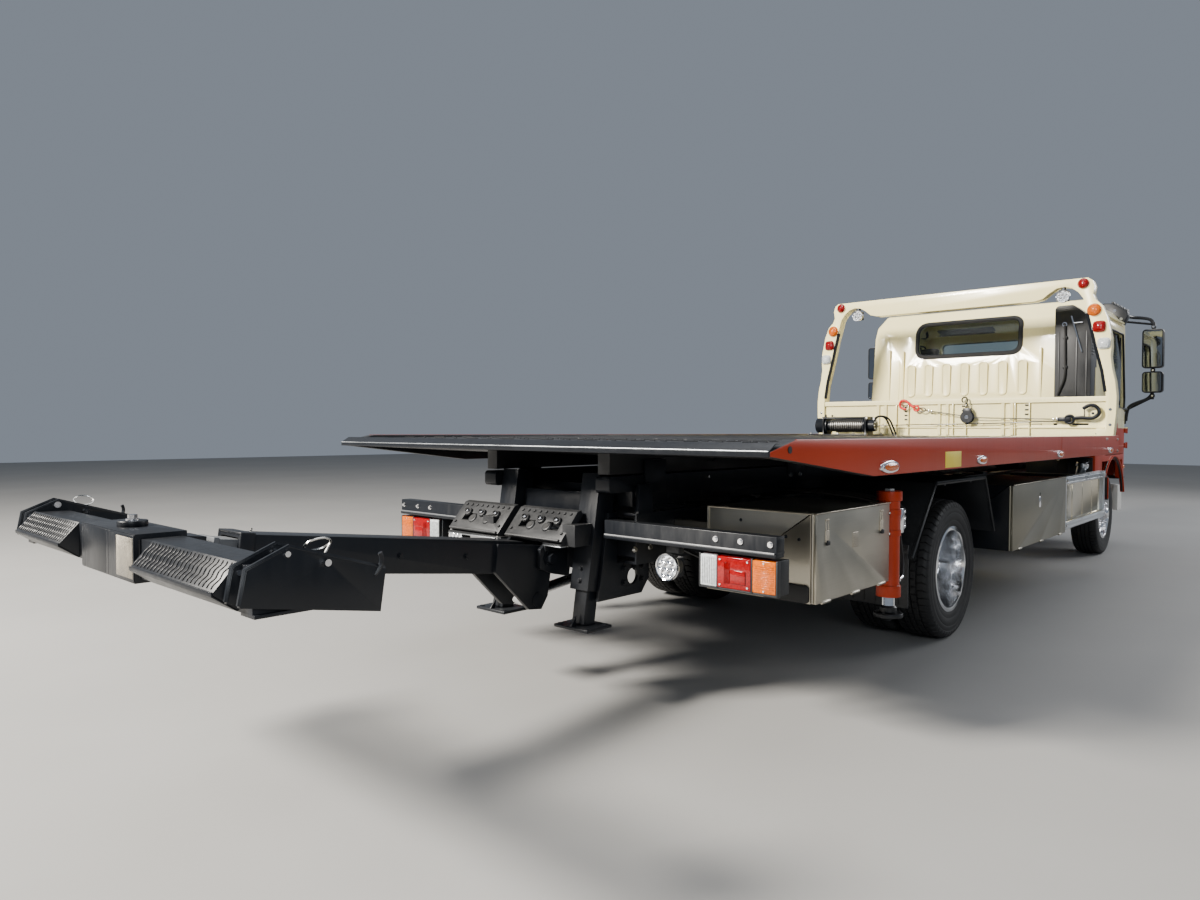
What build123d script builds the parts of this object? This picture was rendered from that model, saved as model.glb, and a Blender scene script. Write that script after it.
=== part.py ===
from build123d import *
import math
import os

os.makedirs("parts", exist_ok=True)

# A cab-over flatbed recovery truck on its wheels, in millimetres.
# X forward, Y left, Z up; the origin is on the ground below the middle of the rear axle.

# Running gear
WHEELBASE = 4200
AXLE_Z = 383.5
TYRE_R = 383.5
TYRE_W = 215
BEAD_R = 224
FRONT_WHEEL_Y = 830
TWIN_MID_Y = 753.5
TWIN_SPACING = 245
KINGPIN_Y = 700

# Ladder frame
RAIL_TOP = 800
RAIL_DEPTH = 210
RAIL_OUT_Y = 420
RAIL_IN_Y = 350
FRAME_REAR = -2060
FRAME_FRONT = 5080

# Tilting subframe and bed
PIVOT_X = -2000
PIVOT_Z = 880
SUB_LOW = 826
SUB_TOP = 955
BEAM_Y = 345
BEAM_W = 80
BED_FRONT = 2890
TAIL_X = -2420
TAPER_X = -1653
FLOOR_Z = 1100
SIDE_Y = 1250
SIDE_TOP = 1114
SIDE_LOW = 972

# Cab
CAB_REAR = 3420
CAB_FRONT = 5215
CAB_HALF = 1000
CAB_TOP = 2310
CAB_WALL = 55
CAB_PIVOT_X = 5120
CAB_PIVOT_Z = 665
CAB_LOW = 690
BELT_Z = 1180
SILL_Z = 930
GAP = 6

# Lift rams of the bed: foot on the chassis, eye below the subframe
RAM_FOOT = (420, 700)
RAM_EYE = (1500, 800)
RAM_Y = 205

# Underlift
UL_FOOT = (-1480, 545)
MAST_TOP = (-2100, 957)
MAST_FOOT = (-2200, 330)
MAST_Y = 250
BOOM_X = -2270
BOOM_Z = 610
BOOM_RISE = 6.75
BOOM_LONG = 1280
CROSS_X = -3810


def box(x0, x1, y0, y1, z0, z1):
    size = Box(abs(x1 - x0), abs(y1 - y0), abs(z1 - z0))
    return Pos((x0 + x1) / 2, (y0 + y1) / 2, (z0 + z1) / 2) * size


def slab_xz(points, y0, y1):
    # A plate seen from the side, from y0 to y1
    plane = Plane(origin=(0, max(y0, y1), 0), x_dir=(1, 0, 0), z_dir=(0, -1, 0))
    return extrude(plane * Polygon(*points, align=None), abs(y1 - y0), dir=(0, -1, 0))


def slab_yz(points, x0, x1):
    # A plate seen from the rear, from x0 to x1
    plane = Plane(origin=(min(x0, x1), 0, 0), x_dir=(0, 1, 0), z_dir=(1, 0, 0))
    return extrude(plane * Polygon(*points, align=None), abs(x1 - x0), dir=(1, 0, 0))


def slab_xy(points, z0, z1):
    return extrude(Plane.XY.offset(z0) * Polygon(*points, align=None), z1 - z0, dir=(0, 0, 1))


def soft_yz(points, radius, x0, x1):
    # The same as slab_yz with rounded corners
    plane = Plane(origin=(x0, 0, 0), x_dir=(0, 1, 0), z_dir=(1, 0, 0))
    outline = make_face(FilletPolyline(*points, radius=radius, close=True))
    return extrude(plane * outline, x1 - x0, dir=(1, 0, 0))


def soft_xz(points, radius, y0, y1):
    plane = Plane(origin=(0, y1, 0), x_dir=(1, 0, 0), z_dir=(0, -1, 0))
    outline = make_face(FilletPolyline(*points, radius=radius, close=True))
    return extrude(plane * outline, y1 - y0, dir=(0, -1, 0))


def bar(start, end, radius):
    # A round bar between two points
    path = Vector(*end) - Vector(*start)
    plane = Plane(origin=start, z_dir=path)
    return extrude(plane * Circle(radius), path.length)


def disc_y(x, z, radius, y0, y1):
    return bar((x, y0, z), (x, y1, z), radius)


def square_tube(start, end, width, wall):
    # A leaning square tube in the XZ plane
    path = Vector(*end) - Vector(*start)
    plane = Plane(origin=start, x_dir=(0, 1, 0), z_dir=path)
    section = Rectangle(width, width)
    if wall:
        section -= Rectangle(width - 2 * wall, width - 2 * wall)
    return extrude(plane * section, path.length)


def flip(shape):
    # The same piece on the other side of the truck
    return mirror(shape, about=Plane.XZ)


def fuse(pieces):
    whole = pieces[0]
    for piece in pieces[1:]:
        whole = whole + piece
    return whole


def both(shape):
    return Compound(children=[shape, flip(shape)])


def save(node, shape):
    export_step(shape, f"parts/{node}.step")


# Ladder frame
def chassis_frame():
    bottom = RAIL_TOP - RAIL_DEPTH
    flange = 10
    section = [
        (RAIL_IN_Y, bottom), (RAIL_OUT_Y, bottom), (RAIL_OUT_Y, RAIL_TOP), (RAIL_IN_Y, RAIL_TOP),
        (RAIL_IN_Y, RAIL_TOP - flange), (RAIL_OUT_Y - flange, RAIL_TOP - flange),
        (RAIL_OUT_Y - flange, bottom + flange), (RAIL_IN_Y, bottom + flange),
    ]
    rail = slab_yz(section, FRAME_REAR, FRAME_FRONT)
    pieces = [rail, flip(rail)]
    # Cross members: x of the middle, lowest z, highest z
    members = [
        (-2025, 620, 770), (-1300, 620, 770), (-560, 620, 770), (250, 620, 770), (1050, 596, 690),
        (1850, 620, 770), (2650, 620, 770), (3090, 620, 770), (4980, 600, 760),
    ]
    web = RAIL_OUT_Y - flange
    for x, low, high in members:
        pieces.append(box(x - 35, x + 35, -web, web, low, high))
    # The cradle below the engine
    cradle = [
        (-352, 640), (-352, 600), (-305, 600), (-305, 395), (305, 395), (305, 600), (352, 600), (352, 640),
        (295, 640), (295, 430), (-295, 430), (-295, 640),
    ]
    pieces.append(slab_yz(cradle, 4650, 4710))
    # Cab pivot brackets at the front
    for side in (1, -1):
        pieces.append(box(5060, 5132, side * 352, side * 392, 600, CAB_PIVOT_Z))
    pieces.append(disc_y(CAB_PIVOT_X, CAB_PIVOT_Z, 20, -RAIL_IN_Y - 40, RAIL_IN_Y + 40))
    # Brackets that hold the feet of the lift rams and of the underlift ram
    for side in (1, -1):
        for step in (-44, 32):
            y0, y1 = side * (RAM_Y + step), side * (RAM_Y + step + 12)
            pieces.append(box(280, RAM_FOOT[0], y0, y1, RAM_FOOT[1] - 38, RAM_FOOT[1] + 38))
            pieces.append(disc_y(RAM_FOOT[0], RAM_FOOT[1], 38, y0, y1))
        cheek = [
            (-1265, 625), (-1340, 625), (-1470, 590), (-1520, 565), (-1512, 512), (-1450, 510), (-1265, 600),
        ]
        pieces.append(slab_xz(cheek, side * 32, side * 44))
    # Hinge ears for the tilting subframe and the rests it lies on
    ear = [(-2055, RAIL_TOP - 60), (-1945, RAIL_TOP - 60), (-1960, PIVOT_Z + 40), (-2040, PIVOT_Z + 40)]
    for side in (1, -1):
        pieces.append(slab_xz(ear, side * 402, side * 420))
        for x in (-1200, 0, 1200, 2400):
            pieces.append(box(x - 60, x + 60, side * RAIL_IN_Y, side * RAIL_OUT_Y, RAIL_TOP - 1, 819))
    return fuse(pieces)


# Axles
def front_axle():
    beam = [
        (-680, 400), (-560, 400), (-430, 352), (430, 352), (560, 400), (680, 400),
        (680, 345), (590, 345), (460, 290), (-460, 290), (-590, 345), (-680, 345),
    ]
    pieces = [slab_yz(beam, WHEELBASE - 45, WHEELBASE + 45)]
    for side in (1, -1):
        pieces.append(Pos(WHEELBASE, side * KINGPIN_Y, 372) * Cylinder(40, 80))
        pieces.append(box(WHEELBASE - 60, WHEELBASE + 60, side * 352, side * 418, 340, 410))
        pieces.append(leaf_spring(WHEELBASE, 620, 392, 562, side))
    return fuse(pieces)


def leaf_spring(x, half, z, tip_z, side):
    # A bundle of leaves that bows down to the axle, with an eye at each end
    y0, y1 = sorted((side * 352, side * 418))
    plane = Plane(origin=(0, y1, 0), x_dir=(1, 0, 0), z_dir=(0, -1, 0))
    low = ThreePointArc((x - half * 0.8, tip_z - 70), (x, z), (x + half * 0.8, tip_z - 70))
    top = ThreePointArc((x + half, tip_z + 14), (x, z + 70), (x - half, tip_z + 14))
    right = Polyline((x + half * 0.8, tip_z - 70), (x + half, tip_z - 14), (x + half, tip_z + 14))
    left = Polyline((x - half, tip_z + 14), (x - half, tip_z - 14), (x - half * 0.8, tip_z - 70))
    face = make_face([low, right, top, left])
    leaves = extrude(plane * face, y1 - y0, dir=(0, -1, 0))
    eyes = [disc_y(x + s * half, tip_z, 19, y0, y1) for s in (1, -1)]
    hangers = [
        slab_xz(
            [(x + s * half - 45, 590), (x + s * half + 45, 590), (x + s * half + 22, tip_z - 20),
             (x + s * half - 22, tip_z - 20)],
            y0 + 8, y1 - 8,
        )
        for s in (1, -1)
    ]
    return fuse([leaves] + eyes + hangers)


def rear_axle():
    pieces = [disc_y(0, AXLE_Z, 62, -508, 508)]
    pieces.append(bar((-110, 0, AXLE_Z), (110, 0, AXLE_Z), 175))
    pieces.append(Pos(170, 0, AXLE_Z) * Rot(0, 90, 0) * Cone(150, 75, 140))
    pieces.append(bar((230, 0, AXLE_Z), (268, 0, AXLE_Z), 78))
    for side in (1, -1):
        pieces.append(box(-70, 70, side * 352, side * 418, AXLE_Z + 40, 462))
        pieces.append(leaf_spring(0, 640, 455, 562, side))
    return fuse(pieces)


def driveline():
    block = box(3820, 4780, -288, 288, 440, 905) + box(3950, 4600, -190, 190, 405, 441)
    bell = Pos(3720, 0, 590) * Rot(0, -90, 0) * Cone(230, 150, 200)
    gearbox = box(3200, 3640, -135, 135, 450, 720)
    shaft = bar((3200, 0, 560), (1850, 0, 520), 42) + bar((1850, 0, 520), (300, 0, 388), 42)
    joints = [bar((x - 35, 0, z), (x + 35, 0, z), 60) for x, z in ((3190, 560), (1850, 520), (312, 388))]
    hanger = box(1830, 1870, -70, 70, 470, 620)
    fan = bar((4780, 0, 640), (4850, 0, 640), 230)
    return fuse([block, bell, gearbox, shaft, hanger, fan] + joints)


def exhaust():
    silencer = bar((2100, -560, 520), (2750, -560, 520), 110)
    inlet = bar((2750, -560, 520), (3350, -330, 520), 38)
    tail = bar((2100, -560, 520), (1000, -500, 540), 38)
    strap = box(2380, 2440, -560, -420, 560, 680)
    return fuse([silencer, inlet, tail, strap])


# Wheels
def tyre(y):
    # Tread, two shoulders, two side walls and the seat on the rim
    half = TYRE_W / 2
    tread, shoulder, bead = half - 28, half - 1, half - 16
    outline = [
        (TYRE_R, -tread), (TYRE_R, tread), (TYRE_R - 26, shoulder), (BEAD_R, bead), (BEAD_R, -bead),
        (TYRE_R - 26, -shoulder),
    ]
    return Pos(0, y, AXLE_Z) * revolve(Polygon(*outline, align=None), axis=Axis.Y)


def spun(points, y, holes):
    # A turned wheel part: radius and distance along the axle, then holes: count, radius, pitch radius
    body = revolve(Polygon(*points, align=None), axis=Axis.Y)
    count, radius, pitch = holes
    for i in range(count):
        angle = 2 * math.pi * i / count
        x, z = pitch * math.cos(angle), pitch * math.sin(angle)
        body -= Pos(x, 0, z) * Rot(90, 0, 0) * Cylinder(radius, 900)
    return Pos(0, y, AXLE_Z) * body


def front_rim(side):
    lip = TYRE_W / 2 - 12
    outline = [
        (236, lip + 4), (236, lip), (222, lip - 3), (214, 50), (214, -60), (222, -lip + 3),
        (236, -lip), (236, -lip - 4), (218, -lip - 4), (204, -62), (204, 26), (150, 48),
        (150, -44), (40, -44), (40, -49), (0, -49), (0, 108), (66, 108), (74, 80), (120, 80),
        (190, 50), (206, 56), (216, lip + 4),
    ]
    wheel = spun(outline, 0, (8, 24, 172))
    if side < 0:
        wheel = flip(wheel)
    return Pos(WHEELBASE, side * FRONT_WHEEL_Y, 0) * wheel


def rear_rim(side):
    lip = TWIN_SPACING / 2 + TYRE_W / 2 - 10
    near = TWIN_SPACING / 2 - TYRE_W / 2 + 12
    half = [
        (236, lip + 2), (236, lip - 2), (222, lip - 4), (214, 150), (214, 60), (222, near + 1),
        (236, near - 2), (236, near - 7), (218, near - 7),
    ]
    lower = [(r, -y) for r, y in reversed(half)]
    outline = (
        half + lower
        + [(214, -lip), (204, -150), (204, -30), (195, -14), (160, -14), (160, -235), (70, -235)]
        + [(70, -238), (0, -238), (0, 118), (62, 118), (70, 106), (76, 14), (195, 14)]
        + [(204, 30), (204, 150), (214, lip + 2)]
    )
    wheel = spun(outline, 0, (8, 26, 178))
    if side < 0:
        wheel = flip(wheel)
    return Pos(0, side * TWIN_MID_Y, 0) * wheel


def knuckle(side):
    pieces = []
    for z in (318, 428):
        pieces.append(Pos(WHEELBASE, side * KINGPIN_Y, z) * Cylinder(38, 18))
        pieces.append(box(WHEELBASE - 38, WHEELBASE + 38, side * KINGPIN_Y, side * 772, z - 9, z + 9))
    pieces.append(box(WHEELBASE - 50, WHEELBASE + 50, side * 746, side * 774, 300, 445))
    pieces.append(box(WHEELBASE - 210, WHEELBASE, side * 668, side * 700, 309, 327))
    return fuse(pieces)


# Cab
def cab_volume(inset):
    # The cab's outer form, or the room inside when it is inset by the wall
    side = [
        (CAB_REAR + inset, 520), (CAB_REAR + inset, 1450), (CAB_REAR + 40 + inset, 2080 - inset / 2),
        (CAB_REAR + 150 + inset, CAB_TOP - inset), (4600 - inset / 2, CAB_TOP - inset),
        (4800 - inset, 2225 - inset / 2), (5150 - inset, 1330), (CAB_FRONT - inset, 1180),
        (CAB_FRONT - inset, 625),
    ]
    wide = CAB_HALF - inset
    front = [
        (-wide, 520), (-wide, BELT_Z + 60), (-wide + 25, 2190 - inset), (-wide + 110, CAB_TOP - inset),
        (wide - 110, CAB_TOP - inset), (wide - 25, 2190 - inset), (wide, BELT_Z + 60), (wide, 520),
    ]
    # From above the cab narrows towards its front
    back, nose = 3200, CAB_FRONT - inset
    above = [
        (back, -wide), (4560, -wide), (5010 - inset / 2, -wide + 55), (5150 - inset / 2, -wide + 110),
        (nose, -wide + 190), (nose, wide - 190), (5150 - inset / 2, wide - 110), (5010 - inset / 2, wide - 55),
        (4560, wide), (back, wide),
    ]
    long = soft_xz(side, 30, -1200, 1200)
    broad = soft_yz(front, 45, 3000, 5600)
    plan = slab_xy(above, 400, 2500)
    return long & broad & plan


DOOR = [
    (3840, SILL_Z), (3840, 2080), (3900, 2170), (4690, 2170), (4985, 1420), (5020, 1250), (5020, SILL_Z),
]
DOOR_HINGE_X = 5030
DOOR_HINGE_Y = 962
DOOR_WINDOW = [(3930, 1370), (3930, 2040), (3980, 2090), (4660, 2090), (4900, 1480), (4870, 1370)]


def shrink(points, amount):
    # The outline moved towards its middle by about this much
    cx = sum(p[0] for p in points) / len(points)
    cz = sum(p[1] for p in points) / len(points)
    moved = []
    for x, z in points:
        dx = amount if x < cx else -amount
        dz = amount if z < cz else -amount
        moved.append((x + dx, z + dz))
    return moved


def cab_skin():
    return cab_volume(0) - cab_volume(CAB_WALL)


def arch_cut():
    return disc_y(WHEELBASE, 430, 485, -1300, 1300)


def engine_room():
    return box(3700, 4830, -330, 330, 500, 960)


def cab_body():
    skin = cab_skin()
    floor = cab_volume(20) & box(3400, 5200, -1100, 1100, 880, 920)
    body = skin + floor
    body = body - box(3300, 5100, -1100, 1100, 400, 880) - arch_cut()
    body += cab_skin() & box(3400, 3700, -1100, 1100, 520, 890) - box(3300, 3800, -640, 640, 400, 890)
    body += cab_skin() & box(4720, 5300, -1100, 1100, CAB_LOW, 890)
    body -= box(4900, 5400, -1200, 1200, 400, CAB_LOW)
    tunnel = box(3650, 4825, -370, 370, 880, 1010) - engine_room()
    body = body - engine_room() + tunnel
    body -= slab_xz(DOOR, 800, 1300)
    body -= slab_xz(DOOR, -1300, -800)
    body -= box(5000, 5175, -430, 430, 500, 725)
    # Windscreen and rear window
    body -= windscreen_opening()
    body -= rear_window_opening(0)
    return body


def windscreen_opening():
    return slab_xz([(5400, 1420), (5030, 1420), (4750, 2120), (5400, 2120)], -880, 880) & soft_yz(
        [(-820, 1420), (-800, 2120), (800, 2120), (820, 1420)], 60, 4500, 5500
    )


def rear_window_opening(grow):
    near, far, low, high = -380 - grow, 545 + grow, 1872 - grow, 2185 + grow
    return soft_yz([(near, low), (near, high), (far, high), (far, low)], 80 + grow, 3300, 3650)


def cab_shell():
    body = cab_body() & box(3000, 5600, -1300, 1300, BELT_Z, 2600)
    # Raised pressings below the rear window
    for i in range(7):
        y = (i - 3) * 168 + 95
        outline = [(y - 42, 1480), (y - 42, 1800), (y + 42, 1800), (y + 42, 1480)]
        inner = [(y - 28, 1494), (y - 28, 1786), (y + 28, 1786), (y + 28, 1494)]
        body += soft_yz(outline, 40, CAB_REAR - 7, CAB_REAR + 30) - soft_yz(inner, 26, CAB_REAR - 8, CAB_REAR - 1)
    # The pressed dimple beside the rear window and the upright creases on both sides of it
    body -= bar((CAB_REAR - 30, 800, 2080), (CAB_REAR + 50, 800, 2080), 46)
    for y, top in ((820, 1960), (680, 1940), (-560, 1900)):
        crease = [(y - 9, 1240), (y - 9, top), (y + 9, top), (y + 9, 1240)]
        body += soft_yz(crease, 8, CAB_REAR - 5, CAB_REAR + 20)
    # Rain gutters over the doors
    for side in (1, -1):
        gutter = [(3850, 2186), (4700, 2186), (4712, 2174), (4724, 2182), (4708, 2200), (3850, 2200)]
        strip = slab_xz(gutter, side * 900, side * 996) - cab_volume(0)
        body += strip & box(3800, 4640, side * 930, side * 994, 2100, 2300)
    return body


def cab_lower():
    body = cab_body() & box(3000, 5600, -1300, 1300, 300, BELT_Z)
    # The front panel's air inlet: a shallow field with five rounded slots through the skin
    field = [(-600, 930), (-630, 1130), (630, 1130), (600, 930)]
    body -= soft_yz(field, 30, CAB_FRONT - 8, CAB_FRONT + 5)
    for z in (948, 984, 1020, 1056, 1092):
        slot = [(-560, z), (-560, z + 18), (560, z + 18), (560, z)]
        body -= soft_yz(slot, 8.5, CAB_FRONT - 70, CAB_FRONT + 5)
    # Rolled lips round the wheel arches
    lip = arch_ring(485, 497) & box(3700, 4720, -1100, 1100, 560, SILL_Z - 6)
    for side in (1, -1):
        band = lip & box(3000, 5600, side * (CAB_HALF - 24), side * (CAB_HALF + 12), 300, BELT_Z)
        body += band
    return body


def arch_ring(inner, outer):
    return disc_y(WHEELBASE, 430, outer, -1300, 1300) - disc_y(WHEELBASE, 430, inner, -1310, 1310)


def glass_layer():
    return cab_volume(20) - cab_volume(27)


def cab_glass():
    screen = glass_layer() & windscreen_opening()
    rear = glass_layer() & rear_window_opening(0)
    return Compound(children=[screen, rear])


def one_side(side):
    return box(3000, 5600, side * 800, side * 1300, 400, 2600)


def door(side):
    panel = cab_skin() & slab_xz(shrink(DOOR, GAP), -1300, 1300) & one_side(side)
    panel -= slab_xz(DOOR_WINDOW, -1300, 1300)
    panel -= arch_cut()
    handle = box(3930, 4070, side * (CAB_HALF - 30), side * (CAB_HALF + 14), 1120, 1150)
    pieces = [panel, handle]
    # Two hinges with their barrels just outside the skin
    for z in (985, 1135):
        pieces.append(box(4950, 5006, side * (DOOR_HINGE_Y - 24), side * (DOOR_HINGE_Y + 4), z, z + 50))
        pieces.append(box(5000, DOOR_HINGE_X, side * (DOOR_HINGE_Y - 8), side * (DOOR_HINGE_Y + 4), z, z + 50))
        pieces.append(Pos(DOOR_HINGE_X, side * DOOR_HINGE_Y, z + 25) * Cylinder(10, 60))
    return fuse(pieces)


def door_glass(side):
    return glass_layer() & slab_xz(DOOR_WINDOW, -1300, 1300) & one_side(side)


def headlamps():
    lamp = soft_yz([(450, 725), (450, 865), (775, 885), (775, 735)], 30, CAB_FRONT, CAB_FRONT + 18)
    return both(lamp)


def mirrors():
    # Side, inner edge, outer edge, arm reach
    heads = []
    for side, near, far in ((-1, 1075, 1255), (1, 1590, 1770)):
        mid = side * (near + far) / 2
        y0, y1 = sorted((side * near, side * far))
        big = soft_yz([(y0, 1780), (y0, 2165), (y1, 2165), (y1, 1780)], 32, 5060, 5135)
        small = soft_yz([(y0, 1535), (y0, 1745), (y1 - 4, 1745), (y1 - 4, 1535)], 32, 5060, 5130)
        # Recesses that hold the glasses, which face the rear
        big -= soft_yz([(y0 + 9, 1789), (y0 + 9, 2156), (y1 - 9, 2156), (y1 - 9, 1789)], 24, 5050, 5063)
        small -= soft_yz([(y0 + 9, 1544), (y0 + 9, 1736), (y1 - 13, 1736), (y1 - 13, 1544)], 24, 5050, 5063)
        stalk = box(5088, 5112, mid - 12, mid + 12, 1470, 2235)
        top = bar((5100, mid, 2215), (4740, side * 880, 2240), 11)
        low = bar((5100, mid, 1490), (5070, side * 870, 1320), 10)
        heads.append(fuse([big, small, stalk]) + (top - cab_volume(0)) + (low - cab_volume(0)))
    return Compound(children=heads)


def snorkel():
    # A tall box whose top falls away towards the outside
    outline = [(-988, 930), (-988, 2040), (-940, 2150), (-850, 2228), (-712, 2228), (-712, 930)]
    duct = soft_yz(outline, 36, 3255, CAB_REAR + 60)
    return duct - cab_volume(0)


def seats():
    made = []
    for y in (560, -560):
        cushion = box(3900, 4400, y - 240, y + 240, 1060, 1190)
        back = slab_xz([(3890, 1180), (4010, 1180), (3860, 1800), (3740, 1800)], y - 230, y + 230)
        rest = box(3725, 3810, y - 120, y + 120, 1800, 1990)
        base = box(3940, 4340, y - 180, y + 180, 920, 1060)
        made.append(fuse([cushion, back, rest, base]))
    return Compound(children=made)


def dashboard():
    # The dashboard and the steering wheel on its column
    dash = slab_xz([(4830, 1000), (5085, 1000), (5085, 1180), (5035, 1290), (4900, 1315), (4800, 1240)], -845, 845)
    dash = dash & cab_volume(CAB_WALL)
    hub = Cylinder(45, 30) + Cylinder(28, 260, align=(Align.CENTER, Align.CENTER, Align.MAX))
    rim = Cylinder(215, 24) - Cylinder(190, 24)
    wheel = rim + Box(396, 34, 12) + Box(34, 396, 12) + hub
    return dash + Pos(4690, -560, 1350) * Rot(0, -40, 0) * wheel


def bumper():
    outer = [
        (5000, -900), (5190, -900), (5300, -745), (5300, 745), (5190, 900), (5000, 900),
        (5000, 860), (5170, 860), (5262, 728), (5262, -728), (5170, -860), (5000, -860),
    ]
    face = slab_xy(outer, 350, 605)
    # Fog lamp pockets, the air opening in the middle and two grooves along the face
    for side in (1, -1):
        face -= bar((5180, side * 640, 480), (5400, side * 640, 480), 58)
    face -= soft_yz([(-420, 400), (-450, 500), (450, 500), (420, 400)], 20, 5180, 5400)
    for z in (535, 570):
        face -= box(5292, 5400, -725, 725, z, z + 8)
    stays = [box(5040, 5270, s * 355, s * 400, 420, 590) for s in (1, -1)]
    wings = [box(5000, 5060, s * 400, s * 890, 470, 540) for s in (1, -1)]
    return fuse([face] + stays + wings)


# Bed
def deck_floor():
    pieces = [box(TAPER_X, BED_FRONT, -SIDE_Y + 50, SIDE_Y - 50, FLOOR_Z - 10, FLOOR_Z)]
    wedge = [(TAPER_X + 1, FLOOR_Z), (TAPER_X + 1, 1020), (TAIL_X, 1062), (TAIL_X, 1076), (TAIL_X + 40, FLOOR_Z)]
    tail = slab_xz(wedge, -SIDE_Y + 50, SIDE_Y - 50)
    # Chain slots through the tail and the floor
    for i in range(9):
        y = (i - 4) * 270
        slot = [(TAIL_X + 70, y - 20), (TAIL_X + 70, y + 20), (TAIL_X + 200, y + 20), (TAIL_X + 200, y - 20)]
        tail -= slab_xy(slot, 1020, FLOOR_Z + 5)
    pieces.append(tail)
    for x in (-1000, -60, 880, 1820):
        for side in (1, -1):
            slot = [(x, side * 1080), (x, side * 1130), (x + 160, side * 1130), (x + 160, side * 1080)]
            pieces[0] -= slab_xy(slot, FLOOR_Z - 20, FLOOR_Z + 5)
    for i in range(10):
        x = TAPER_X + 180 + i * 470
        pieces.append(box(x - 30, x + 30, -SIDE_Y + 50, SIDE_Y - 50, 1030, FLOOR_Z - 4))
    for side in (1, -1):
        pieces.append(box(-2180, BED_FRONT - 20, side * (BEAM_Y - 32), side * (BEAM_Y + 32), 963, 1060))
    return fuse(pieces)


def deck_rails():
    outline = [
        (TAIL_X, 1062), (TAPER_X, SIDE_LOW), (BED_FRONT + 70, SIDE_LOW), (BED_FRONT + 70, SIDE_TOP),
        (TAIL_X + 160, SIDE_TOP), (TAIL_X, 1077),
    ]
    rail = slab_xz(outline, SIDE_Y - 50, SIDE_Y)
    return both(rail)


# The guard's outer and inner edges, from the bed up to the middle of its top beam
GUARD_OUT = [
    (1245, SIDE_TOP), (1260, 1290), (1262, 1420), (1250, 1540), (1228, 1640), (1216, 1740),
    (1222, 1815), (1218, 1890), (1188, 2048), (1152, 2141), (1108, 2187), (1090, 2232),
    (1100, 2296), (1086, 2342), (1054, 2366),
]
GUARD_IN = [
    (1195, SIDE_TOP), (1192, 1404), (1178, 1570), (1140, 1732), (1100, 1896), (1076, 2018),
    (1050, 2102), (1024, 2205), (988, 2258), (941, 2296), (886, 2312), (831, 2304),
    (777, 2270), (732, 2232), (672, 2216),
]
GUARD_X = 2770


def cab_guard():
    left_out = GUARD_OUT
    left_in = GUARD_IN
    ring = (
        left_out + [(-y, z) for y, z in reversed(left_out)]
        + [(-y, z) for y, z in left_in] + [(y, z) for y, z in reversed(left_in)]
    )
    frame = slab_yz(ring, GUARD_X, GUARD_X + 100)
    panel = box(GUARD_X + 30, GUARD_X + 60, -1200, 1200, SIDE_TOP - 14, 1400)
    # A row of slots along the headboard for straps
    for i in range(10):
        y = -1010 + i * 224
        slot = [(y - 62, 1196), (y - 62, 1212), (y + 62, 1212), (y + 62, 1196)]
        panel -= soft_yz(slot, 7.5, GUARD_X + 20, GUARD_X + 70)
    tube = box(GUARD_X + 10, GUARD_X + 70, -1200, 1200, 1385, 1425)
    ribs = []
    for y in (620, 60, -470):
        for step in (-35, 35):
            ribs.append(box(GUARD_X + 14, GUARD_X + 31, y + step - 12, y + step + 12, SIDE_TOP, 1390))
    feet = [box(GUARD_X, BED_FRONT, s * 1130, s * 1199, FLOOR_Z, 1170) for s in (1, -1)]
    return fuse([frame, panel, tube] + ribs + feet)


def lamp_x(x, y, z, radius, depth):
    return bar((x - depth, y, z), (x, y, z), radius)


def deck_lamps():
    # y, z, radius of the lamps on one post
    spots = [(1023, 2321, 36), (1102, 2106, 44), (1139, 1972, 44), (1172, 1838, 44)]
    made = []
    for side in (1, -1):
        for y, z, radius in spots:
            made.append(lamp_x(GUARD_X, side * y, z, radius, 22))
        made.append(bar((GUARD_X + 20, side * 872, 2240), (GUARD_X + 80, side * 872, 2240), 52))
        made.append(box(GUARD_X + 40, GUARD_X + 60, side * 872 - 12, side * 872 + 12, 2285, 2308))
        for x in (-1524, -411, 1111, 2635):
            made.append(bar((x, side * SIDE_Y, 1004), (x, side * (SIDE_Y + 14), 1004), 30))
    return Compound(children=made)


def winch():
    y0, y1 = 560, 1130
    plinth = box(2330, 2700, y0, y1, FLOOR_Z, FLOOR_Z + 14)
    drum = bar((2520, y0 + 90, 1195), (2520, y1 - 110, 1195), 48)
    flange = [bar((2520, y, 1195), (2520, y + 14, 1195), 78) for y in (y0 + 84, y1 - 120)]
    gear = bar((2520, y1 - 106, 1195), (2520, y1 - 8, 1195), 70)
    motor = bar((2520, y0, 1195), (2520, y0 + 84, 1195), 52)
    stands = [box(2440, 2600, y, y + 12, FLOOR_Z, 1195) for y in (y0 + 60, y1 - 100)]
    ties = [bar((x, y0 + 60, 1262), (x, y1 - 90, 1262), 11) for x in (2450, 2590)]
    plates = [box(2436, 2604, y, y + 12, 1190, 1275) for y in (y0 + 60, y1 - 100)]
    return fuse([plinth, drum, gear, motor] + flange + stands + ties + plates)


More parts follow.
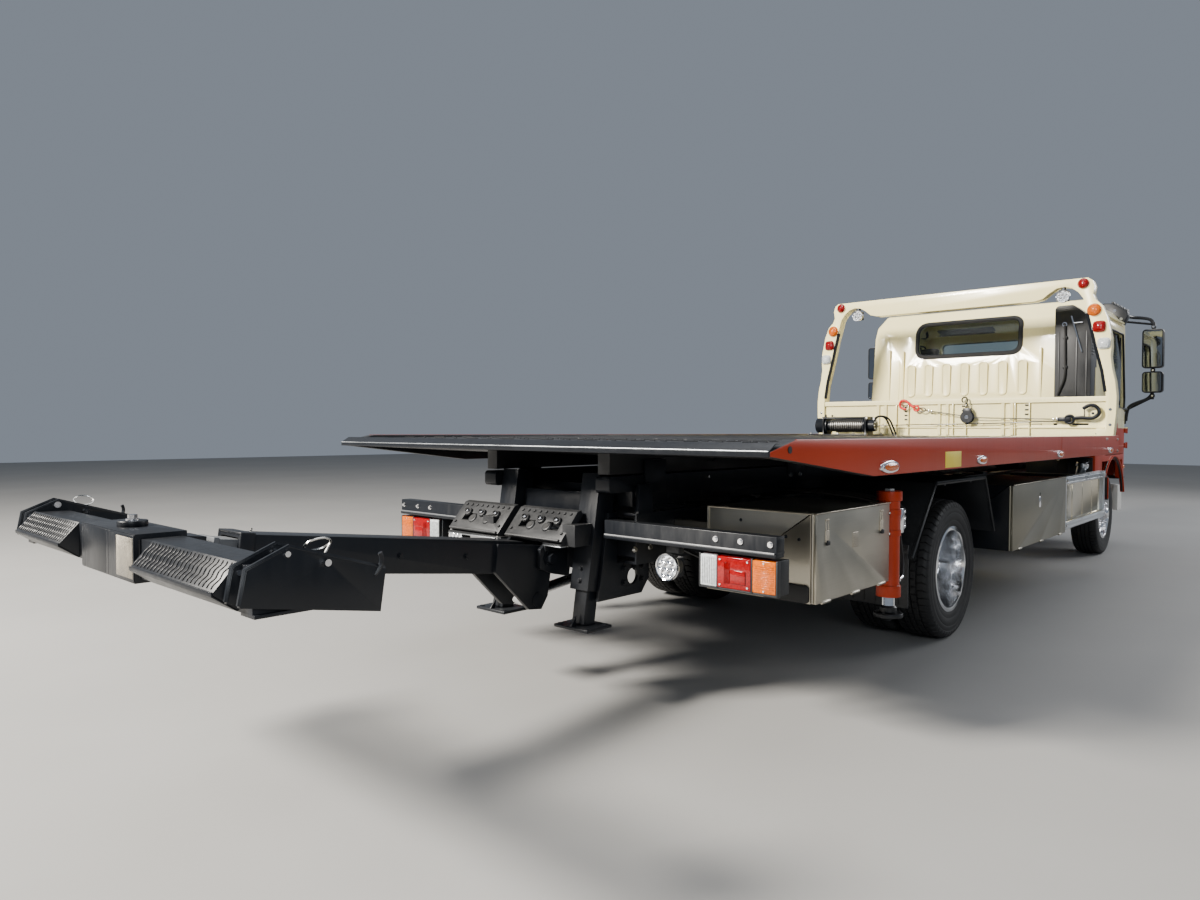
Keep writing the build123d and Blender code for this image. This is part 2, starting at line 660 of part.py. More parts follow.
def tilt_subframe():
    pieces = []
    for side in (1, -1):
        near, far = side * (BEAM_Y - BEAM_W / 2), side * (BEAM_Y + BEAM_W / 2)
        pieces.append(box(-2046, 2760, near, far, SUB_LOW, SUB_TOP))
        # The beam's raised rear end, beside the mast
        pieces.append(soft_xz([(-2190, 888), (-2190, SUB_TOP), (-2000, SUB_TOP), (-2000, 888)], 16, *sorted((side * 310, far))))
        # Keepers that guide the bed's long beams
        for x in (-1900, -700, 500, 1700):
            keeper = box(x - 70, x + 70, side * 385, side * 394, 880, 1020)
            pieces.append(keeper)
    for x in (-1940, -1100, -300, 500, 1370, 2100, 2720):
        pieces.append(box(x - 30, x + 30, -BEAM_Y, BEAM_Y, SUB_LOW + 14, 905))
    tube = bar((2690, 0, 975), (-1400, 0, 975), 40) - bar((2660, 0, 975), (-1400, 0, 975), 30)
    saddles = [box(x - 20, x + 20, -40, 40, 900, 945) for x in (-1100, 500, 2100)]
    # Cheeks on both sides of the lift rams' eyes, and the hinge bosses at the rear
    cheek = [(1342, 905), (1400, 905), (1548, 835), (1548, 772), (1470, 766), (1342, 842)]
    for side in (1, -1):
        for step in (-44, 32):
            pieces.append(slab_xz(cheek, side * (RAM_Y + step), side * (RAM_Y + step + 12)))
        pieces.append(disc_y(PIVOT_X, PIVOT_Z, 30, side * 380, side * 396))
    return fuse(pieces + [tube] + saddles)


def slide_rod():
    rod = bar((2600, 0, 975), (-1460, 0, 975), 24)
    eye = box(-1500, -1446, -45, 45, 940, 1030)
    return rod + eye


def lift_barrels():
    made = []
    for side in (1, -1):
        foot = Vector(RAM_FOOT[0], side * RAM_Y, RAM_FOOT[1])
        eye = Vector(RAM_EYE[0], side * RAM_Y, RAM_EYE[1])
        way = (eye - foot).normalized()
        start = foot + way * 45
        end = foot + way * 640
        tube = bar(tuple(start), tuple(end), 52) - bar(tuple(foot + way * 70), tuple(end), 36)
        lug = disc_y(RAM_FOOT[0], RAM_FOOT[1], 42, side * RAM_Y - 24, side * RAM_Y + 24)
        link = bar(tuple(foot), tuple(start), 30)
        made.append(fuse([tube, lug, link]))
    return Compound(children=made)


def lift_rods():
    made = []
    for side in (1, -1):
        foot = Vector(RAM_FOOT[0], side * RAM_Y, RAM_FOOT[1])
        eye = Vector(RAM_EYE[0], side * RAM_Y, RAM_EYE[1])
        way = (eye - foot).normalized()
        rod = bar(tuple(foot + way * 90), tuple(eye), 27)
        lug = disc_y(RAM_EYE[0], RAM_EYE[1], 40, side * RAM_Y - 24, side * RAM_Y + 24)
        made.append(fuse([rod, lug]))
    return Compound(children=made)


# Rear mast, stabiliser feet and underlift
def mast_point(share):
    x = MAST_TOP[0] + (MAST_FOOT[0] - MAST_TOP[0]) * share
    z = MAST_TOP[1] + (MAST_FOOT[1] - MAST_TOP[1]) * share
    return x, z


def rear_mast():
    pieces = []
    x0, z0 = mast_point(0)
    x1, z1 = mast_point(0.76)
    # Side plates that run forward below the rails
    plate = [
        (-2061, 800), (-2061, 588), (-1850, 588), (-1850, 500), (-1900, 440), (-2180, 440), (-2150, 600),
        (-2120, 800),
    ]
    cheek = [(-2120, 720), (-2150, 520), (-2240, 540), (-2320, 570), (-2320, 650), (-2240, 700)]
    bores = []
    for side in (1, -1):
        y = side * MAST_Y
        pieces.append(square_tube((x0, y, z0), (x1, y, z1), 100, 0))
        bores.append(square_tube((x0, y, z0), (x1, y, z1), 80, 0))
        bracket = [(-2061, 600), (-2061, 790), (-2100, 790), (-2130, 600)]
        pieces.append(slab_xz(bracket, side * 205, side * 302))
        holed = slab_xz(plate, side * 302, side * 318)
        holed -= disc_y(-1960, 520, 34, side * 290, side * 330)
        pieces.append(holed)
        # Hinge cheeks of the boom
        pieces.append(slab_xz(cheek, side * 104, side * 122))
        pieces.append(box(-2160, -2120, side * 104, side * 206, 560, 700))
    pieces.append(box(-2072, -2061, -318, 318, 560, 800))
    cross = [(-2095, 880), (-2107, 800), (-2122, 800), (-2110, 880)]
    pieces.append(slab_xz(cross, -205, 205))
    return fuse(pieces) - bores[0] - bores[1]


def step_pads():
    # Two moulded pads that lean on the mast, on a metal strip
    made = []
    for y0, y1 in ((150, 495), (-235, 110)):
        pad = [(-2315, 692), (-2292, 678), (-2182, 790), (-2194, 812), (-2216, 806)]
        body = slab_xz(pad, y0, y1)
        for y in (y0 + 95, y1 - 95):
            body -= box(-2330, -2235, y - 42, y + 42, 730, 760)
        made.append(body)
    for y0, y1 in ((-235, -130), (130, 495)):
        made.append(slab_xz([(-2318, 680), (-2312, 672), (-2205, 672), (-2205, 680)], y0, y1))
    stays = []
    for y0 in (-285, 215):
        stay = box(-2285, -2150, y0, y0 + 70, 672, 760)
        x0, z0 = mast_point(0)
        x1, z1 = mast_point(0.76)
        mid = math.copysign(MAST_Y, y0)
        stays.append(stay - square_tube((x0, mid, z0), (x1, mid, z1), 101, 0))
    return fuse(made + stays)


def rear_feet():
    made = []
    for side in (1, -1):
        x0, z0 = mast_point(0.12)
        x1, z1 = mast_point(0.98)
        leg = square_tube((x0, side * MAST_Y, z0), (x1, side * MAST_Y, z1), 68, 8)
        x2, z2 = mast_point(1.0)
        plate = box(x2 - 75, x2 + 75, side * MAST_Y - 95, side * MAST_Y + 95, z2, z2 + 14)
        made.append(fuse([leg, plate]))
    return Compound(children=made)


def along_boom(distance, up):
    # A point by its distance from the boom hinge along the boom, and above its middle
    angle = math.radians(BOOM_RISE)
    x = BOOM_X - distance * math.cos(angle) + up * math.sin(angle)
    z = BOOM_Z + distance * math.sin(angle) + up * math.cos(angle)
    return x, z


def boom_slab(points, y0, y1):
    return slab_xz([along_boom(d, u) for d, u in points], y0, y1)


def boom_outer():
    skin = boom_slab([(110, -70), (110, 62), (BOOM_LONG, 62), (BOOM_LONG, -58), (760, -62)], -75, 75)
    bore = boom_slab([(100, -50), (100, 50), (BOOM_LONG + 1, 50), (BOOM_LONG + 1, -50)], -60, 60)
    knuckle = [(-45, -60), (-45, 46), (60, 50), (260, 50), (260, -62), (60, -215), (-10, -215), (-40, -160)]
    sides = [boom_slab(knuckle, s * 74, s * 94) for s in (1, -1)]
    pin = disc_y(BOOM_X, BOOM_Z, 30, -98, 98)
    return fuse([skin - bore] + sides + [pin])


def boom_inner():
    # The tube slides 0.8 m out, so that much of it stays inside at full reach
    tube = boom_slab([(130, -45), (130, 45), (BOOM_LONG + 70, 45), (BOOM_LONG + 70, -45)], -55, 55)
    tongue = boom_slab([(BOOM_LONG + 69, -30), (BOOM_LONG + 69, 30), (1450, 30), (1450, -30)], -50, 50)
    return tube + tongue


def crossbar():
    beam = box(CROSS_X - 52, CROSS_X + 52, -860, 860, 748, 852)
    sleeve = box(CROSS_X - 66, CROSS_X + 66, -215, 215, 735, 865)
    ears = [boom_slab([(1375, u), (1375, u + 15), (1505, u + 15), (1505, u)], -62, 62) for u in (37, -52)]
    pin = Pos(CROSS_X, 0, 800) * Cylinder(24, 150)
    wedges = []
    ramp = [
        (CROSS_X - 51, 750), (CROSS_X - 104, 788), (CROSS_X - 104, 796), (CROSS_X - 51, 856),
    ]
    plates = []
    bracket = [(-3895, 772), (-3882, 850), (-3785, 890), (-3545, 814), (-3560, 712)]
    for side in (1, -1):
        wedges.append(slab_xz(ramp, side * 300, side * 790))
        for y in (800, 862):
            cheek = slab_xz(bracket, side * y, side * (y + 12))
            plates.append(cheek - disc_y(-3700, 845, 7, side * 790, side * 890))
        plates.append(box(-3660, -3640, side * 805, side * 870, 740, 800))
        # The shelf that joins both cheeks below
        plates.append(box(-3862, -3570, side * 805, side * 870, 742, 750))
    return fuse([beam, sleeve, pin] + ears + wedges + plates)


def underlift_barrel():
    eye_x, eye_z = along_boom(20, -175)
    foot = Vector(UL_FOOT[0], 0, UL_FOOT[1])
    eye = Vector(eye_x, 0, eye_z)
    way = (eye - foot).normalized()
    tube = bar(tuple(foot + way * 40), tuple(foot + way * 470), 45)
    tube -= bar(tuple(foot + way * 60), tuple(foot + way * 471), 30)
    lug = disc_y(UL_FOOT[0], UL_FOOT[1], 36, -25, 25)
    return fuse([tube, lug, bar(tuple(foot), tuple(foot + way * 60), 26)])


def underlift_rod():
    eye_x, eye_z = along_boom(20, -175)
    foot = Vector(UL_FOOT[0], 0, UL_FOOT[1])
    eye = Vector(eye_x, 0, eye_z)
    way = (eye - foot).normalized()
    return bar(tuple(foot + way * 150), tuple(eye), 22) + disc_y(eye_x, eye_z, 34, -25, 25)


# Rear beam, lamps, boxes and guards
def rear_beam():
    made = []
    for side in (1, -1):
        channel = [(-2146, 712), (-2146, 775), (-2090, 775), (-2090, 765), (-2136, 765), (-2136, 722), (-2090, 722), (-2090, 712)]
        piece = slab_xz(channel, side * 319, side * 1118)
        arm = box(-2095, -2060, side * 340, side * 420, 715, 770)
        made.append(fuse([piece, arm, box(-2152, -2095, side * 319, side * 1118, 700, 713)]))
    return Compound(children=made)


def tail_lamps():
    # Inner edge, outer edge of each lens
    made = []
    for side in (1, -1):
        case = box(-2128, -2060, side * 790, side * 1120, 566, 690)
        lens = [box(-2146, -2128, side * a, side * b, 572, 686) for a, b in ((800, 870), (874, 1014), (1022, 1114))]
        hanger = box(-2110, -2097, side * 830, side * 1080, 688, 700)
        made.append(fuse([case, hanger] + lens))
        made.append(fuse([
            bar((-2146, side * 648, 619), (-2070, side * 648, 619), 54),
            box(-2110, -2097, side * 648 - 10, side * 648 + 10, 660, 700),
        ]))
    return Compound(children=made)


def hollow(x0, x1, y0, y1, z0, z1, wall):
    # A box that is open at y0, its door side
    inner_y = y1 - wall if y1 > y0 else y1 + wall
    return box(x0, x1, y0, y1, z0, z1) - box(x0 + wall, x1 - wall, y0, inner_y, z0 + wall, z1 - wall)


BOX_WALL = 14
REAR_BOX = (-1873, -1210, 1112, 640, 497, 834)
SIDE_BOX = (587, 1850, 1112, 640, 431, 822)


def toolbox(size, side):
    x0, x1, y0, y1, z0, z1 = size
    body = hollow(x0, x1, side * (y0 - 8), side * y1, z0, z1, BOX_WALL)
    for x in (x0 + 90, x1 - 90):
        body += box(x - 20, x + 20, side * 420, side * (y1 + 2), 640, 760)
    # The folded rain lip over the door
    body += box(x0, x1, side * (y0 - 10), side * (y0 + 20), z1 - 1, z1 + 5)
    return body


def box_door(size, side):
    # A door leaf with a folded rim and three hinge barrels along its lower edge
    x0, x1, y0, y1, z0, z1 = size
    leaf = box(x0 + 2, x1 - 2, side * (y0 - 2), side * (y0 + 14), z0 + 2, z1 - 2)
    for share in (0.12, 0.5, 0.88):
        x = x0 + (x1 - x0) * share
        leaf += bar((x - 35, side * (y0 + 14), z0 + 2), (x + 35, side * (y0 + 14), z0 + 2), 6)
    return leaf


def side_panels():
    made = []
    for side in (1, -1):
        x0, x1 = 1862, 3176
        sheet = box(x0, x1, side * 1080, side * 1092, 470, 800)
        rails = [box(x0, x1, side * 1070, side * 1125, z, z + 55) for z in (448, 768)]
        ends = [box(a, b, side * 1074, side * 1120, 450, 820) for a, b in ((x0, x0 + 40), (x1 - 50, x1))]
        arms = [box(x - 25, x + 25, side * 420, side * 1082, 740, 790) for x in (1980, 3060)]
        made.append(fuse([sheet] + rails + ends + arms))
    return Compound(children=made)


def fuel_tank():
    tank = soft_xz([(2050, 455), (2050, 730), (2960, 730), (2960, 455)], 60, 640, 1060)
    neck = bar((2880, 980, 700), (2880, 1010, 860), 34)
    cap = bar((2880, 1010, 860), (2880, 1018, 890), 46)
    strap = [box(x - 20, x + 20, 420, 645, 690, 720) for x in (2250, 2780)]
    return flip(fuse([tank, neck, cap] + strap))


def mudguards():
    made = []
    for side in (1, -1):
        back = [(-778, 537), (-790, 537), (-487, 884), (-475, 876)]
        top = [(-487, 884), (-487, 872), (290, 872), (290, 884)]
        front = [(290, 884), (278, 884), (452, 560), (464, 560)]
        plates = [slab_xz(p, side * 500, side * 1060) for p in (back, top, front)]
        flap = box(-796, -784, side * 620, side * 1045, 300, 600)
        stay = box(-240, -190, side * 420, side * 520, 720, 884)
        made.append(fuse(plates + [flap, stay]))
    return Compound(children=made)


JACK_X = -1140
JACK_Y = 1095


def jack_barrels():
    made = []
    for side in (1, -1):
        y = side * JACK_Y
        tube = bar((JACK_X, y, 420), (JACK_X, y, 870), 45) - bar((JACK_X, y, 400), (JACK_X, y, 850), 32)
        head = bar((JACK_X, y, 840), (JACK_X, y, 882), 54)
        tube += bar((JACK_X, y, 420), (JACK_X, y, 470), 52) - bar((JACK_X, y, 400), (JACK_X, y, 480), 34)
        # The two oil ports with their block on the front of the barrel
        tube += box(JACK_X + 40, JACK_X + 74, y - 16, y + 16, 700, 790)
        arm = box(JACK_X - 40, JACK_X + 40, side * 420, side * (JACK_Y - 40), 700, 790)
        made.append(fuse([tube, head, arm]))
    return Compound(children=made)


def jack_foot(side):
    y = side * JACK_Y
    rod = bar((JACK_X, y, 345), (JACK_X, y, 830), 27)
    shoe = bar((JACK_X, y, 330), (JACK_X, y, 348), 62)
    return rod + shoe


save("chassis_frame", chassis_frame())
save("front_axle", front_axle())
save("rear_axle", rear_axle())
save("driveline", driveline())
save("exhaust", flip(exhaust()))
save("fuel_tank", fuel_tank())
save("bumper", bumper())
save("rear_mast", rear_mast())
save("step_pads", step_pads())
save("rear_feet", rear_feet())
save("rear_beam", rear_beam())
save("tail_lamps", tail_lamps())
save("side_panels", side_panels())
save("mudguards", mudguards())
save("jack_barrels", jack_barrels())
save("cab_shell", cab_shell())
save("cab_lower", cab_lower())
save("cab_glass", cab_glass())
save("headlamps", headlamps())
save("mirrors", mirrors())
save("snorkel", snorkel())
save("seats", seats())
save("dashboard", dashboard())
save("deck_floor", deck_floor())
save("deck_rails", deck_rails())
save("cab_guard", cab_guard())
save("deck_lamps", deck_lamps())
save("winch", winch())
save("slide_rod", slide_rod())
save("tilt_subframe", tilt_subframe())
save("lift_barrels", lift_barrels())
save("lift_rods", lift_rods())
save("boom_outer", boom_outer())
save("boom_inner", boom_inner())
save("crossbar", crossbar())
save("underlift_barrel", underlift_barrel())
save("underlift_rod", underlift_rod())
save("rear_toolbox", toolbox(REAR_BOX, -1))
save("rear_box_door", box_door(REAR_BOX, -1))
save("side_toolboxes", Compound(children=[toolbox(SIDE_BOX, 1), toolbox(SIDE_BOX, -1)]))
for side, name in ((1, "left"), (-1, "right")):
    save(f"{name}_side_box_door", box_door(SIDE_BOX, side))
    save(f"{name}_door", door(side))
    save(f"{name}_door_glass", door_glass(side))
    save(f"{name}_jack_foot", jack_foot(side))
    save(f"{name}_knuckle", knuckle(side))
    save(f"front_{name}_tyre", Pos(WHEELBASE, 0, 0) * tyre(side * FRONT_WHEEL_Y))
    save(f"front_{name}_rim", front_rim(side))
    twins = [tyre(side * (TWIN_MID_Y + s * TWIN_SPACING / 2)) for s in (1, -1)]
    save(f"rear_{name}_tyres", Compound(children=twins))
    save(f"rear_{name}_rims", rear_rim(side))
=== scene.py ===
import bpy
import bmesh
import math
from mathutils import Matrix, Vector


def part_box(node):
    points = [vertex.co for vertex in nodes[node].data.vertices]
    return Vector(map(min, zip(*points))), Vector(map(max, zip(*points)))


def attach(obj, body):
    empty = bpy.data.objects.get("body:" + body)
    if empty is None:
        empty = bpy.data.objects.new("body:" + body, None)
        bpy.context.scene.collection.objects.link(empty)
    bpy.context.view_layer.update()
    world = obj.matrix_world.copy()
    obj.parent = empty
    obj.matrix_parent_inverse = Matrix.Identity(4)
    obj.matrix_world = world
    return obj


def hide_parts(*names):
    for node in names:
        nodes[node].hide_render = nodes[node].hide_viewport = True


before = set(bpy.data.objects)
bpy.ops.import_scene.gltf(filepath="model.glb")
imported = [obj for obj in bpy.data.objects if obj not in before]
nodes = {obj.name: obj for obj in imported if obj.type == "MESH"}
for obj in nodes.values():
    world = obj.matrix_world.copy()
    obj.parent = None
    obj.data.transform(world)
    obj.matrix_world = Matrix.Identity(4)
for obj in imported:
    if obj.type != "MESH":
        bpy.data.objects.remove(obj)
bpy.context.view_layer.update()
bothSides = (("left", 1), ("right", -1))
print("packed model loaded")


# Node trees
def addNode(tree, kind, inputs=None, **settings):
    node = tree.nodes.new(kind)
    for key, value in settings.items():
        setattr(node, key, value)
    for key, value in (inputs or {}).items():
        if isinstance(value, bpy.types.NodeSocket):
            tree.links.new(value, node.inputs[key])
        else:
            node.inputs[key].default_value = value
    return node


def newGroup(name, inputs, outputs):
    tree = bpy.data.node_groups.new(name, "ShaderNodeTree")
    for label, kind, value in inputs:
        socket = tree.interface.new_socket(name=label, in_out="INPUT", socket_type="NodeSocket" + kind)
        socket.default_value = value
    for label, kind in outputs:
        tree.interface.new_socket(name=label, in_out="OUTPUT", socket_type="NodeSocket" + kind)
    return tree, addNode(tree, "NodeGroupInput").outputs, addNode(tree, "NodeGroupOutput").inputs


def mathNode(tree, operation, a, b=0.0, clamp=False):
    return addNode(tree, "ShaderNodeMath", {0: a, 1: b}, operation=operation, use_clamp=clamp).outputs[0]


def ramp(tree, value, low, high, toLow=0.0, toHigh=1.0):
    keys = {"Value": value, "From Min": low, "From Max": high, "To Min": toLow, "To Max": toHigh}
    return addNode(tree, "ShaderNodeMapRange", keys, interpolation_type="SMOOTHSTEP").outputs[0]


def noise(tree, vector, scale, detail=4.0, rough=0.55):
    keys = {"Vector": vector, "Scale": scale, "Detail": detail, "Roughness": rough}
    return addNode(tree, "ShaderNodeTexNoise", keys).outputs[0]


def stretched(tree, vector, scale):
    return addNode(tree, "ShaderNodeMapping", {"Vector": vector, "Scale": scale}).outputs[0]


def mixColor(tree, factor, a, b, blend="MIX"):
    node = addNode(tree, "ShaderNodeMix", {0: factor}, data_type="RGBA", blend_type=blend)
    for index, value in ((6, a), (7, b)):
        if isinstance(value, bpy.types.NodeSocket):
            tree.links.new(value, node.inputs[index])
        else:
            node.inputs[index].default_value = value
    return node.outputs[2]


def roadDustGroup():
    # Pale film that gathers low down and on faces that look up
    tree, given, made = newGroup("roadDust",
                                 [("Color", "Color", (0.5, 0.5, 0.5, 1)), ("Dust", "Color", (0.4, 0.37, 0.32, 1)),
                                  ("Amount", "Float", 0.3), ("Low", "Float", 0.3), ("High", "Float", 1.1),
                                  ("Rough", "Float", 0.4)],
                                  [("Color", "Color"), ("Rough", "Float"), ("Mask", "Float")])
    place = addNode(tree, "ShaderNodeTexCoord").outputs["Object"]
    height = addNode(tree, "ShaderNodeSeparateXYZ", {0: place}).outputs[2]
    facing = addNode(tree, "ShaderNodeSeparateXYZ", {0: addNode(tree, "ShaderNodeNewGeometry").outputs["Normal"]})
    low = mathNode(tree, "SUBTRACT", 1.0, ramp(tree, height, given["Low"], given["High"]))
    upward = ramp(tree, facing.outputs[2], 0.45, 1.0, 0.0, 0.45)
    cloud = ramp(tree, noise(tree, place, 3.1, 7.0, 0.62), 0.32, 0.72)
    speck = ramp(tree, noise(tree, place, 85.0, 3.0, 0.7), 0.42, 0.75, 0.35, 1.0)
    both = mathNode(tree, "ADD", mathNode(tree, "MULTIPLY", low, cloud), upward, True)
    mask = mathNode(tree, "MULTIPLY", mathNode(tree, "MULTIPLY", both, speck), given["Amount"], True)
    tree.links.new(mixColor(tree, mask, given["Color"], given["Dust"]), made["Color"])
    rough = mathNode(tree, "ADD", given["Rough"], mathNode(tree, "MULTIPLY", mask, 0.5), True)
    tree.links.new(rough, made["Rough"])
    tree.links.new(mask, made["Mask"])
    return tree


def paintBodyGroup():
    # Colour that drifts a little over a panel, fine wipe marks in the gloss and orange peel
    tree, given, made = newGroup("paintBody", [("Color", "Color", (0.5, 0.5, 0.5, 1)), ("Drift", "Float", 0.06),
                                               ("Rough", "Float", 0.3), ("Marks", "Float", 0.08),
                                               ("Peel Scale", "Float", 380.0)],
                                               [("Color", "Color"), ("Rough", "Float"), ("Height", "Float")])
    place = addNode(tree, "ShaderNodeTexCoord").outputs["Object"]
    broad = ramp(tree, noise(tree, place, 1.7, 5.0), 0.3, 0.7, -1.0, 1.0)
    value = mathNode(tree, "ADD", 1.0, mathNode(tree, "MULTIPLY", broad, given["Drift"]))
    shade = addNode(tree, "ShaderNodeHueSaturation", {"Value": value, "Color": given["Color"]}).outputs[0]
    tree.links.new(shade, made["Color"])
    wipe = ramp(tree, noise(tree, stretched(tree, place, (9, 9, 1.2)), 5.0, 8.0, 0.7), 0.35, 0.7)
    tree.links.new(mathNode(tree, "ADD", given["Rough"], mathNode(tree, "MULTIPLY", wipe, given["Marks"])),
                   made["Rough"])
    tree.links.new(noise(tree, place, given["Peel Scale"], 2.0), made["Height"])
    return tree


def brushedGroup():
    # Long fine lines of rolled or brushed metal, with cloudy patches
    tree, given, made = newGroup("brushedMetal",
                                 [("Color", "Color", (0.6, 0.6, 0.6, 1)), ("Along", "Vector", (1, 60, 60)),
                                  ("Rough", "Float", 0.3), ("Lines", "Float", 0.15), ("Clouds", "Float", 0.12)],
                                  [("Color", "Color"), ("Rough", "Float"), ("Height", "Float")])
    place = addNode(tree, "ShaderNodeTexCoord").outputs["Object"]
    line = noise(tree, addNode(tree, "ShaderNodeVectorMath", {0: place, 1: given["Along"]},
                               operation="MULTIPLY").outputs[0], 6.0, 6.0, 0.7)
    cloud = ramp(tree, noise(tree, place, 3.4, 6.0, 0.6), 0.3, 0.7, -1.0, 1.0)
    value = mathNode(tree, "ADD", mathNode(tree, "MULTIPLY", ramp(tree, line, 0.3, 0.7, -1.0, 1.0), given["Lines"]),
                     mathNode(tree, "MULTIPLY", cloud, given["Clouds"]))
    shade = addNode(tree, "ShaderNodeHueSaturation",
                    {"Value": mathNode(tree, "ADD", value, 1.0), "Color": given["Color"]})
    tree.links.new(shade.outputs[0], made["Color"])
    tree.links.new(mathNode(tree, "ADD", given["Rough"], mathNode(tree, "MULTIPLY", value, 0.45), True),
                   made["Rough"])
    tree.links.new(line, made["Height"])
    return tree


def mouldedGroup():
    # Fine leathery grain of moulded plastic and rubber
    tree, given, made = newGroup("mouldedGrain", [("Color", "Color", (0.05, 0.05, 0.05, 1)),
                                                  ("Scale", "Float", 420.0), ("Rough", "Float", 0.55)],
                                                  [("Color", "Color"), ("Rough", "Float"), ("Height", "Float")])
    place = addNode(tree, "ShaderNodeTexCoord").outputs["Object"]
    cells = addNode(tree, "ShaderNodeTexVoronoi", {"Vector": place, "Scale": given["Scale"]}).outputs[0]
    cloud = noise(tree, place, 6.0, 6.0)
    shade = addNode(tree, "ShaderNodeHueSaturation",
                    {"Value": ramp(tree, cloud, 0.3, 0.7, 0.8, 1.25), "Color": given["Color"]})
    tree.links.new(shade.outputs[0], made["Color"])
    tree.links.new(mathNode(tree, "ADD", given["Rough"], ramp(tree, cloud, 0.3, 0.75, -0.08, 0.1), True),
                   made["Rough"])
    tree.links.new(cells, made["Height"])
    return tree


def plateGroup():
    # Bright scratches and rubbed spots on painted steel that is walked and driven on
    tree, given, made = newGroup("rubbedSteel",
                                 [("Color", "Color", (0.02, 0.02, 0.02, 1)), ("Bare", "Color", (0.3, 0.3, 0.31, 1)),
                                  ("Amount", "Float", 0.3), ("Rough", "Float", 0.4)],
                                  [("Color", "Color"), ("Rough", "Float"), ("Height", "Float")])
    place = addNode(tree, "ShaderNodeTexCoord").outputs["Object"]
    scratch = ramp(tree, noise(tree, stretched(tree, place, (2, 26, 26)), 7.0, 8.0, 0.72), 0.62, 0.72)
    patch = ramp(tree, noise(tree, place, 2.2, 6.0, 0.65), 0.45, 0.7)
    mask = mathNode(tree, "MULTIPLY", mathNode(tree, "MULTIPLY", scratch, patch), given["Amount"], True)
    tree.links.new(mixColor(tree, mask, given["Color"], given["Bare"]), made["Color"])
    rough = mathNode(tree, "ADD", given["Rough"], ramp(tree, noise(tree, place, 9.0, 7.0), 0.3, 0.7, -0.08, 0.12),
                     True)
    tree.links.new(rough, made["Rough"])
    tree.links.new(noise(tree, place, 260.0, 3.0), made["Height"])
    return tree


groups = {
    "dust": roadDustGroup(), "paint": paintBodyGroup(), "brushed": brushedGroup(), "moulded": mouldedGroup(),
    "rubbed": plateGroup(),
}


def newMaterial(name):
    # A material with its node tree, its shader and the place on the truck
    material = bpy.data.materials.new(name)
    material.use_nodes = True
    tree = material.node_tree
    place = addNode(tree, "ShaderNodeTexCoord").outputs["Object"]
    return material, tree, tree.nodes["Principled BSDF"], place


def setInputs(node, values):
    for key, value in values.items():
        node.inputs[key].default_value = value


def addBump(tree, shader, height, strength, distance):
    keys = {"Height": height, "Strength": strength, "Distance": distance}
    tree.links.new(addNode(tree, "ShaderNodeBump", keys).outputs[0], shader.inputs["Normal"])


def makeFinish(name, kind, color, rough, inputs=None, bump=0.0, distance=0.001, dust=None, metallic=0.0, **direct):
    # One material: a surface group, a film of dust over it and the shader
    material, tree, shader, _ = newMaterial(name)
    body = addNode(tree, "ShaderNodeGroup", node_tree=groups[kind])
    setInputs(body, {"Color": (*color, 1), "Rough": rough, **(inputs or {})})
    colorOut, roughOut = body.outputs["Color"], body.outputs["Rough"]
    if dust:
        film = addNode(tree, "ShaderNodeGroup", {"Color": colorOut, "Rough": roughOut}, node_tree=groups["dust"])
        setInputs(film, dict(zip(("Amount", "Low", "High", "Dust"), dust)))
        colorOut, roughOut = film.outputs["Color"], film.outputs["Rough"]
    tree.links.new(colorOut, shader.inputs["Base Color"])
    tree.links.new(roughOut, shader.inputs["Roughness"])
    if bump:
        addBump(tree, shader, body.outputs["Height"], bump, distance)
    setInputs(shader, {"Metallic": metallic, **{key.replace("_", " "): value for key, value in direct.items()}})
    return material


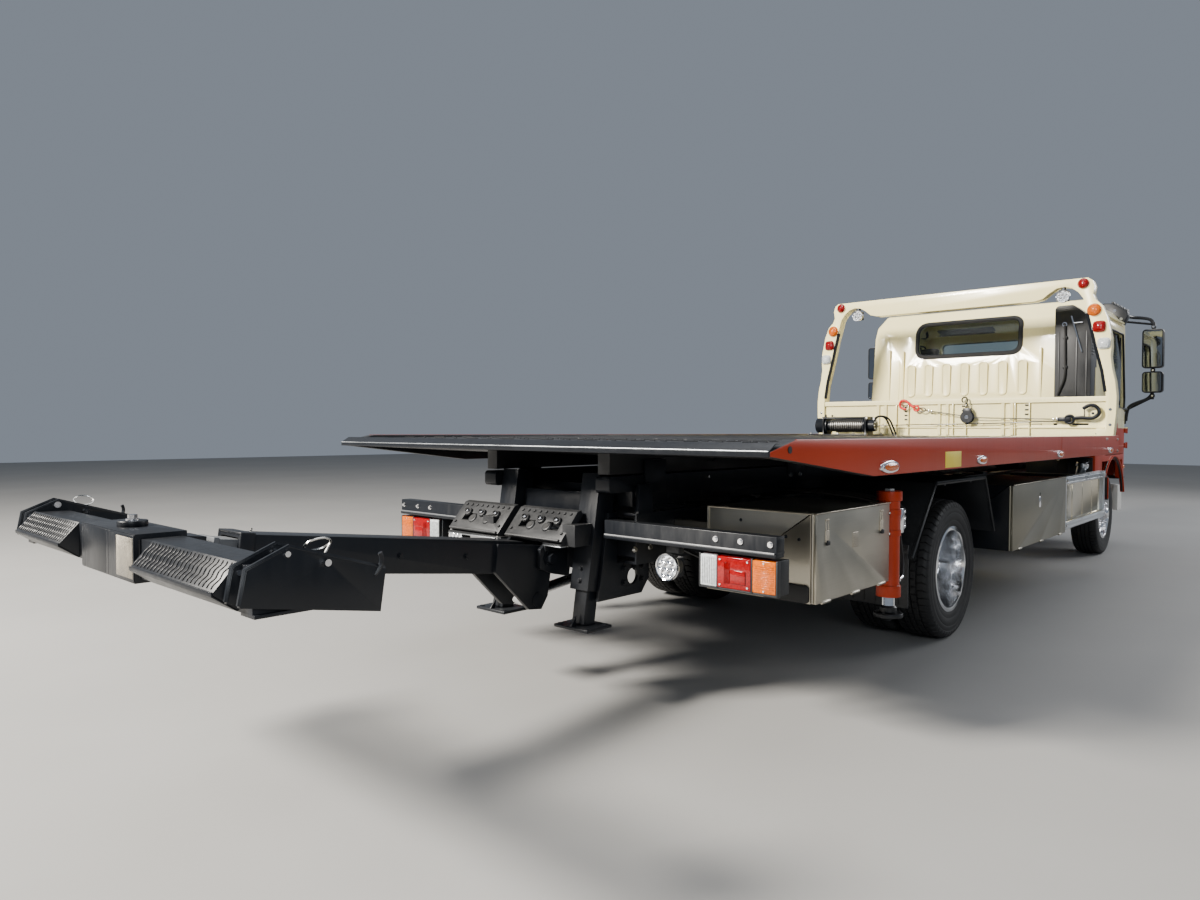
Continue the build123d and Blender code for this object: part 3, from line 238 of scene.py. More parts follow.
finishTable = {
    "creamPaint": dict(kind="paint", color=(0.93, 0.825, 0.43), rough=0.25, inputs={"Marks": 0.03, "Drift": 0.03},
                       bump=0.04, Coat_Weight=0.5, Coat_Roughness=0.08, dust=(0.16, 0.55, 1.5, (0.5, 0.46, 0.38, 1))),
    "orangePaint": dict(kind="paint", color=(0.37, 0.026, 0.0015), rough=0.36, inputs={"Marks": 0.03, "Drift": 0.05},
                        bump=0.04, Coat_Weight=0.06, Coat_Roughness=0.15, Specular_IOR_Level=0.22,
                        dust=(0.14, 0.35, 1.25, (0.26, 0.14, 0.09, 1))),
    "blackPaint": dict(kind="paint", color=(0.0055, 0.0068, 0.0095), rough=0.3, inputs={"Drift": 0.2, "Marks": 0.12},
                       bump=0.06, Specular_IOR_Level=0.3, dust=(0.09, 0.2, 1.0, (0.2, 0.19, 0.175, 1))),
    "deckPaint": dict(kind="rubbed", color=(0.008, 0.009, 0.011), rough=0.42, bump=0.12, Specular_IOR_Level=0.3,
                      inputs={"Amount": 0.15}, dust=(0.3, 0.9, 1.0, (0.16, 0.15, 0.14, 1))),
    "greySteel": dict(kind="rubbed", color=(0.075, 0.08, 0.088), rough=0.42, bump=0.1,
                      dust=(0.25, 0.2, 0.9, (0.24, 0.23, 0.2, 1))),
    "greasedIron": dict(kind="rubbed", color=(0.035, 0.036, 0.038), rough=0.55, bump=0.2,
                        dust=(0.45, 0.2, 0.8, (0.17, 0.155, 0.13, 1))),
    "brushedSteel": dict(kind="brushed", color=(0.44, 0.41, 0.34), rough=0.34, metallic=1.0, bump=0.02,
                         inputs={"Lines": 0.035, "Clouds": 0.07}, dust=(0.12, 0.35, 0.9, (0.33, 0.3, 0.25, 1))),
    "wornSteel": dict(kind="brushed", color=(0.42, 0.38, 0.31), rough=0.5, metallic=0.8, bump=0.2,
                      inputs={"Along": (30, 60, 60), "Lines": 0.3, "Clouds": 0.45}),
    # Brushed steel with its dust darkened: painted shade for the side boxes
    "shadedBrushedSteel": dict(kind="brushed", color=(0.25, 0.235, 0.185), rough=0.38, metallic=1.0, bump=0.02,
                      inputs={"Lines": 0.03, "Clouds": 0.06}, dust=(0.12, 0.35, 0.9, (0.2, 0.18, 0.15, 1))),
    "warmMirror": dict(kind="brushed", color=(0.7, 0.63, 0.46), rough=0.12, metallic=1.0,
                       inputs={"Along": (4, 4, 4), "Lines": 0.02, "Clouds": 0.05}),
    "polishedAlloy": dict(kind="brushed", color=(0.82, 0.83, 0.85), rough=0.14, metallic=1.0,
                          inputs={"Along": (8, 8, 8), "Lines": 0.015, "Clouds": 0.025},
                          dust=(0.18, 0.1, 0.9, (0.4, 0.38, 0.35, 1))),
    "satinAlloy": dict(kind="brushed", color=(0.5, 0.525, 0.55), rough=0.32, metallic=1.0, bump=0.04,
                       dust=(0.25, 0.3, 1.0, (0.36, 0.34, 0.3, 1))),
    "chrome": dict(kind="brushed", color=(0.88, 0.88, 0.9), rough=0.08, metallic=1.0,
                   inputs={"Along": (5, 5, 5), "Lines": 0.03, "Clouds": 0.04}),
    "brightWire": dict(kind="brushed", color=(0.15, 0.145, 0.135), rough=0.38, metallic=1.0,
                       inputs={"Along": (300, 300, 300), "Lines": 0.3, "Clouds": 0.1}, bump=0.2),
    "zincSteel": dict(kind="brushed", color=(0.62, 0.61, 0.58), rough=0.28, metallic=1.0,
                      inputs={"Along": (12, 12, 12), "Lines": 0.2, "Clouds": 0.25}),
    "exhaustSteel": dict(kind="brushed", color=(0.3, 0.27, 0.24), rough=0.5, metallic=0.9,
                         inputs={"Along": (3, 40, 40), "Lines": 0.2, "Clouds": 0.4}, bump=0.1, dust=(0.4, 0.2, 0.8)),
    "tyreRubber": dict(kind="moulded", color=(0.013, 0.013, 0.0135), rough=0.62, Specular_IOR_Level=0.35,
                       inputs={"Scale": 260.0}, bump=0.12, dust=(0.16, 0.0, 0.7, (0.16, 0.15, 0.13, 1))),
    "blackPlastic": dict(kind="moulded", color=(0.01, 0.011, 0.013), rough=0.42, bump=0.15, Specular_IOR_Level=0.35,
                         dust=(0.18, 0.2, 1.2, (0.2, 0.19, 0.17, 1))),
    "softRubber": dict(kind="moulded", color=(0.01, 0.01, 0.01), rough=0.5, inputs={"Scale": 700.0}, bump=0.08,
                       Specular_IOR_Level=0.35),
    "greyTrim": dict(kind="moulded", color=(0.13, 0.13, 0.135), rough=0.6, bump=0.2),
    "whitePaint": dict(kind="paint", color=(0.74, 0.72, 0.66), rough=0.3, bump=0.04, Coat_Weight=0.4,
                       dust=(0.32, 0.2, 0.9)),
    "redPaint": dict(kind="paint", color=(0.6, 0.012, 0.012), rough=0.3, bump=0.05, Coat_Weight=0.4),
    "yellowPaint": dict(kind="paint", color=(0.78, 0.6, 0.05), rough=0.42, inputs={"Drift": 0.15}),
}
finishes = {name: makeFinish(name, **spec) for name, spec in finishTable.items()}


def lensFinish(name, color, glow, ribs):
    # A clear or tinted lamp cover with moulded ribs
    material, tree, shader, place = newMaterial(name)
    cells = addNode(tree, "ShaderNodeTexVoronoi", {"Vector": place, "Scale": ribs}, distance="CHEBYCHEV").outputs[0]
    tint = mixColor(tree, ramp(tree, cells, 0.1, 0.75, 0.0, 0.55), (*color, 1), (*[c * 0.45 for c in color], 1))
    tree.links.new(tint, shader.inputs["Base Color"])
    addBump(tree, shader, cells, 0.35, 0.002)
    setInputs(shader, {"Roughness": 0.12, "Coat Weight": 0.35, "Coat Roughness": 0.05, "Emission Strength": glow,
                       "Emission Color": (*color, 1)})
    return material


lensTable = {
    "redLens": ((0.24, 0.0004, 0.0015), 0.06, 110.0), "amberLens": ((0.58, 0.115, 0.0006), 0.05, 110.0),
    "clearLens": ((0.62, 0.65, 0.66), 0.02, 90.0), "ledLens": ((0.82, 0.85, 0.88), 0.12, 75.0),
}
for lensName, lensSpec in lensTable.items():
    finishes[lensName] = lensFinish(lensName, *lensSpec)


def glassFinish(name, tint, rough):
    material, tree, shader, place = newMaterial(name)
    film = ramp(tree, noise(tree, place, 4.0, 7.0, 0.65), 0.35, 0.75, rough, rough + 0.12)
    tree.links.new(film, shader.inputs["Roughness"])
    setInputs(shader, {"Base Color": (*tint, 1), "Transmission Weight": 1.0, "IOR": 1.25, "Specular IOR Level": 0.8})
    return material


finishes["cabGlass"] = glassFinish("cabGlass", (0.72, 0.8, 0.79), 0.02)
finishes["mirrorGlass"] = makeFinish("mirrorGlass", "brushed", (0.3, 0.33, 0.36), 0.03, metallic=1.0,
                                     inputs={"Along": (2, 2, 2), "Lines": 0.02, "Clouds": 0.03})


def clothFinish(name, color, scale):
    material, tree, shader, place = newMaterial(name)
    across = addNode(tree, "ShaderNodeTexWave", {"Vector": place, "Scale": scale, "Distortion": 0.4},
                     bands_direction="Y")
    along = addNode(tree, "ShaderNodeTexWave", {"Vector": place, "Scale": scale, "Distortion": 0.4},
                    bands_direction="X")
    weave = mathNode(tree, "MAXIMUM", across.outputs[1], along.outputs[1])
    cloud = ramp(tree, noise(tree, place, 14.0, 6.0), 0.3, 0.7, 0.75, 1.2)
    shade = addNode(tree, "ShaderNodeHueSaturation", {"Value": cloud, "Color": (*color, 1)}).outputs[0]
    tree.links.new(mixColor(tree, mathNode(tree, "MULTIPLY", weave, 0.5), (*[c * 0.5 for c in color], 1), shade),
                   shader.inputs["Base Color"])
    addBump(tree, shader, weave, 0.4, 0.0008)
    setInputs(shader, {"Roughness": 0.9, "Sheen Weight": 0.35, "Sheen Roughness": 0.4})
    return material


finishes["seatCloth"] = clothFinish("seatCloth", (0.085, 0.088, 0.095), 260.0)
finishes["seatInsert"] = clothFinish("seatInsert", (0.16, 0.165, 0.175), 170.0)
print("finishes made:", len(finishes))


# Mesh helpers
def bevelSharp(bm, faces, width, segments=2, angle=32):
    # Rounds the sharp edges between the given faces
    if width <= 0:
        return
    limit = math.radians(angle)
    given = set(faces)
    edges = [e for e in bm.edges
             if e.is_manifold and all(f in given for f in e.link_faces) and e.calc_face_angle(0) > limit]
    if edges:
        bmesh.ops.bevel(bm, geom=edges, offset=width, offset_type="OFFSET", affect="EDGES", segments=segments,
                        profile=0.5, material=-1, clamp_overlap=True)


def boxIn(bm, low, high, soft=0.0, slot=0, segments=2, turn=None):
    before = set(bm.faces)
    size = [abs(b - a) for a, b in zip(low, high)]
    middle = Vector([(a + b) / 2 for a, b in zip(low, high)])
    matrix = Matrix.Translation(middle) @ (turn or Matrix()) @ Matrix.Diagonal((*size, 1))
    bmesh.ops.create_cube(bm, size=1, matrix=matrix)
    made = [f for f in bm.faces if f not in before]
    for face in made:
        face.material_index = slot
    bevelSharp(bm, made, soft, segments)


def rodIn(bm, start, end, radius, sides=24, slot=0, endRadius=None, soft=0.0):
    before = set(bm.faces)
    start, end = Vector(start), Vector(end)
    path = end - start
    matrix = Matrix.Translation((start + end) / 2) @ path.to_track_quat("Z", "Y").to_matrix().to_4x4()
    bmesh.ops.create_cone(bm, cap_ends=True, segments=sides, radius1=radius, depth=path.length, matrix=matrix,
                          radius2=radius if endRadius is None else endRadius)
    made = [f for f in bm.faces if f not in before]
    for face in made:
        face.material_index = slot
    bevelSharp(bm, made, soft, 2, 50)


def plateIn(bm, outline, low, high, plane="xz", soft=0.0, slot=0, segments=2):
    # A flat outline in one plane of the truck, from low to high across it
    order = {"xz": lambda a, b, c: (a, c, b), "yz": lambda a, b, c: (c, a, b), "xy": lambda a, b, c: (a, b, c)}[plane]
    low, high = sorted((low, high))
    before = set(bm.faces)
    corners = [bm.verts.new(order(a, b, low)) for a, b in outline]
    base = bm.faces.new(corners)
    grown = bmesh.ops.extrude_face_region(bm, geom=[base])["geom"]
    moved = [v for v in grown if isinstance(v, bmesh.types.BMVert)]
    bmesh.ops.translate(bm, verts=moved, vec=order(0, 0, high - low))
    made = [f for f in bm.faces if f not in before]
    bmesh.ops.recalc_face_normals(bm, faces=made)
    for face in made:
        face.material_index = slot
    bevelSharp(bm, made, soft, segments)


def latheIn(bm, profile, centre, axis="y", steps=48, slot=0):
    # Profile points are (radius, distance along the axis)
    way = {"x": Vector((1, 0, 0)), "y": Vector((0, 1, 0)), "z": Vector((0, 0, 1))}[axis]
    side = Vector((0, 0, 1)) if axis != "z" else Vector((1, 0, 0))
    before = set(bm.faces)
    centre = Vector(centre)
    ring = [bm.verts.new(centre + side * r + way * d) for r, d in profile]
    edges = [bm.edges.new(pair) for pair in zip(ring, ring[1:])]
    bmesh.ops.spin(bm, geom=ring + edges, cent=centre, axis=way, angle=2 * math.pi, steps=steps, use_merge=True)
    made = [f for f in bm.faces if f not in before]
    verts = list({v for f in made for v in f.verts})
    bmesh.ops.remove_doubles(bm, verts=verts, dist=0.00001)
    made = [f for f in bm.faces if f not in before]
    bmesh.ops.recalc_face_normals(bm, faces=made)
    for face in made:
        face.material_index = slot


def bandOf(inner, outer, low, high):
    # Profile of a flat band: its inner and outer radius, and where it begins and ends along the axis
    return [(inner, low), (outer, low), (outer, high), (inner, high)]


def hoseIn(bm, points, radius, slot=0, sides=8, kind="NURBS", steps=6):
    # A round hose, wire or bent tube along a smooth line
    curve = bpy.data.curves.new("hoseLine", "CURVE")
    curve.dimensions = "3D"
    line = curve.splines.new(kind)
    line.points.add(len(points) - 1)
    for spot, point in zip(line.points, points):
        spot.co = (*point, 1)
    line.order_u = 3
    line.use_endpoint_u = True
    curve.resolution_u = steps
    curve.bevel_depth = radius
    curve.bevel_resolution = max(1, sides // 4 - 1)
    curve.use_fill_caps = True
    holder = bpy.data.objects.new("hoseLine", curve)
    mesh = bpy.data.meshes.new_from_object(holder)
    before = set(bm.faces)
    bm.from_mesh(mesh)
    for face in bm.faces:
        if face not in before:
            face.material_index = slot
    bpy.data.objects.remove(holder)
    bpy.data.curves.remove(curve)
    bpy.data.meshes.remove(mesh)


def wireIn(bm, points, radius, slot=0, sides=8):
    # A wire, seam or trim of straight runs
    hoseIn(bm, points, radius, slot, sides, "POLY", 1)


def boltIn(bm, place, axis, size, slot=0, washer=True):
    # A hexagon head on a washer, standing out along the axis
    place, axis = Vector(place), Vector(axis).normalized()
    if washer:
        rodIn(bm, place, place + axis * size * 0.16, size * 0.72, 14, slot)
    rodIn(bm, place + axis * size * 0.12, place + axis * size * 0.62, size * 0.5, 6, slot)


def circlePoints(radius, count, shift=0.0, extra=0):
    # Even points on a circle round (0, 0), turned by a share of one step; one extra point closes it
    angles = [2 * math.pi * (i + shift) / count for i in range(count + extra)]
    return [(radius * math.cos(angle), radius * math.sin(angle)) for angle in angles]


def boltRingIn(bm, centre, axis, radius, count, size, slot=0, shift=0.0, washer=True):
    # Bolts spread evenly round a flange that faces along x, y or z
    for a, b in circlePoints(radius, count, shift):
        offset = (0, a, b) if axis[0] else (a, 0, b) if axis[1] else (a, b, 0)
        boltIn(bm, Vector(centre) + Vector(offset), axis, size, slot, washer)


def copyNode(node, width=0.004, segments=2, angle=28):
    # The solid's own shape with its edges rounded
    bm = bmesh.new()
    bm.from_mesh(nodes[node].data)
    bmesh.ops.remove_doubles(bm, verts=bm.verts, dist=0.00002)
    bmesh.ops.dissolve_limit(bm, angle_limit=math.radians(0.6), verts=bm.verts, edges=bm.edges,
                             use_dissolve_boundaries=False)
    bevelSharp(bm, list(bm.faces), width, segments, angle)
    return bm


def finishPiece(name, bm, body, materials, covers=(), smooth=35):
    mesh = bpy.data.meshes.new(name)
    bm.to_mesh(mesh)
    bm.free()
    piece = bpy.data.objects.new(name, mesh)
    bpy.context.scene.collection.objects.link(piece)
    for material in materials:
        mesh.materials.append(finishes[material])
    mesh.shade_smooth()
    mesh.set_sharp_from_angle(angle=math.radians(smooth))
    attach(piece, body)
    if covers:
        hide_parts(*covers)
    return piece


def paintNode(node, material):
    slots = nodes[node].data.materials
    slots.clear()
    slots.append(finishes[material])


# Finishes of the solids that stay as they are
nodeFinishes = {
    "chassis_frame": "blackPaint", "front_axle": "greasedIron", "rear_axle": "greasedIron",
    "driveline": "greasedIron",
    "exhaust": "exhaustSteel", "fuel_tank": "satinAlloy", "bumper": "whitePaint", "rear_mast": "blackPaint",
    "step_pads": "blackPlastic", "rear_feet": "blackPaint", "rear_beam": "blackPaint", "tail_lamps": "redLens",
    "side_panels": "satinAlloy", "mudguards": "blackPlastic", "jack_barrels": "orangePaint",
    "cab_shell": "creamPaint",
    "cab_lower": "orangePaint", "cab_glass": "cabGlass", "headlamps": "clearLens", "mirrors": "blackPlastic",
    "snorkel": "blackPlastic", "seats": "seatCloth", "dashboard": "greyTrim", "deck_floor": "deckPaint",
    "deck_rails": "orangePaint", "cab_guard": "creamPaint", "deck_lamps": "amberLens", "winch": "blackPaint",
    "slide_rod": "chrome", "tilt_subframe": "blackPaint", "lift_barrels": "blackPaint", "lift_rods": "chrome",
    "boom_outer": "blackPaint", "boom_inner": "greySteel", "crossbar": "blackPaint", "underlift_barrel": "blackPaint",
    "underlift_rod": "chrome", "rear_toolbox": "brushedSteel", "rear_box_door": "brushedSteel",
    "side_toolboxes": "brushedSteel",
}
for sideName in ("left", "right"):
    nodeFinishes.update({
        f"{sideName}_side_box_door": "brushedSteel",
        f"{sideName}_door": "creamPaint", f"{sideName}_door_glass": "cabGlass", f"{sideName}_jack_foot": "chrome",
        f"{sideName}_knuckle": "greasedIron", f"front_{sideName}_tyre": "tyreRubber",
        f"front_{sideName}_rim": "polishedAlloy",
        f"rear_{sideName}_tyres": "tyreRubber", f"rear_{sideName}_rims": "polishedAlloy",
    })
for nodeName, finishName in nodeFinishes.items():
    if nodeName in nodes:
        paintNode(nodeName, finishName)
print("solids painted")


# Tyres, rims and hubs
wheelSpec = {
    "radius": 0.3835, "axleZ": 0.3835, "frontX": 4.2, "frontY": 0.83, "twinY": 0.7535, "twinHalf": 0.1225,
    "ribs": [(-0.0795, -0.0535), (-0.045, -0.0185), (-0.0105, 0.0105), (0.0185, 0.045), (0.0535, 0.0795)],
    "groove": 0.0115, "wall": 0.0012, "driveBlocks": 56, "steerBlocks": 62,
}


def tyreColumns(driven):
    # Distance across, radius, offset of the pattern in blocks, cut depth, sideways zigzag
    outer = wheelSpec["radius"]
    columns = []
    low = outer - wheelSpec["groove"]
    ribs = wheelSpec["ribs"]
    for index, (a, b) in enumerate(ribs):
        crown = 0.0032 * (abs(index - 2) / 2) ** 2
        shift = (0.0, 0.5, 0.25, 0.0, 0.5)[index] if driven else 0.0
        cut = (0.01 if index != 2 else 0.005) if driven else (0.0 if 0 < index < 4 else 0.0045)
        zig = 0.0 if driven else 0.0016
        if index > 0:
            columns.append((a - wheelSpec["wall"], low, shift, 0.0, zig))
        columns.append((a, outer - crown, shift, cut, zig))
        columns.append((b, outer - crown, shift, cut, zig))
        if index < 4:
            columns.append((b + wheelSpec["wall"], low, shift, 0.0, zig))
    wall = [(0.0965, 0.3715, 0.007), (0.1035, 0.362, 0.007), (0.1052, 0.35, 0.003), (0.1058, 0.342, 0.0),
            (0.1048, 0.3405, 0.0), (0.1072, 0.328, 0.0), (0.108, 0.314, 0.0), (0.1072, 0.3125, 0.0),
            (0.108, 0.3105, 0.0), (0.1072, 0.29, 0.0), (0.105, 0.272, 0.0), (0.104, 0.27, 0.0), (0.1046, 0.268, 0.0),
            (0.101, 0.256, 0.0), (0.1018, 0.25, 0.0), (0.099, 0.244, 0.0), (0.096, 0.237, 0.0), (0.093, 0.23, 0.0),
            (0.089, 0.226, 0.0),]
    left = [(-y, r, 0.0, cut, 0.0) for y, r, cut in reversed(wall)]
    right = [(y, r, 0.5 if driven else 0.0, cut, 0.0) for y, r, cut in wall]
    return left + columns + right


def tyreIn(bm, x, y, driven):
    columns = tyreColumns(driven)
    blocks = wheelSpec["driveBlocks"] if driven else wheelSpec["steerBlocks"]
    pitch = 2 * math.pi / blocks
    rows = [(0.0, False), (0.8, False), (0.845, True), (0.955, True)]
    rings = []
    for block in range(blocks):
        for index, (share, low) in enumerate(rows):
            ring = []
            for across, radius, shift, cut, zig in columns:
                lean = 0.25 * across / 0.08 if driven and abs(across) < 0.08 else 0.0
                angle = (block + share + shift + lean) * pitch
                r = radius - (cut if low else 0.0)
                side = across + (zig if index in (0, 1) else -zig)
                ring.append(bm.verts.new((x + r * math.cos(angle), y + side,
                                          wheelSpec["axleZ"] + r * math.sin(angle))))
            rings.append(ring)
    count = len(columns)
    for ring, following in zip(rings, rings[1:] + rings[:1]):
        for i in range(count):
            j = (i + 1) % count
            bm.faces.new((ring[i], following[i], following[j], ring[j]))


def makeTyres():
    for side, sign in bothSides:
        bm = bmesh.new()
        tyreIn(bm, wheelSpec["frontX"], sign * wheelSpec["frontY"], False)
        bmesh.ops.recalc_face_normals(bm, faces=bm.faces)
        finishPiece(f"front{side.title()}Tyre", bm, f"front_{side}_wheel", ["tyreRubber"],
                    [f"front_{side}_tyre"], 38)
        bm = bmesh.new()
        for step in (1, -1):
            tyreIn(bm, 0.0, sign * (wheelSpec["twinY"] + step * wheelSpec["twinHalf"]), True)
        bmesh.ops.recalc_face_normals(bm, faces=bm.faces)
        finishPiece(f"rear{side.title()}Tyres", bm, f"rear_{side}_wheels", ["tyreRubber"],
                    [f"rear_{side}_tyres"], 38)


def nutRing(bm, x, y, way, count, pitch, size, slot, turn=0.0):
    for index in range(count):
        angle = 2 * math.pi * (index + turn) / count
        spot = (x + pitch * math.cos(angle), y, wheelSpec["axleZ"] + pitch * math.sin(angle))
        rodIn(bm, spot, (spot[0], y + way * size * 0.25, spot[2]), size * 0.78, 16, slot)
        rodIn(bm, spot, (spot[0], y + way * size * 0.95, spot[2]), size * 0.52, 6, slot)
        rodIn(bm, (spot[0], y + way * size * 0.95, spot[2]), (spot[0], y + way * size * 1.3, spot[2]),
              size * 0.27, 10, slot)


def makeRims():
    hubZ = wheelSpec["axleZ"]
    for side, sign in bothSides:
        # Steered wheel: hub with its cap stands out of the disc
        bm = copyNode(f"front_{side}_rim", 0.0016, 2, 24)
        y = sign * wheelSpec["frontY"]
        nutRing(bm, wheelSpec["frontX"], y + sign * 0.079, sign, 6, 0.103, 0.028, 1)
        hub = [(0.0, 0.137), (0.04, 0.135), (0.05, 0.128), (0.053, 0.106)]
        latheIn(bm, [(r, sign * d) for r, d in hub], (wheelSpec["frontX"], y, hubZ), "y", 36, 1)
        rodIn(bm, (wheelSpec["frontX"] + 0.226, y + sign * 0.06, hubZ),
              (wheelSpec["frontX"] + 0.2, y + sign * 0.098, hubZ), 0.0045, 10, 2)
        finishPiece(f"front{side.title()}Rim", bm, f"front_{side}_wheel",
                    ["polishedAlloy", "chrome", "softRubber"], [f"front_{side}_rim"], 32)
        # Twin wheels: deep dish, hub cap in the middle
        bm = copyNode(f"rear_{side}_rims", 0.0016, 2, 24)
        y = sign * wheelSpec["twinY"]
        nutRing(bm, 0.0, y + sign * 0.016, sign, 6, 0.111, 0.028, 1)
        hub = [(0.0, 0.15), (0.034, 0.148), (0.046, 0.141), (0.05, 0.117)]
        latheIn(bm, [(r, sign * d) for r, d in hub], (0.0, y, hubZ), "y", 36, 1)
        boltRingIn(bm, (0, y + sign * 0.117, hubZ), (0, sign, 0), 0.05544, 8, 0.011, 1, 0.5, False)
        # The long valve of the inner wheel and the short one of the outer wheel
        hoseIn(bm, [(0.19, y - sign * 0.06, hubZ), (0.187, y + sign * 0.05, hubZ), (0.178, y + sign * 0.14, hubZ)],
               0.004, 1)
        hoseIn(bm, [(-0.203, y + sign * 0.06, hubZ), (-0.19, y + sign * 0.1, hubZ), (-0.178, y + sign * 0.16, hubZ)],
               0.004, 1)
        finishPiece(f"rear{side.title()}Rims", bm, f"rear_{side}_wheels",
                    ["polishedAlloy", "chrome", "softRubber"], [f"rear_{side}_rims"], 32)


makeTyres()
makeRims()
print("wheels dressed")


# Boom, crossbar, mast and what hangs at the rear
boomSpec = {"hinge": (-2.27, 0.61), "rise": 6.75}


def alongBoom(distance, up, across):
    # A point by its distance from the boom's hinge, height over its middle line and side
    angle = math.radians(boomSpec["rise"])
    x0, z0 = boomSpec["hinge"]
    return (x0 - distance * math.cos(angle) + up * math.sin(angle), across,
            z0 + distance * math.sin(angle) + up * math.cos(angle))


def boomBox(bm, d0, d1, y0, y1, u0, u1, soft=0.002, slot=0):
    outline = [(p[0], p[2]) for p in (alongBoom(d0, u0, 0), alongBoom(d1, u0, 0), alongBoom(d1, u1, 0),
                                      alongBoom(d0, u1, 0))]
    plateIn(bm, outline, y0, y1, "xz", soft, slot)


def makeBoom():
    bm = copyNode("boom_outer", 0.006, 3, 30)
    # Collar at the mouth, wear pads with their screws and the rod of the pin
    boomBox(bm, 1.235, 1.283, -0.081, 0.081, 0.06, 0.068, 0.003)
    boomBox(bm, 1.235, 1.283, -0.081, 0.081, -0.066, -0.058, 0.003)
    for sign in (1, -1):
        boomBox(bm, 1.235, 1.283, sign * 0.074, sign * 0.081, -0.064, 0.066, 0.003)
        for d in (0.4, 0.7, 1.0):
            boltIn(bm, alongBoom(d, 0.0, sign * 0.075), (0, sign, 0), 0.018)
        rodIn(bm, (boomSpec["hinge"][0], sign * 0.094, boomSpec["hinge"][1]),
              (boomSpec["hinge"][0], sign * 0.101, boomSpec["hinge"][1]), 0.036, 24, 0, None, 0.002)
        rodIn(bm, alongBoom(0.02, -0.175, sign * 0.094), alongBoom(0.02, -0.175, sign * 0.099), 0.028, 20)
    # Grease nipples on top
    for d in (0.16, 1.2):
        rodIn(bm, alongBoom(d, 0.061, 0.03), alongBoom(d, 0.075, 0.03), 0.004, 8, 1)
    finishPiece("boomOuterDressed", bm, "boom", ["blackPaint", "zincSteel"], ["boom_outer"])
    bm = copyNode("boom_inner", 0.005, 3, 30)
    # Welded end plate where the tongue begins
    boomBox(bm, 1.335, 1.352, -0.059, 0.059, -0.049, 0.049, 0.002)
    finishPiece("boomInnerDressed", bm, "boom_slide", ["greySteel"], ["boom_inner"])


def makeCrossbar():
    bm = copyNode("crossbar", 0.004, 2, 30)
    pinX = 3.7
    x = -3.81
    # Wave tread on both ramps
    foot, nose = Vector((-3.914, 0, 0.796)), Vector((-3.861, 0, 0.856))
    run = nose - foot
    outward = Vector((-run.z, 0, run.x)).normalized()
    for sign in (1, -1):
        for column in range(22):
            y = sign * (0.315 + column * 0.0218)
            points = []
            for step in range(9):
                share = 0.07 + 0.86 * step / 8
                wave = 0.005 * math.sin(step / 8 * 4 * math.pi)
                spot = foot + run * share + outward * 0.0012
                points.append((spot.x, y + wave, spot.z))
            hoseIn(bm, points, 0.0014, 0, 6, "NURBS", 3)
        # Lower face of the ramp carries the same plate
        plateIn(bm, [(-3.863, 0.748), (-3.918, 0.787), (-3.918, 0.797), (-3.914, 0.797), (-3.914, 0.791),
                     (-3.861, 0.752)], sign * 0.3, sign * 0.79, "xz", 0.0008)
    # Sleeve edge welds and the seam down its middle
    for y in (0.215, -0.215):
        edge = y + math.copysign(0.002, y)
        wireIn(bm, [(x - 0.053, edge, 0.749), (x - 0.053, edge, 0.851)], 0.004)
    for low, high in ((-0.214, -0.02), (-0.02, 0.0), (0.0, 0.214)):
        boxIn(bm, (x - 0.0685, low, 0.738), (x - 0.066, high, 0.862), 0.001)
    # Bare metal patch on the sleeve's rear face, right half
    boxIn(bm, (x - 0.0694, -0.208, 0.746), (x - 0.068, -0.085, 0.854), 0.0006, 1)
    # Pin head on top
    rodIn(bm, (x, 0, 0.864), (x, 0, 0.882), 0.04, 28, 0, None, 0.003)
    boltIn(bm, (x, 0, 0.882), (0, 0, 1), 0.026, 2)
    # Lynch pins with their rings on the bracket plates
    for sign in (1, -1):
        for px, pz, y in ((-3.868, 0.846, 0.8), (-3.792, 0.884, 0.862), (-3.792, 0.884, 0.8)):
            rodIn(bm, (px, sign * (y - 0.006), pz - 0.01), (px, sign * (y + 0.018), pz - 0.01), 0.0065, 14, 2)
            rodIn(bm, (px, sign * (y - 0.01), pz - 0.01), (px, sign * (y - 0.002), pz - 0.01), 0.011, 14, 2)
        rodIn(bm, (-pinX, sign * 0.792, 0.845), (-pinX, sign * 0.884, 0.845), 0.008, 16, 2)
        ring = [(-pinX + 0.032 * a, sign * (0.835 + 0.02 * b), 0.882 + 0.016 * b) for a,
                b in circlePoints(1, 14, 0.0, 1)]
        hoseIn(bm, ring, 0.0026, 3, 8, "NURBS", 3)
        hoseIn(bm, [(-3.668, sign * 0.835, 0.882), (-3.68, sign * 0.84, 0.866), (-pinX, sign * 0.85, 0.848)], 0.0026,
               3)
        # Hook at the lower inner end of the bracket
        hoseIn(bm, [(-3.575, sign * 0.87, 0.8), (-3.56, sign * 0.872, 0.815), (-3.555, sign * 0.874, 0.84),
                    (-3.562, sign * 0.874, 0.852)], 0.006)
        # Bottom shelf between the two plates
        boxIn(bm, (-3.86, sign * 0.811, 0.742), (-3.57, sign * 0.863, 0.75), 0.001)
        for y in (0.806, 0.868):
            rim = [(-3.893, 0.776), (-3.88, 0.848), (-3.785, 0.888), (-3.548, 0.813)]
            wireIn(bm, [(a, sign * y, b) for a, b in rim], 0.0068)
    finishPiece("crossbarDressed", bm, "crossbar",
                ["blackPaint", "wornSteel", "chrome", "zincSteel"], ["crossbar"])


def mastSpot(share):
    top, foot = (-2.1, 0.957), (-2.2, 0.33)
    return top[0] + (foot[0] - top[0]) * share, top[1] + (foot[1] - top[1]) * share


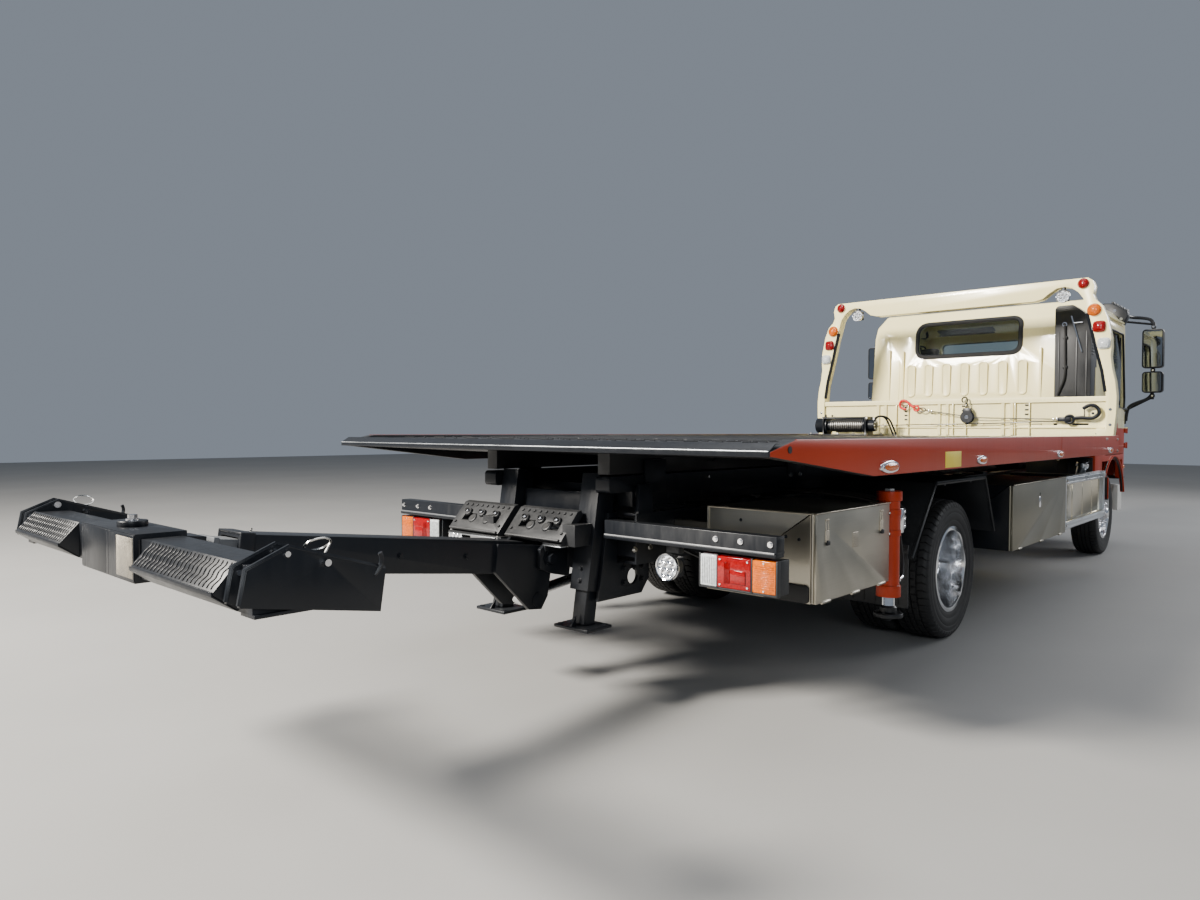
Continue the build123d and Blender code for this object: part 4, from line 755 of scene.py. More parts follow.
def makeMast():
    bm = copyNode("rear_mast", 0.007, 3, 30)
    for sign in (1, -1):
        y = sign * 0.25
        # Cap on each tube and set screws that hold the sliding leg
        x, z = mastSpot(0.0)
        rodIn(bm, (x, y, z - 0.004), (x, y, z + 0.005), 0.046, 4, 0, None, 0.003)
        for share in (0.62, 0.7):
            x, z = mastSpot(share)
            boltIn(bm, (x - 0.049, y, z + 0.008), (-1, 0, 0.16), 0.016)
        # Bolt rows on the side plates
        for px, pz in ((-1.9, 0.56), (-1.95, 0.56), (-2.02, 0.56), (-1.9, 0.5), (-2.02, 0.5)):
            boltIn(bm, (px, sign * 0.318, pz), (0, sign, 0), 0.022)
        for pz in (0.62, 0.69, 0.76):
            boltIn(bm, (-2.085, sign * 0.302, pz), (0, sign, 0), 0.02)
        # Boom hinge pin keeper
        boltIn(bm, (-2.27, sign * 0.122, 0.61), (0, sign, 0), 0.045)
        boxIn(bm, (-2.3, sign * 0.122, 0.64), (-2.24, sign * 0.13, 0.662), 0.002)
    # Cross plate's folded edge
    plateIn(bm, [(-2.123, 0.798), (-2.111, 0.88), (-2.107, 0.88), (-2.119, 0.798)], -0.2, 0.2, "xz", 0.001)
    wireIn(bm, [(-2.117, -0.2, 0.801), (-2.117, 0.2, 0.801)], 0.006)
    finishPiece("rearMastDressed", bm, "chassis", ["blackPaint", "zincSteel"], ["rear_mast"])
    bm = copyNode("rear_feet", 0.006, 3, 30)
    for sign in (1, -1):
        x, z = mastSpot(1.0)
        # Gussets between leg and sole
        for step in (1, -1):
            plateIn(bm, [(x - 0.01 + step * 0.036, z + 0.014), (x - 0.01 + step * 0.066, z + 0.014),
                         (x - 0.005 + step * 0.036, z + 0.055)], sign * 0.25 - 0.004, sign * 0.25 + 0.004, "xz",
                         0.001)
        for dx in (-0.055, 0.055):
            for dy in (-0.075, 0.075):
                rodIn(bm, (x + dx, sign * 0.25 + dy, z + 0.0142), (x + dx, sign * 0.25 + dy, z + 0.0165), 0.011, 14)
    finishPiece("rearFeetDressed", bm, "stabiliser", ["blackPaint"], ["rear_feet"])


def makePads():
    # Two moulded pads with sockets, screws and grip dimples
    bm = copyNode("step_pads", 0.01, 3, 32)
    low, high = Vector((-2.315, 0, 0.692)), Vector((-2.216, 0, 0.806))
    along = high - low
    out = Vector((-along.z, 0, along.x)).normalized()
    for y0, y1 in ((0.15, 0.495), (-0.235, 0.11)):
        wide = y1 - y0
        for share in (0.22, 0.5, 0.78):
            spot = low + along * 0.62 + Vector((0, y0 + wide * share, 0)) + out * 0.001
            rodIn(bm, spot, spot + out * 0.01, 0.021, 20, 0, 0.017, 0.002)
            rodIn(bm, spot + out * 0.009, spot + out * 0.019, 0.0115, 6, 1)
            rodIn(bm, spot + out * 0.018, spot + out * 0.024, 0.007, 12, 1)
        # Raised frame between the sockets and ribs along the top edge
        for share in (0.36, 0.64):
            spot = low + along * 0.42 + Vector((0, y0 + wide * share, 0))
            rodIn(bm, spot - out * 0.004, spot + out * 0.006, 0.026, 20, 0, 0.02, 0.002)
            rodIn(bm, spot + out * 0.005, spot + out * 0.0075, 0.012, 16, 2)
        for index in range(9):
            y = y0 + wide * (0.08 + 0.84 * index / 8)
            spot = low + along * 0.9 + Vector((0, y, 0))
            rodIn(bm, spot - out * 0.004, spot + out * 0.005, 0.009, 14, 0, 0.006)
        for index in range(2):
            y = y0 + wide * (0.06 + 0.88 * index)
            spot = low + along * 0.25 + Vector((0, y, 0))
            rodIn(bm, spot - out * 0.003, spot + out * 0.006, 0.008, 12, 0, 0.006)
        wireIn(bm, [tuple(low + Vector((-0.001, y0 + 0.012, 0.004))),
                    tuple(low + Vector((-0.001, y1 - 0.012, 0.004)))], 0.006)
    # Bright strip below the pads
    for y0, y1 in ((-0.235, -0.13), (0.13, 0.495)):
        boxIn(bm, (-2.3185, y0, 0.668), (-2.235, y1, 0.6722), 0.001, 3)
    finishPiece("stepPadsDressed", bm, "chassis",
                ["blackPlastic", "chrome", "softRubber", "satinAlloy"], ["step_pads"], 40)


makeBoom()
makeCrossbar()
makeMast()
makePads()
print("boom, crossbar, mast and pads dressed")


# Bed floor, side rails, guard, winch and their lamps
bedSpec = {
    "front": 2.89, "floor": 1.1, "side": 1.25, "guardX": 2.77,
    "lampX": [-1.524, -0.411, 1.111, 2.635], "lampZ": 1.004,
}


def makeDeck():
    bm = copyNode("deck_floor", 0.002, 2, 30)
    z = bedSpec["floor"]
    # Long pressed ribs of the floor and the seams between its sheets
    for y in [-1.02 + 0.17 * i for i in range(13)]:
        if abs(y) > 0.02:
            plateIn(bm, [(y - 0.016, z - 0.0005), (y + 0.016, z - 0.0005), (y + 0.01, z + 0.0045),
                         (y - 0.01, z + 0.0045)], -1.62, 2.27 if y > 0.5 else 2.72, "yz", 0.0012)
    for x in (-0.55, 0.55, 1.65):
        boxIn(bm, (x - 0.004, -1.19, z - 0.002), (x + 0.004, 1.19, z + 0.0012))
    # Anti-slip bars over the tail
    for row in range(5):
        x = -1.72 - row * 0.095
        for column in range(18):
            y = -1.11 + column * 0.1305
            turn = Matrix.Rotation(math.radians(32 if (row + column) % 2 else -32), 4, "Z")
            boxIn(bm, (x - 0.004, y - 0.028, z - 0.001), (x + 0.004, y + 0.028, z + 0.0045), 0.0015, 0, 1, turn)
    # Wear strip along the tail edge in black, a thin bright alloy line along its fold as a painted highlight, and its
    # countersunk screws
    plateIn(bm, [(-2.4225, 1.06), (-2.4185, 1.06), (-2.4185, 1.0765), (-2.379, 1.1005), (-2.352, 1.1005),
                 (-2.352, 1.1035), (-2.381, 1.1035), (-2.4225, 1.0785)], -1.246, 1.246, "xz", 0.0006, 2)
    wireIn(bm, [(-2.4215, -1.244, 1.0785), (-2.4215, 1.244, 1.0785)], 0.0022, 1)
    for i in range(13):
        y = -1.14 + 0.19 * i
        rodIn(bm, (-2.366, y, 1.103), (-2.366, y, 1.1048), 0.008, 16, 2, 0.006)
    # Welded gussets where the long beams meet the cross members below
    for i in range(10):
        x = -1.473 + i * 0.47
        for sign in (1, -1):
            outline = [(sign * 0.379, 1.028), (sign * 0.379, 1.0), (sign * 0.44, 1.028)]
            for step in (-0.022, 0.022):
                plateIn(bm, outline, x + step - 0.003, x + step + 0.003, "yz")
    finishPiece("deckFloorDressed", bm, "bed", ["deckPaint", "satinAlloy", "blackPaint"],
                ["deck_floor"])


def ovalIn(bm, x, y, z, long, high, depth, way, slot, dome=0.0, steps=40):
    # A flat oval standing out sideways, with a domed face
    ring = circlePoints(1, steps)
    levels = [(1.0, 0.0), (1.0, depth * 0.6), (0.95, depth * 0.88), (0.82, depth), (0.5, depth + dome * 0.75),
              (0.2, depth + dome)]
    rings = []
    for scale, out in levels:
        rings.append([bm.verts.new((x + a * long * scale, y + way * out, z + b * high * scale)) for a, b in ring])
    made = []
    for low, high2 in zip(rings, rings[1:]):
        for i in range(steps):
            j = (i + 1) % steps
            made.append(bm.faces.new((low[i], low[j], high2[j], high2[i])))
    made.append(bm.faces.new(rings[-1]))
    made.append(bm.faces.new(list(reversed(rings[0]))))
    bmesh.ops.recalc_face_normals(bm, faces=made)
    for face in made:
        face.material_index = slot


def makeRails():
    bm = copyNode("deck_rails", 0.003, 2, 30)
    # Only the outer faces are orange
    for face in bm.faces:
        middle = face.calc_center_median()
        if abs(face.normal.y) < 0.6 or abs(middle.y) < bedSpec["side"] - 0.02:
            face.material_index = 2
    for sign in (1, -1):
        y = sign * bedSpec["side"]
        # Weld seam, the bare yellow plate on the right, the rear plug and the bolts of the front end
        boxIn(bm, (1.16, y - sign * 0.001, 0.974), (1.163, y + sign * 0.0008, 1.112))
        if sign < 0:
            boxIn(bm, (-0.905, y - 0.0012, 0.98), (-0.7, y + 0.001, 1.052), 0.0003, 1)
        rodIn(bm, (-2.3, y - sign * 0.004, 1.082), (-2.3, y + sign * 0.0025, 1.082), 0.012, 18, 2)
        for px, pz in ((2.9, 1.085), (2.9, 0.995), (2.5, 1.09)):
            boltIn(bm, (px, y, pz), (0, sign, 0), 0.016, 3)
        # Pale line of the folded top edge
        wireIn(bm, [(-2.255, y - sign * 0.003, 1.1125), (2.955, y - sign * 0.003, 1.1125)], 0.0032)
    finishPiece("deckRailsDressed", bm, "bed",
                ["orangePaint", "yellowPaint", "blackPlastic", "zincSteel"], ["deck_rails"])


def ledLampIn(bm, x, y, z, radius, shell, rim, lens):
    # A round work lamp that looks to the rear, with seven light cells
    latheIn(bm, [(0.0, 0.06), (radius * 0.55, 0.058), (radius * 0.8, 0.04), (radius * 0.94, 0.01), (radius, -0.004),
                 (radius * 0.98, -0.01), (radius * 0.9, -0.01), (radius * 0.88, -0.002), (0.0, -0.001)], (x, y, z),
                 "x", 44, shell)
    latheIn(bm, [(radius * 0.99, 0.004), (radius * 1.01, -0.004), (radius * 0.96, -0.012), (radius * 0.89, -0.01),
                 (radius * 0.89, -0.004)], (x, y, z), "x", 44, rim)
    latheIn(bm, [(radius * 0.89, -0.0035), (0.0, -0.003)], (x, y, z), "x", 44, lens)
    cells = [(0.0, 0.0)] + circlePoints(0.56, 6)
    for a, b in cells:
        spot = Vector((x - 0.002, y + a * radius, z + b * radius))
        latheIn(bm, [(radius * 0.265, -0.006), (radius * 0.21, -0.0035), (radius * 0.08, -0.001), (0.0, -0.001)],
                spot, "x", 20, rim)
        latheIn(bm, [(radius * 0.1, -0.001), (radius * 0.08, -0.006), (0.0, -0.0085)], spot, "x", 14, lens)
    for index in range(7):
        boxIn(bm, (x + 0.014 + index * 0.006, y - radius * 0.7, z - radius * 0.72),
              (x + 0.016 + index * 0.006, y + radius * 0.7, z + radius * 0.72), 0.001, shell)


def studLampIn(bm, x, y, z, radius, rim, lens, soft, square=False):
    # A lamp let into the guard: rubber ring, ribbed domed cover, bright heart
    steps = 40

    def spot(radius2, out, angle):
        c, s = math.cos(angle), math.sin(angle)
        if square:
            power = 0.55
            c, s = math.copysign(abs(c) ** power, c), math.copysign(abs(s) ** power, s)
            radius2 *= 0.93
        return (x - out, y + radius2 * c, z + radius2 * s)

    levels = [(1.06, 0.0, soft), (1.05, 0.01, soft), (0.98, 0.014, rim), (0.92, 0.014, lens), (0.88, 0.021, lens),
              (0.7, 0.027, lens), (0.66, 0.025, lens), (0.48, 0.031, lens), (0.44, 0.029, lens), (0.22, 0.034, lens)]
    rings = [[bm.verts.new(spot(radius * r, out, 2 * math.pi * i / steps)) for i in range(steps)] for r,
             out, _ in levels]
    made = []
    for index, (low, high) in enumerate(zip(rings, rings[1:])):
        for i in range(steps):
            j = (i + 1) % steps
            face = bm.faces.new((low[i], low[j], high[j], high[i]))
            face.material_index = levels[index + 1][2]
            made.append(face)
    cap = bm.faces.new(rings[-1])
    cap.material_index = lens
    back = bm.faces.new(list(reversed(rings[0])))
    back.material_index = soft
    bmesh.ops.recalc_face_normals(bm, faces=made + [cap, back])


def makeDeckLamps():
    # 0 black shell, 1 bright rim, 2 red, 3 amber, 4 clear, 5 clear with cells
    bm = bmesh.new()
    workY = 0.872
    x = bedSpec["guardX"]
    for sign in (1, -1):
        studLampIn(bm, x, sign * 1.023, 2.321, 0.04, 2, 2, 1)
        studLampIn(bm, x, sign * 1.102, 2.106, 0.048, 3, 3, 1)
        studLampIn(bm, x, sign * 1.139, 1.972, 0.047, 2, 2, 1, True)
        studLampIn(bm, x, sign * 1.172, 1.838, 0.046, 4, 4, 1, True)
        ledLampIn(bm, x + 0.03, sign * workY, 2.24, 0.052, 0, 1, 5)
        # Bracket that hangs the work lamp
        boxIn(bm, (x + 0.038, sign * workY - 0.016, 2.288), (x + 0.062, sign * workY + 0.016, 2.316), 0.003)
        boltIn(bm, (x + 0.038, sign * workY, 2.3), (-1, 0, 0), 0.014, 1)
        for index, lampX in enumerate(bedSpec["lampX"]):
            y = sign * bedSpec["side"]
            big = 1.0 if index == 0 else 0.8
            ovalIn(bm, lampX, y - sign * 0.001, bedSpec["lampZ"], 0.09 * big, 0.025 * (0.4 + 0.6 * big),
                   0.012, sign, 1)
            ovalIn(bm, lampX + 0.006 * big, y + sign * 0.007, bedSpec["lampZ"], 0.06 * big,
                   0.016 * (0.4 + 0.6 * big), 0.01, sign, 3, 0.004)
            rodIn(bm, (lampX - 0.07 * big, y + sign * 0.01, bedSpec["lampZ"]),
                  (lampX - 0.07 * big, y + sign * 0.0135, bedSpec["lampZ"]), 0.006 * big, 12, 1)
    finishPiece("deckLampsDressed", bm, "bed",
                ["blackPlastic", "chrome", "redLens", "amberLens", "clearLens", "ledLens"], ["deck_lamps"], 40)


def hookIn(bm, place, size, slot, turn, latchSlot):
    # A forged hook lying against the headboard: eye, shank, bowl and spring latch

    def spot(a, b, out=0.0):
        c, s = math.cos(turn), math.sin(turn)
        return (place[0] - out, place[1] + (a * c - b * s) * size, place[2] + (a * s + b * c) * size)

    eye = [spot(a, b) for a, b in circlePoints(0.14, 12, 0.0, 1)]
    hoseIn(bm, eye, size * 0.052, slot, 12, "NURBS", 3)
    bowl = [(0.16, 0.0), (0.34, 0.02), (0.52, 0.1), (0.72, 0.16), (0.93, 0.08), (0.97, -0.12), (0.86, -0.29),
            (0.66, -0.33), (0.5, -0.25)]
    hoseIn(bm, [spot(a, b) for a, b in bowl], size * 0.066, slot, 12, "NURBS", 5)
    hoseIn(bm, [spot(0.46, 0.06, 0.006), spot(0.52, -0.08, 0.008), spot(0.545, -0.24, 0.006)],
           size * 0.022, latchSlot)


def ropeIn(bm, points, radius, slot):
    # A wire rope: six strands wound round a core
    hoseIn(bm, points, radius * 0.72, slot, 8, "NURBS", 4)
    path = [Vector(p) for p in points]
    lengths = [(b - a).length for a, b in zip(path, path[1:])]
    total = sum(lengths)
    turns = total / (radius * 16)
    samples = max(12, int(turns * 8))
    for strand in range(6):
        winding = []
        for k in range(samples + 1):
            far = total * k / samples
            index = 0
            while index < len(lengths) - 1 and far > lengths[index]:
                far -= lengths[index]
                index += 1
            way = (path[index + 1] - path[index]).normalized()
            middle = path[index] + way * far
            side = way.cross(Vector((0, 0, 1)))
            side = side.normalized() if side.length > 0.01 else Vector((0, 1, 0))
            up = side.cross(way)
            angle = 2 * math.pi * (turns * k / samples + strand / 6)
            winding.append(tuple(middle + (side * math.cos(angle) + up * math.sin(angle)) * radius * 0.62))
        wireIn(bm, winding, radius * 0.4, slot, 4)


def makeGuard():
    # 0 cream, 1 black, 2 red, 3 bright wire, 4 chrome, 5 orange
    bm = copyNode("cab_guard", 0.005, 3, 30)
    x = bedSpec["guardX"]
    # Black strip on the inside of each post, painted shade of the post's inner side face, and the folded front lips
    for sign in (1, -1):
        inner = [(1.19, 1.46), (1.166, 1.62), (1.129, 1.77), (1.088, 1.95), (1.056, 2.085)]
        wireIn(bm, [(x + 0.012, sign * (y - 0.002), z) for y, z in inner], 0.017, 1)
        # Bolted feet and the orange block outside the right one
        for px, pz in ((2.8, 1.13), (2.855, 1.13)):
            boltIn(bm, (px, sign * 1.13, pz), (0, -sign, 0), 0.018, 4)
        for pz in (1.2, 1.32):
            boltIn(bm, (x, sign * 1.222, pz), (-1, 0, 0), 0.016, 4)
        boxIn(bm, (2.9, sign * 1.185, 1.112), (2.96, sign * 1.243, 1.215), 0.004, 5)
        rodIn(bm, (x, sign * 1.105, 1.29), (x - 0.006, sign * 1.105, 1.29), 0.01, 18, 1)
    # Upright pairs with their ladder rungs on the headboard
    for y in (0.425, -0.08, -0.586):
        for step in (-0.055, 0.055):
            boxIn(bm, (x + 0.01, y + step - 0.004, 1.114), (x + 0.03, y + step + 0.004, 1.392), 0.001)
        for row in range(4):
            z = 1.245 + row * 0.038
            boxIn(bm, (x + 0.022, y - 0.05, z), (x + 0.031, y - 0.018, z + 0.012), 0.001, 1)
    # Bar along the headboard below the slots, plugs in the top tube
    wireIn(bm, [(x + 0.022, -1.18, 1.176), (x + 0.022, 1.18, 1.176)], 0.006)
    for y in (-0.9, -0.3, 0.3, 0.9):
        rodIn(bm, (x + 0.04, y, 1.4245), (x + 0.04, y, 1.4275), 0.012, 16)
    # Red hook with its shackle, made fast on the left
    hookIn(bm, (x - 0.016, 0.285, 1.35), 0.165, 2, 0.42, 3)
    ring = [(x - 0.014, 0.232 + 0.032 * a, 1.336 + 0.018 * b) for a, b in circlePoints(1, 12, 0.0, 1)]
    hoseIn(bm, ring, 0.0045, 3)
    # Steel hook on the right
    hookIn(bm, (x - 0.018, -0.945, 1.243), 0.225, 1, math.pi - 0.26, 3)
    boxIn(bm, (x - 0.028, -0.955, 1.226), (x - 0.006, -0.862, 1.262), 0.004, 1)
    # Snatch block on the middle uprights: cheeks, sheave and hook
    for out in (0.012, 0.042):
        latheIn(bm, [(0.0, -0.0035), (0.05, -0.0035), (0.055, 0.0), (0.05, 0.0035), (0.0, 0.0035)],
                (x - out, -0.16, 1.268), "x", 36, 1)
        plateIn(bm, [(-0.2, 1.28), (-0.12, 1.28), (-0.13, 1.345), (-0.19, 1.345)], x - out - 0.003, x - out + 0.003,
                "yz", 0.001, 1)
    latheIn(bm, [(0.0, -0.011), (0.046, -0.011), (0.038, 0.0), (0.046, 0.011), (0.0, 0.011)],
            (x - 0.027, -0.16, 1.268), "x", 36, 4)
    boltIn(bm, (x - 0.045, -0.16, 1.268), (-1, 0, 0), 0.022, 4)
    hookIn(bm, (x - 0.027, -0.16, 1.352), 0.095, 1, 1.35, 3)
    # Wire ropes along the headboard
    ropeIn(bm, [(x - 0.012, 0.205, 1.331), (x - 0.012, 0.05, 1.305), (x - 0.02, -0.11, 1.28)], 0.0046, 3)
    ropeIn(bm, [(x - 0.02, -0.21, 1.262), (x - 0.01, -0.57, 1.252), (x - 0.014, -0.87, 1.245)], 0.0046, 3)
    ropeIn(bm, [(x - 0.014, 1.02, 1.196), (x - 0.008, 0.75, 1.196), (x - 0.012, 0.25, 1.202),
                (x - 0.01, -0.36, 1.212), (x - 0.012, -0.865, 1.232)], 0.0046, 3)
    for y, z in ((0.175, 1.326), (0.15, 1.322), (-0.855, 1.246), (-0.83, 1.246)):
        boxIn(bm, (x - 0.022, y - 0.007, z - 0.009), (x - 0.003, y + 0.007, z + 0.009), 0.002, 4)
    finishPiece("cabGuardDressed", bm, "bed",
                ["creamPaint", "blackPaint", "redPaint", "brightWire", "chrome", "orangePaint"], ["cab_guard"])


def makeWinch():
    # 0 black, 1 rope, 2 zinc, 3 rubber
    bm = copyNode("winch", 0.003, 2, 30)
    drumX, drumZ = 2.52, 1.195
    # Rope on the drum, in two layers, and its free end towards the headboard
    coils, pitch = 17, 0.0185
    for layer, radius, count in ((0, 0.0535, coils), (1, 0.0615, coils - 3)):
        for index in range(count):
            y = 0.668 + layer * 0.012 + index * pitch
            ring = [(drumX + a, y + pitch * i / 16, drumZ + b) for i,
                    (a, b) in enumerate(circlePoints(radius, 16, 0.0, 1))]
            hoseIn(bm, ring, 0.0058, 1, 8, "NURBS", 2)
    ropeIn(bm, [(2.53, 0.86, 1.257), (2.62, 0.93, 1.232), (2.7, 1.0, 1.205), (2.756, 1.02, 1.196)], 0.005, 1)
    # Motor ribs, gear case bolts, flange bolts, oil hoses
    for index in range(7):
        y = 0.566 + index * 0.01
        rodIn(bm, (drumX, y, drumZ), (drumX, y + 0.004, drumZ), 0.0555, 32)
    boltRingIn(bm, (drumX, 1.122, drumZ), (0, 1, 0), 0.056, 8, 0.013, 2)
    boltRingIn(bm, (drumX, 0.56, drumZ), (0, -1, 0), 0.038, 8, 0.011, 2)
    for px, py in ((2.35, 0.58), (2.35, 1.11), (2.68, 0.58), (2.68, 1.11), (2.35, 0.845), (2.68, 0.845)):
        boltIn(bm, (px, py, 1.114), (0, 0, 1), 0.024, 2)
    for px in (2.45, 2.59):
        for y in (0.62, 1.042):
            boltIn(bm, (px, y, 1.262), (0, 1 if y > 0.9 else -1, 0), 0.018, 2)
    for step in (0.0, 0.028):
        hoseIn(bm, [(2.545 - step, 0.578, 1.245), (2.548 - step, 0.555, 1.285), (2.6, 0.5 - step, 1.27),
                    (2.69, 0.49 - step, 1.16), (2.74, 0.49 - step, 1.112)], 0.0085, 3, 10)
        rodIn(bm, (2.545 - step, 0.58, 1.235), (2.545 - step, 0.574, 1.262), 0.011, 6, 2)
        rodIn(bm, (2.74, 0.49 - step, 1.1), (2.74, 0.49 - step, 1.124), 0.012, 6, 2)
    # Clutch handle
    hoseIn(bm, [(2.575, 1.085, 1.215), (2.59, 1.085, 1.262), (2.592, 1.085, 1.282)], 0.005, 2)
    rodIn(bm, (2.592, 1.085, 1.276), (2.592, 1.085, 1.3), 0.011, 16, 0, 0.009)
    finishPiece("winchDressed", bm, "bed", ["blackPaint", "brightWire", "zincSteel", "softRubber"],
                ["winch"])


makeDeck()
makeRails()
makeDeckLamps()
makeGuard()
makeWinch()
print("bed, guard and winch dressed")


# Cab, doors, mirrors, bumper and what shows through the glass
cabSpec = {"front": 5.215, "belt": 1.18}


def rearWallX(z):
    # Outer face of the rear wall at a height
    if z < 1.45:
        return 3.42
    if z < 2.08:
        return 3.42 + 0.04 * (z - 1.45) / 0.63
    return 3.46 + 0.11 * (z - 2.08) / 0.23


def screenX(z):
    return 5.15 - (z - 1.33) * 0.35 / 0.895


def skinY(x, z):
    upright = 1.0 - max(0.0, z - 1.24) * 0.025 / 0.95
    along = 1.0 - max(0.0, x - 4.56) * 0.055 / 0.45
    return min(upright, along)


def roundedPath(corners, radius, steps=5):
    # Flat corners with each one rounded, as a closed list
    path = []
    count = len(corners)
    for i in range(count):
        before, here, after = (Vector(corners[(i + k - 1) % count]) for k in range(3))
        inward, outward = (before - here).normalized(), (after - here).normalized()
        half = inward.angle(outward) / 2
        reach = min(radius / math.tan(half), (before - here).length * 0.45, (after - here).length * 0.45)
        start, end = here + inward * reach, here + outward * reach
        for k in range(steps + 1):
            t = k / steps
            path.append(tuple(start * (1 - t) ** 2 + here * 2 * t * (1 - t) + end * t ** 2))
    return path + [path[0]]


def sealIn(bm, path, radius, slot):
    wireIn(bm, path, radius, slot, 10)


def rearWindowPath(grow):
    low, high, right, left = 1.872 - grow, 2.185 + grow, -0.38 - grow, 0.545 + grow
    flat = roundedPath([(right, low), (left, low), (left, high), (right, high)], 0.085 + grow, 8)
    return [(rearWallX(z) - 0.001, y, z) for y, z in flat]


def screenPath(grow):
    flat = roundedPath([(-0.822 - grow, 1.418 - grow), (0.822 + grow, 1.418 - grow), (0.8 + grow, 2.122 + grow),
                        (-0.8 - grow, 2.122 + grow)], 0.065 + grow, 6)
    return [(screenX(z) + 0.002, y, z) for y, z in flat]


def makeCabShell():
    # 0 cream, 1 black rubber, 2 black plastic, 3 chrome
    bm = copyNode("cab_shell", 0.0035, 3, 28)
    for grow, radius in ((0.002, 0.017), (0.018, 0.01)):
        sealIn(bm, rearWindowPath(grow), radius, 1)
    for grow, radius in ((0.004, 0.015), (0.02, 0.008)):
        sealIn(bm, screenPath(grow), radius, 1)
    # Scuttle strip below the windscreen with its air slots and washer jets
    for i in range(26):
        y = -0.75 + i * 0.06
        boxIn(bm, (5.128, y - 0.022, 1.352), (5.1475, y + 0.022, 1.358), 0.001, 2)
    for y in (-0.45, 0.05, 0.45):
        rodIn(bm, (5.138, y, 1.372), (5.152, y, 1.374), 0.01, 12, 2, 0.006)
    # Two wipers, parked along the foot of the glass
    for y in (-0.62, 0.02):
        pivot = (screenX(1.385) + 0.012, y, 1.385)
        rodIn(bm, (pivot[0] - 0.02, y, 1.383), (pivot[0] + 0.01, y, 1.387), 0.017, 18, 2, 0.013)
        hoseIn(bm, [pivot, (screenX(1.42) + 0.03, y + 0.18, 1.42), (screenX(1.455) + 0.026, y + 0.42, 1.455)],
               0.0055, 2)
        hoseIn(bm, [(screenX(1.44) + 0.014, y + 0.12, 1.44), (screenX(1.452) + 0.017, y + 0.42, 1.452),
                    (screenX(1.47) + 0.014, y + 0.7, 1.47)], 0.0055, 1)
    # Long pressings along the roof
    for y in (-0.57, -0.19, 0.19, 0.57):
        plateIn(bm, [(y - 0.07, 2.3085), (y + 0.07, 2.3085), (y + 0.058, 2.315), (y - 0.058, 2.315)], 3.72,
                4.48, "yz", 0.002)
    # Drain holes, jack plugs and the seam of the rear wall
    for y in (-0.7, 0.72):
        wireIn(bm, [(3.4185, y, 1.22), (3.4185, y, 1.44), (rearWallX(1.85) - 0.0015, y, 1.85)], 0.0035)
    for y, z in ((-0.3, 1.35), (0.55, 1.35), (0.12, 1.3)):
        rodIn(bm, (3.42, y, z), (3.4165, y, z), 0.016, 20, 2)
    # Handles inside
    for side in (1, -1):
        hoseIn(bm, [(4.55, side * 0.905, 2.03), (4.6, side * 0.88, 1.98), (4.66, side * 0.88, 1.88),
                    (4.7, side * 0.9, 1.82)], 0.012, 2, 10)
    # Bracket groups on the roof's edges that carry the mirror arms
    wedge = [(0.8, 2.412), (0.88, 2.405), (1.006, 2.322), (1.01, 2.262), (0.958, 2.158), (0.925, 2.165),
             (0.84, 2.24), (0.795, 2.3)]
    for side in (-1, 1):
        plateIn(bm, [(side * y, z) for y, z in wedge], 4.69, 4.8, "yz", 0.01, 2)
        for index in range(5):
            share = index / 4
            y, z = 0.88 + 0.115 * share, 2.412 - 0.085 * share
            boxIn(bm, (4.7, side * y - 0.01, z - 0.012), (4.79, side * y + 0.01, z + 0.01), 0.003, 2)
        rodIn(bm, (4.745, side * 0.8, 2.375), (4.745, side * 0.77, 2.385), 0.026, 20, 2, None, 0.004)
        rodIn(bm, (4.8, side * 0.93, 2.29), (4.83, side * 0.93, 2.29), 0.03, 20, 2, 0.024)
        for y, z in ((0.955, 2.245), (0.9, 2.33)):
            boltIn(bm, (4.69, side * y, z), (-1, 0, 0), 0.02, 3)
    finishPiece("cabShellDressed", bm, "cab", ["creamPaint", "softRubber", "blackPlastic", "chrome"],
                ["cab_shell"])


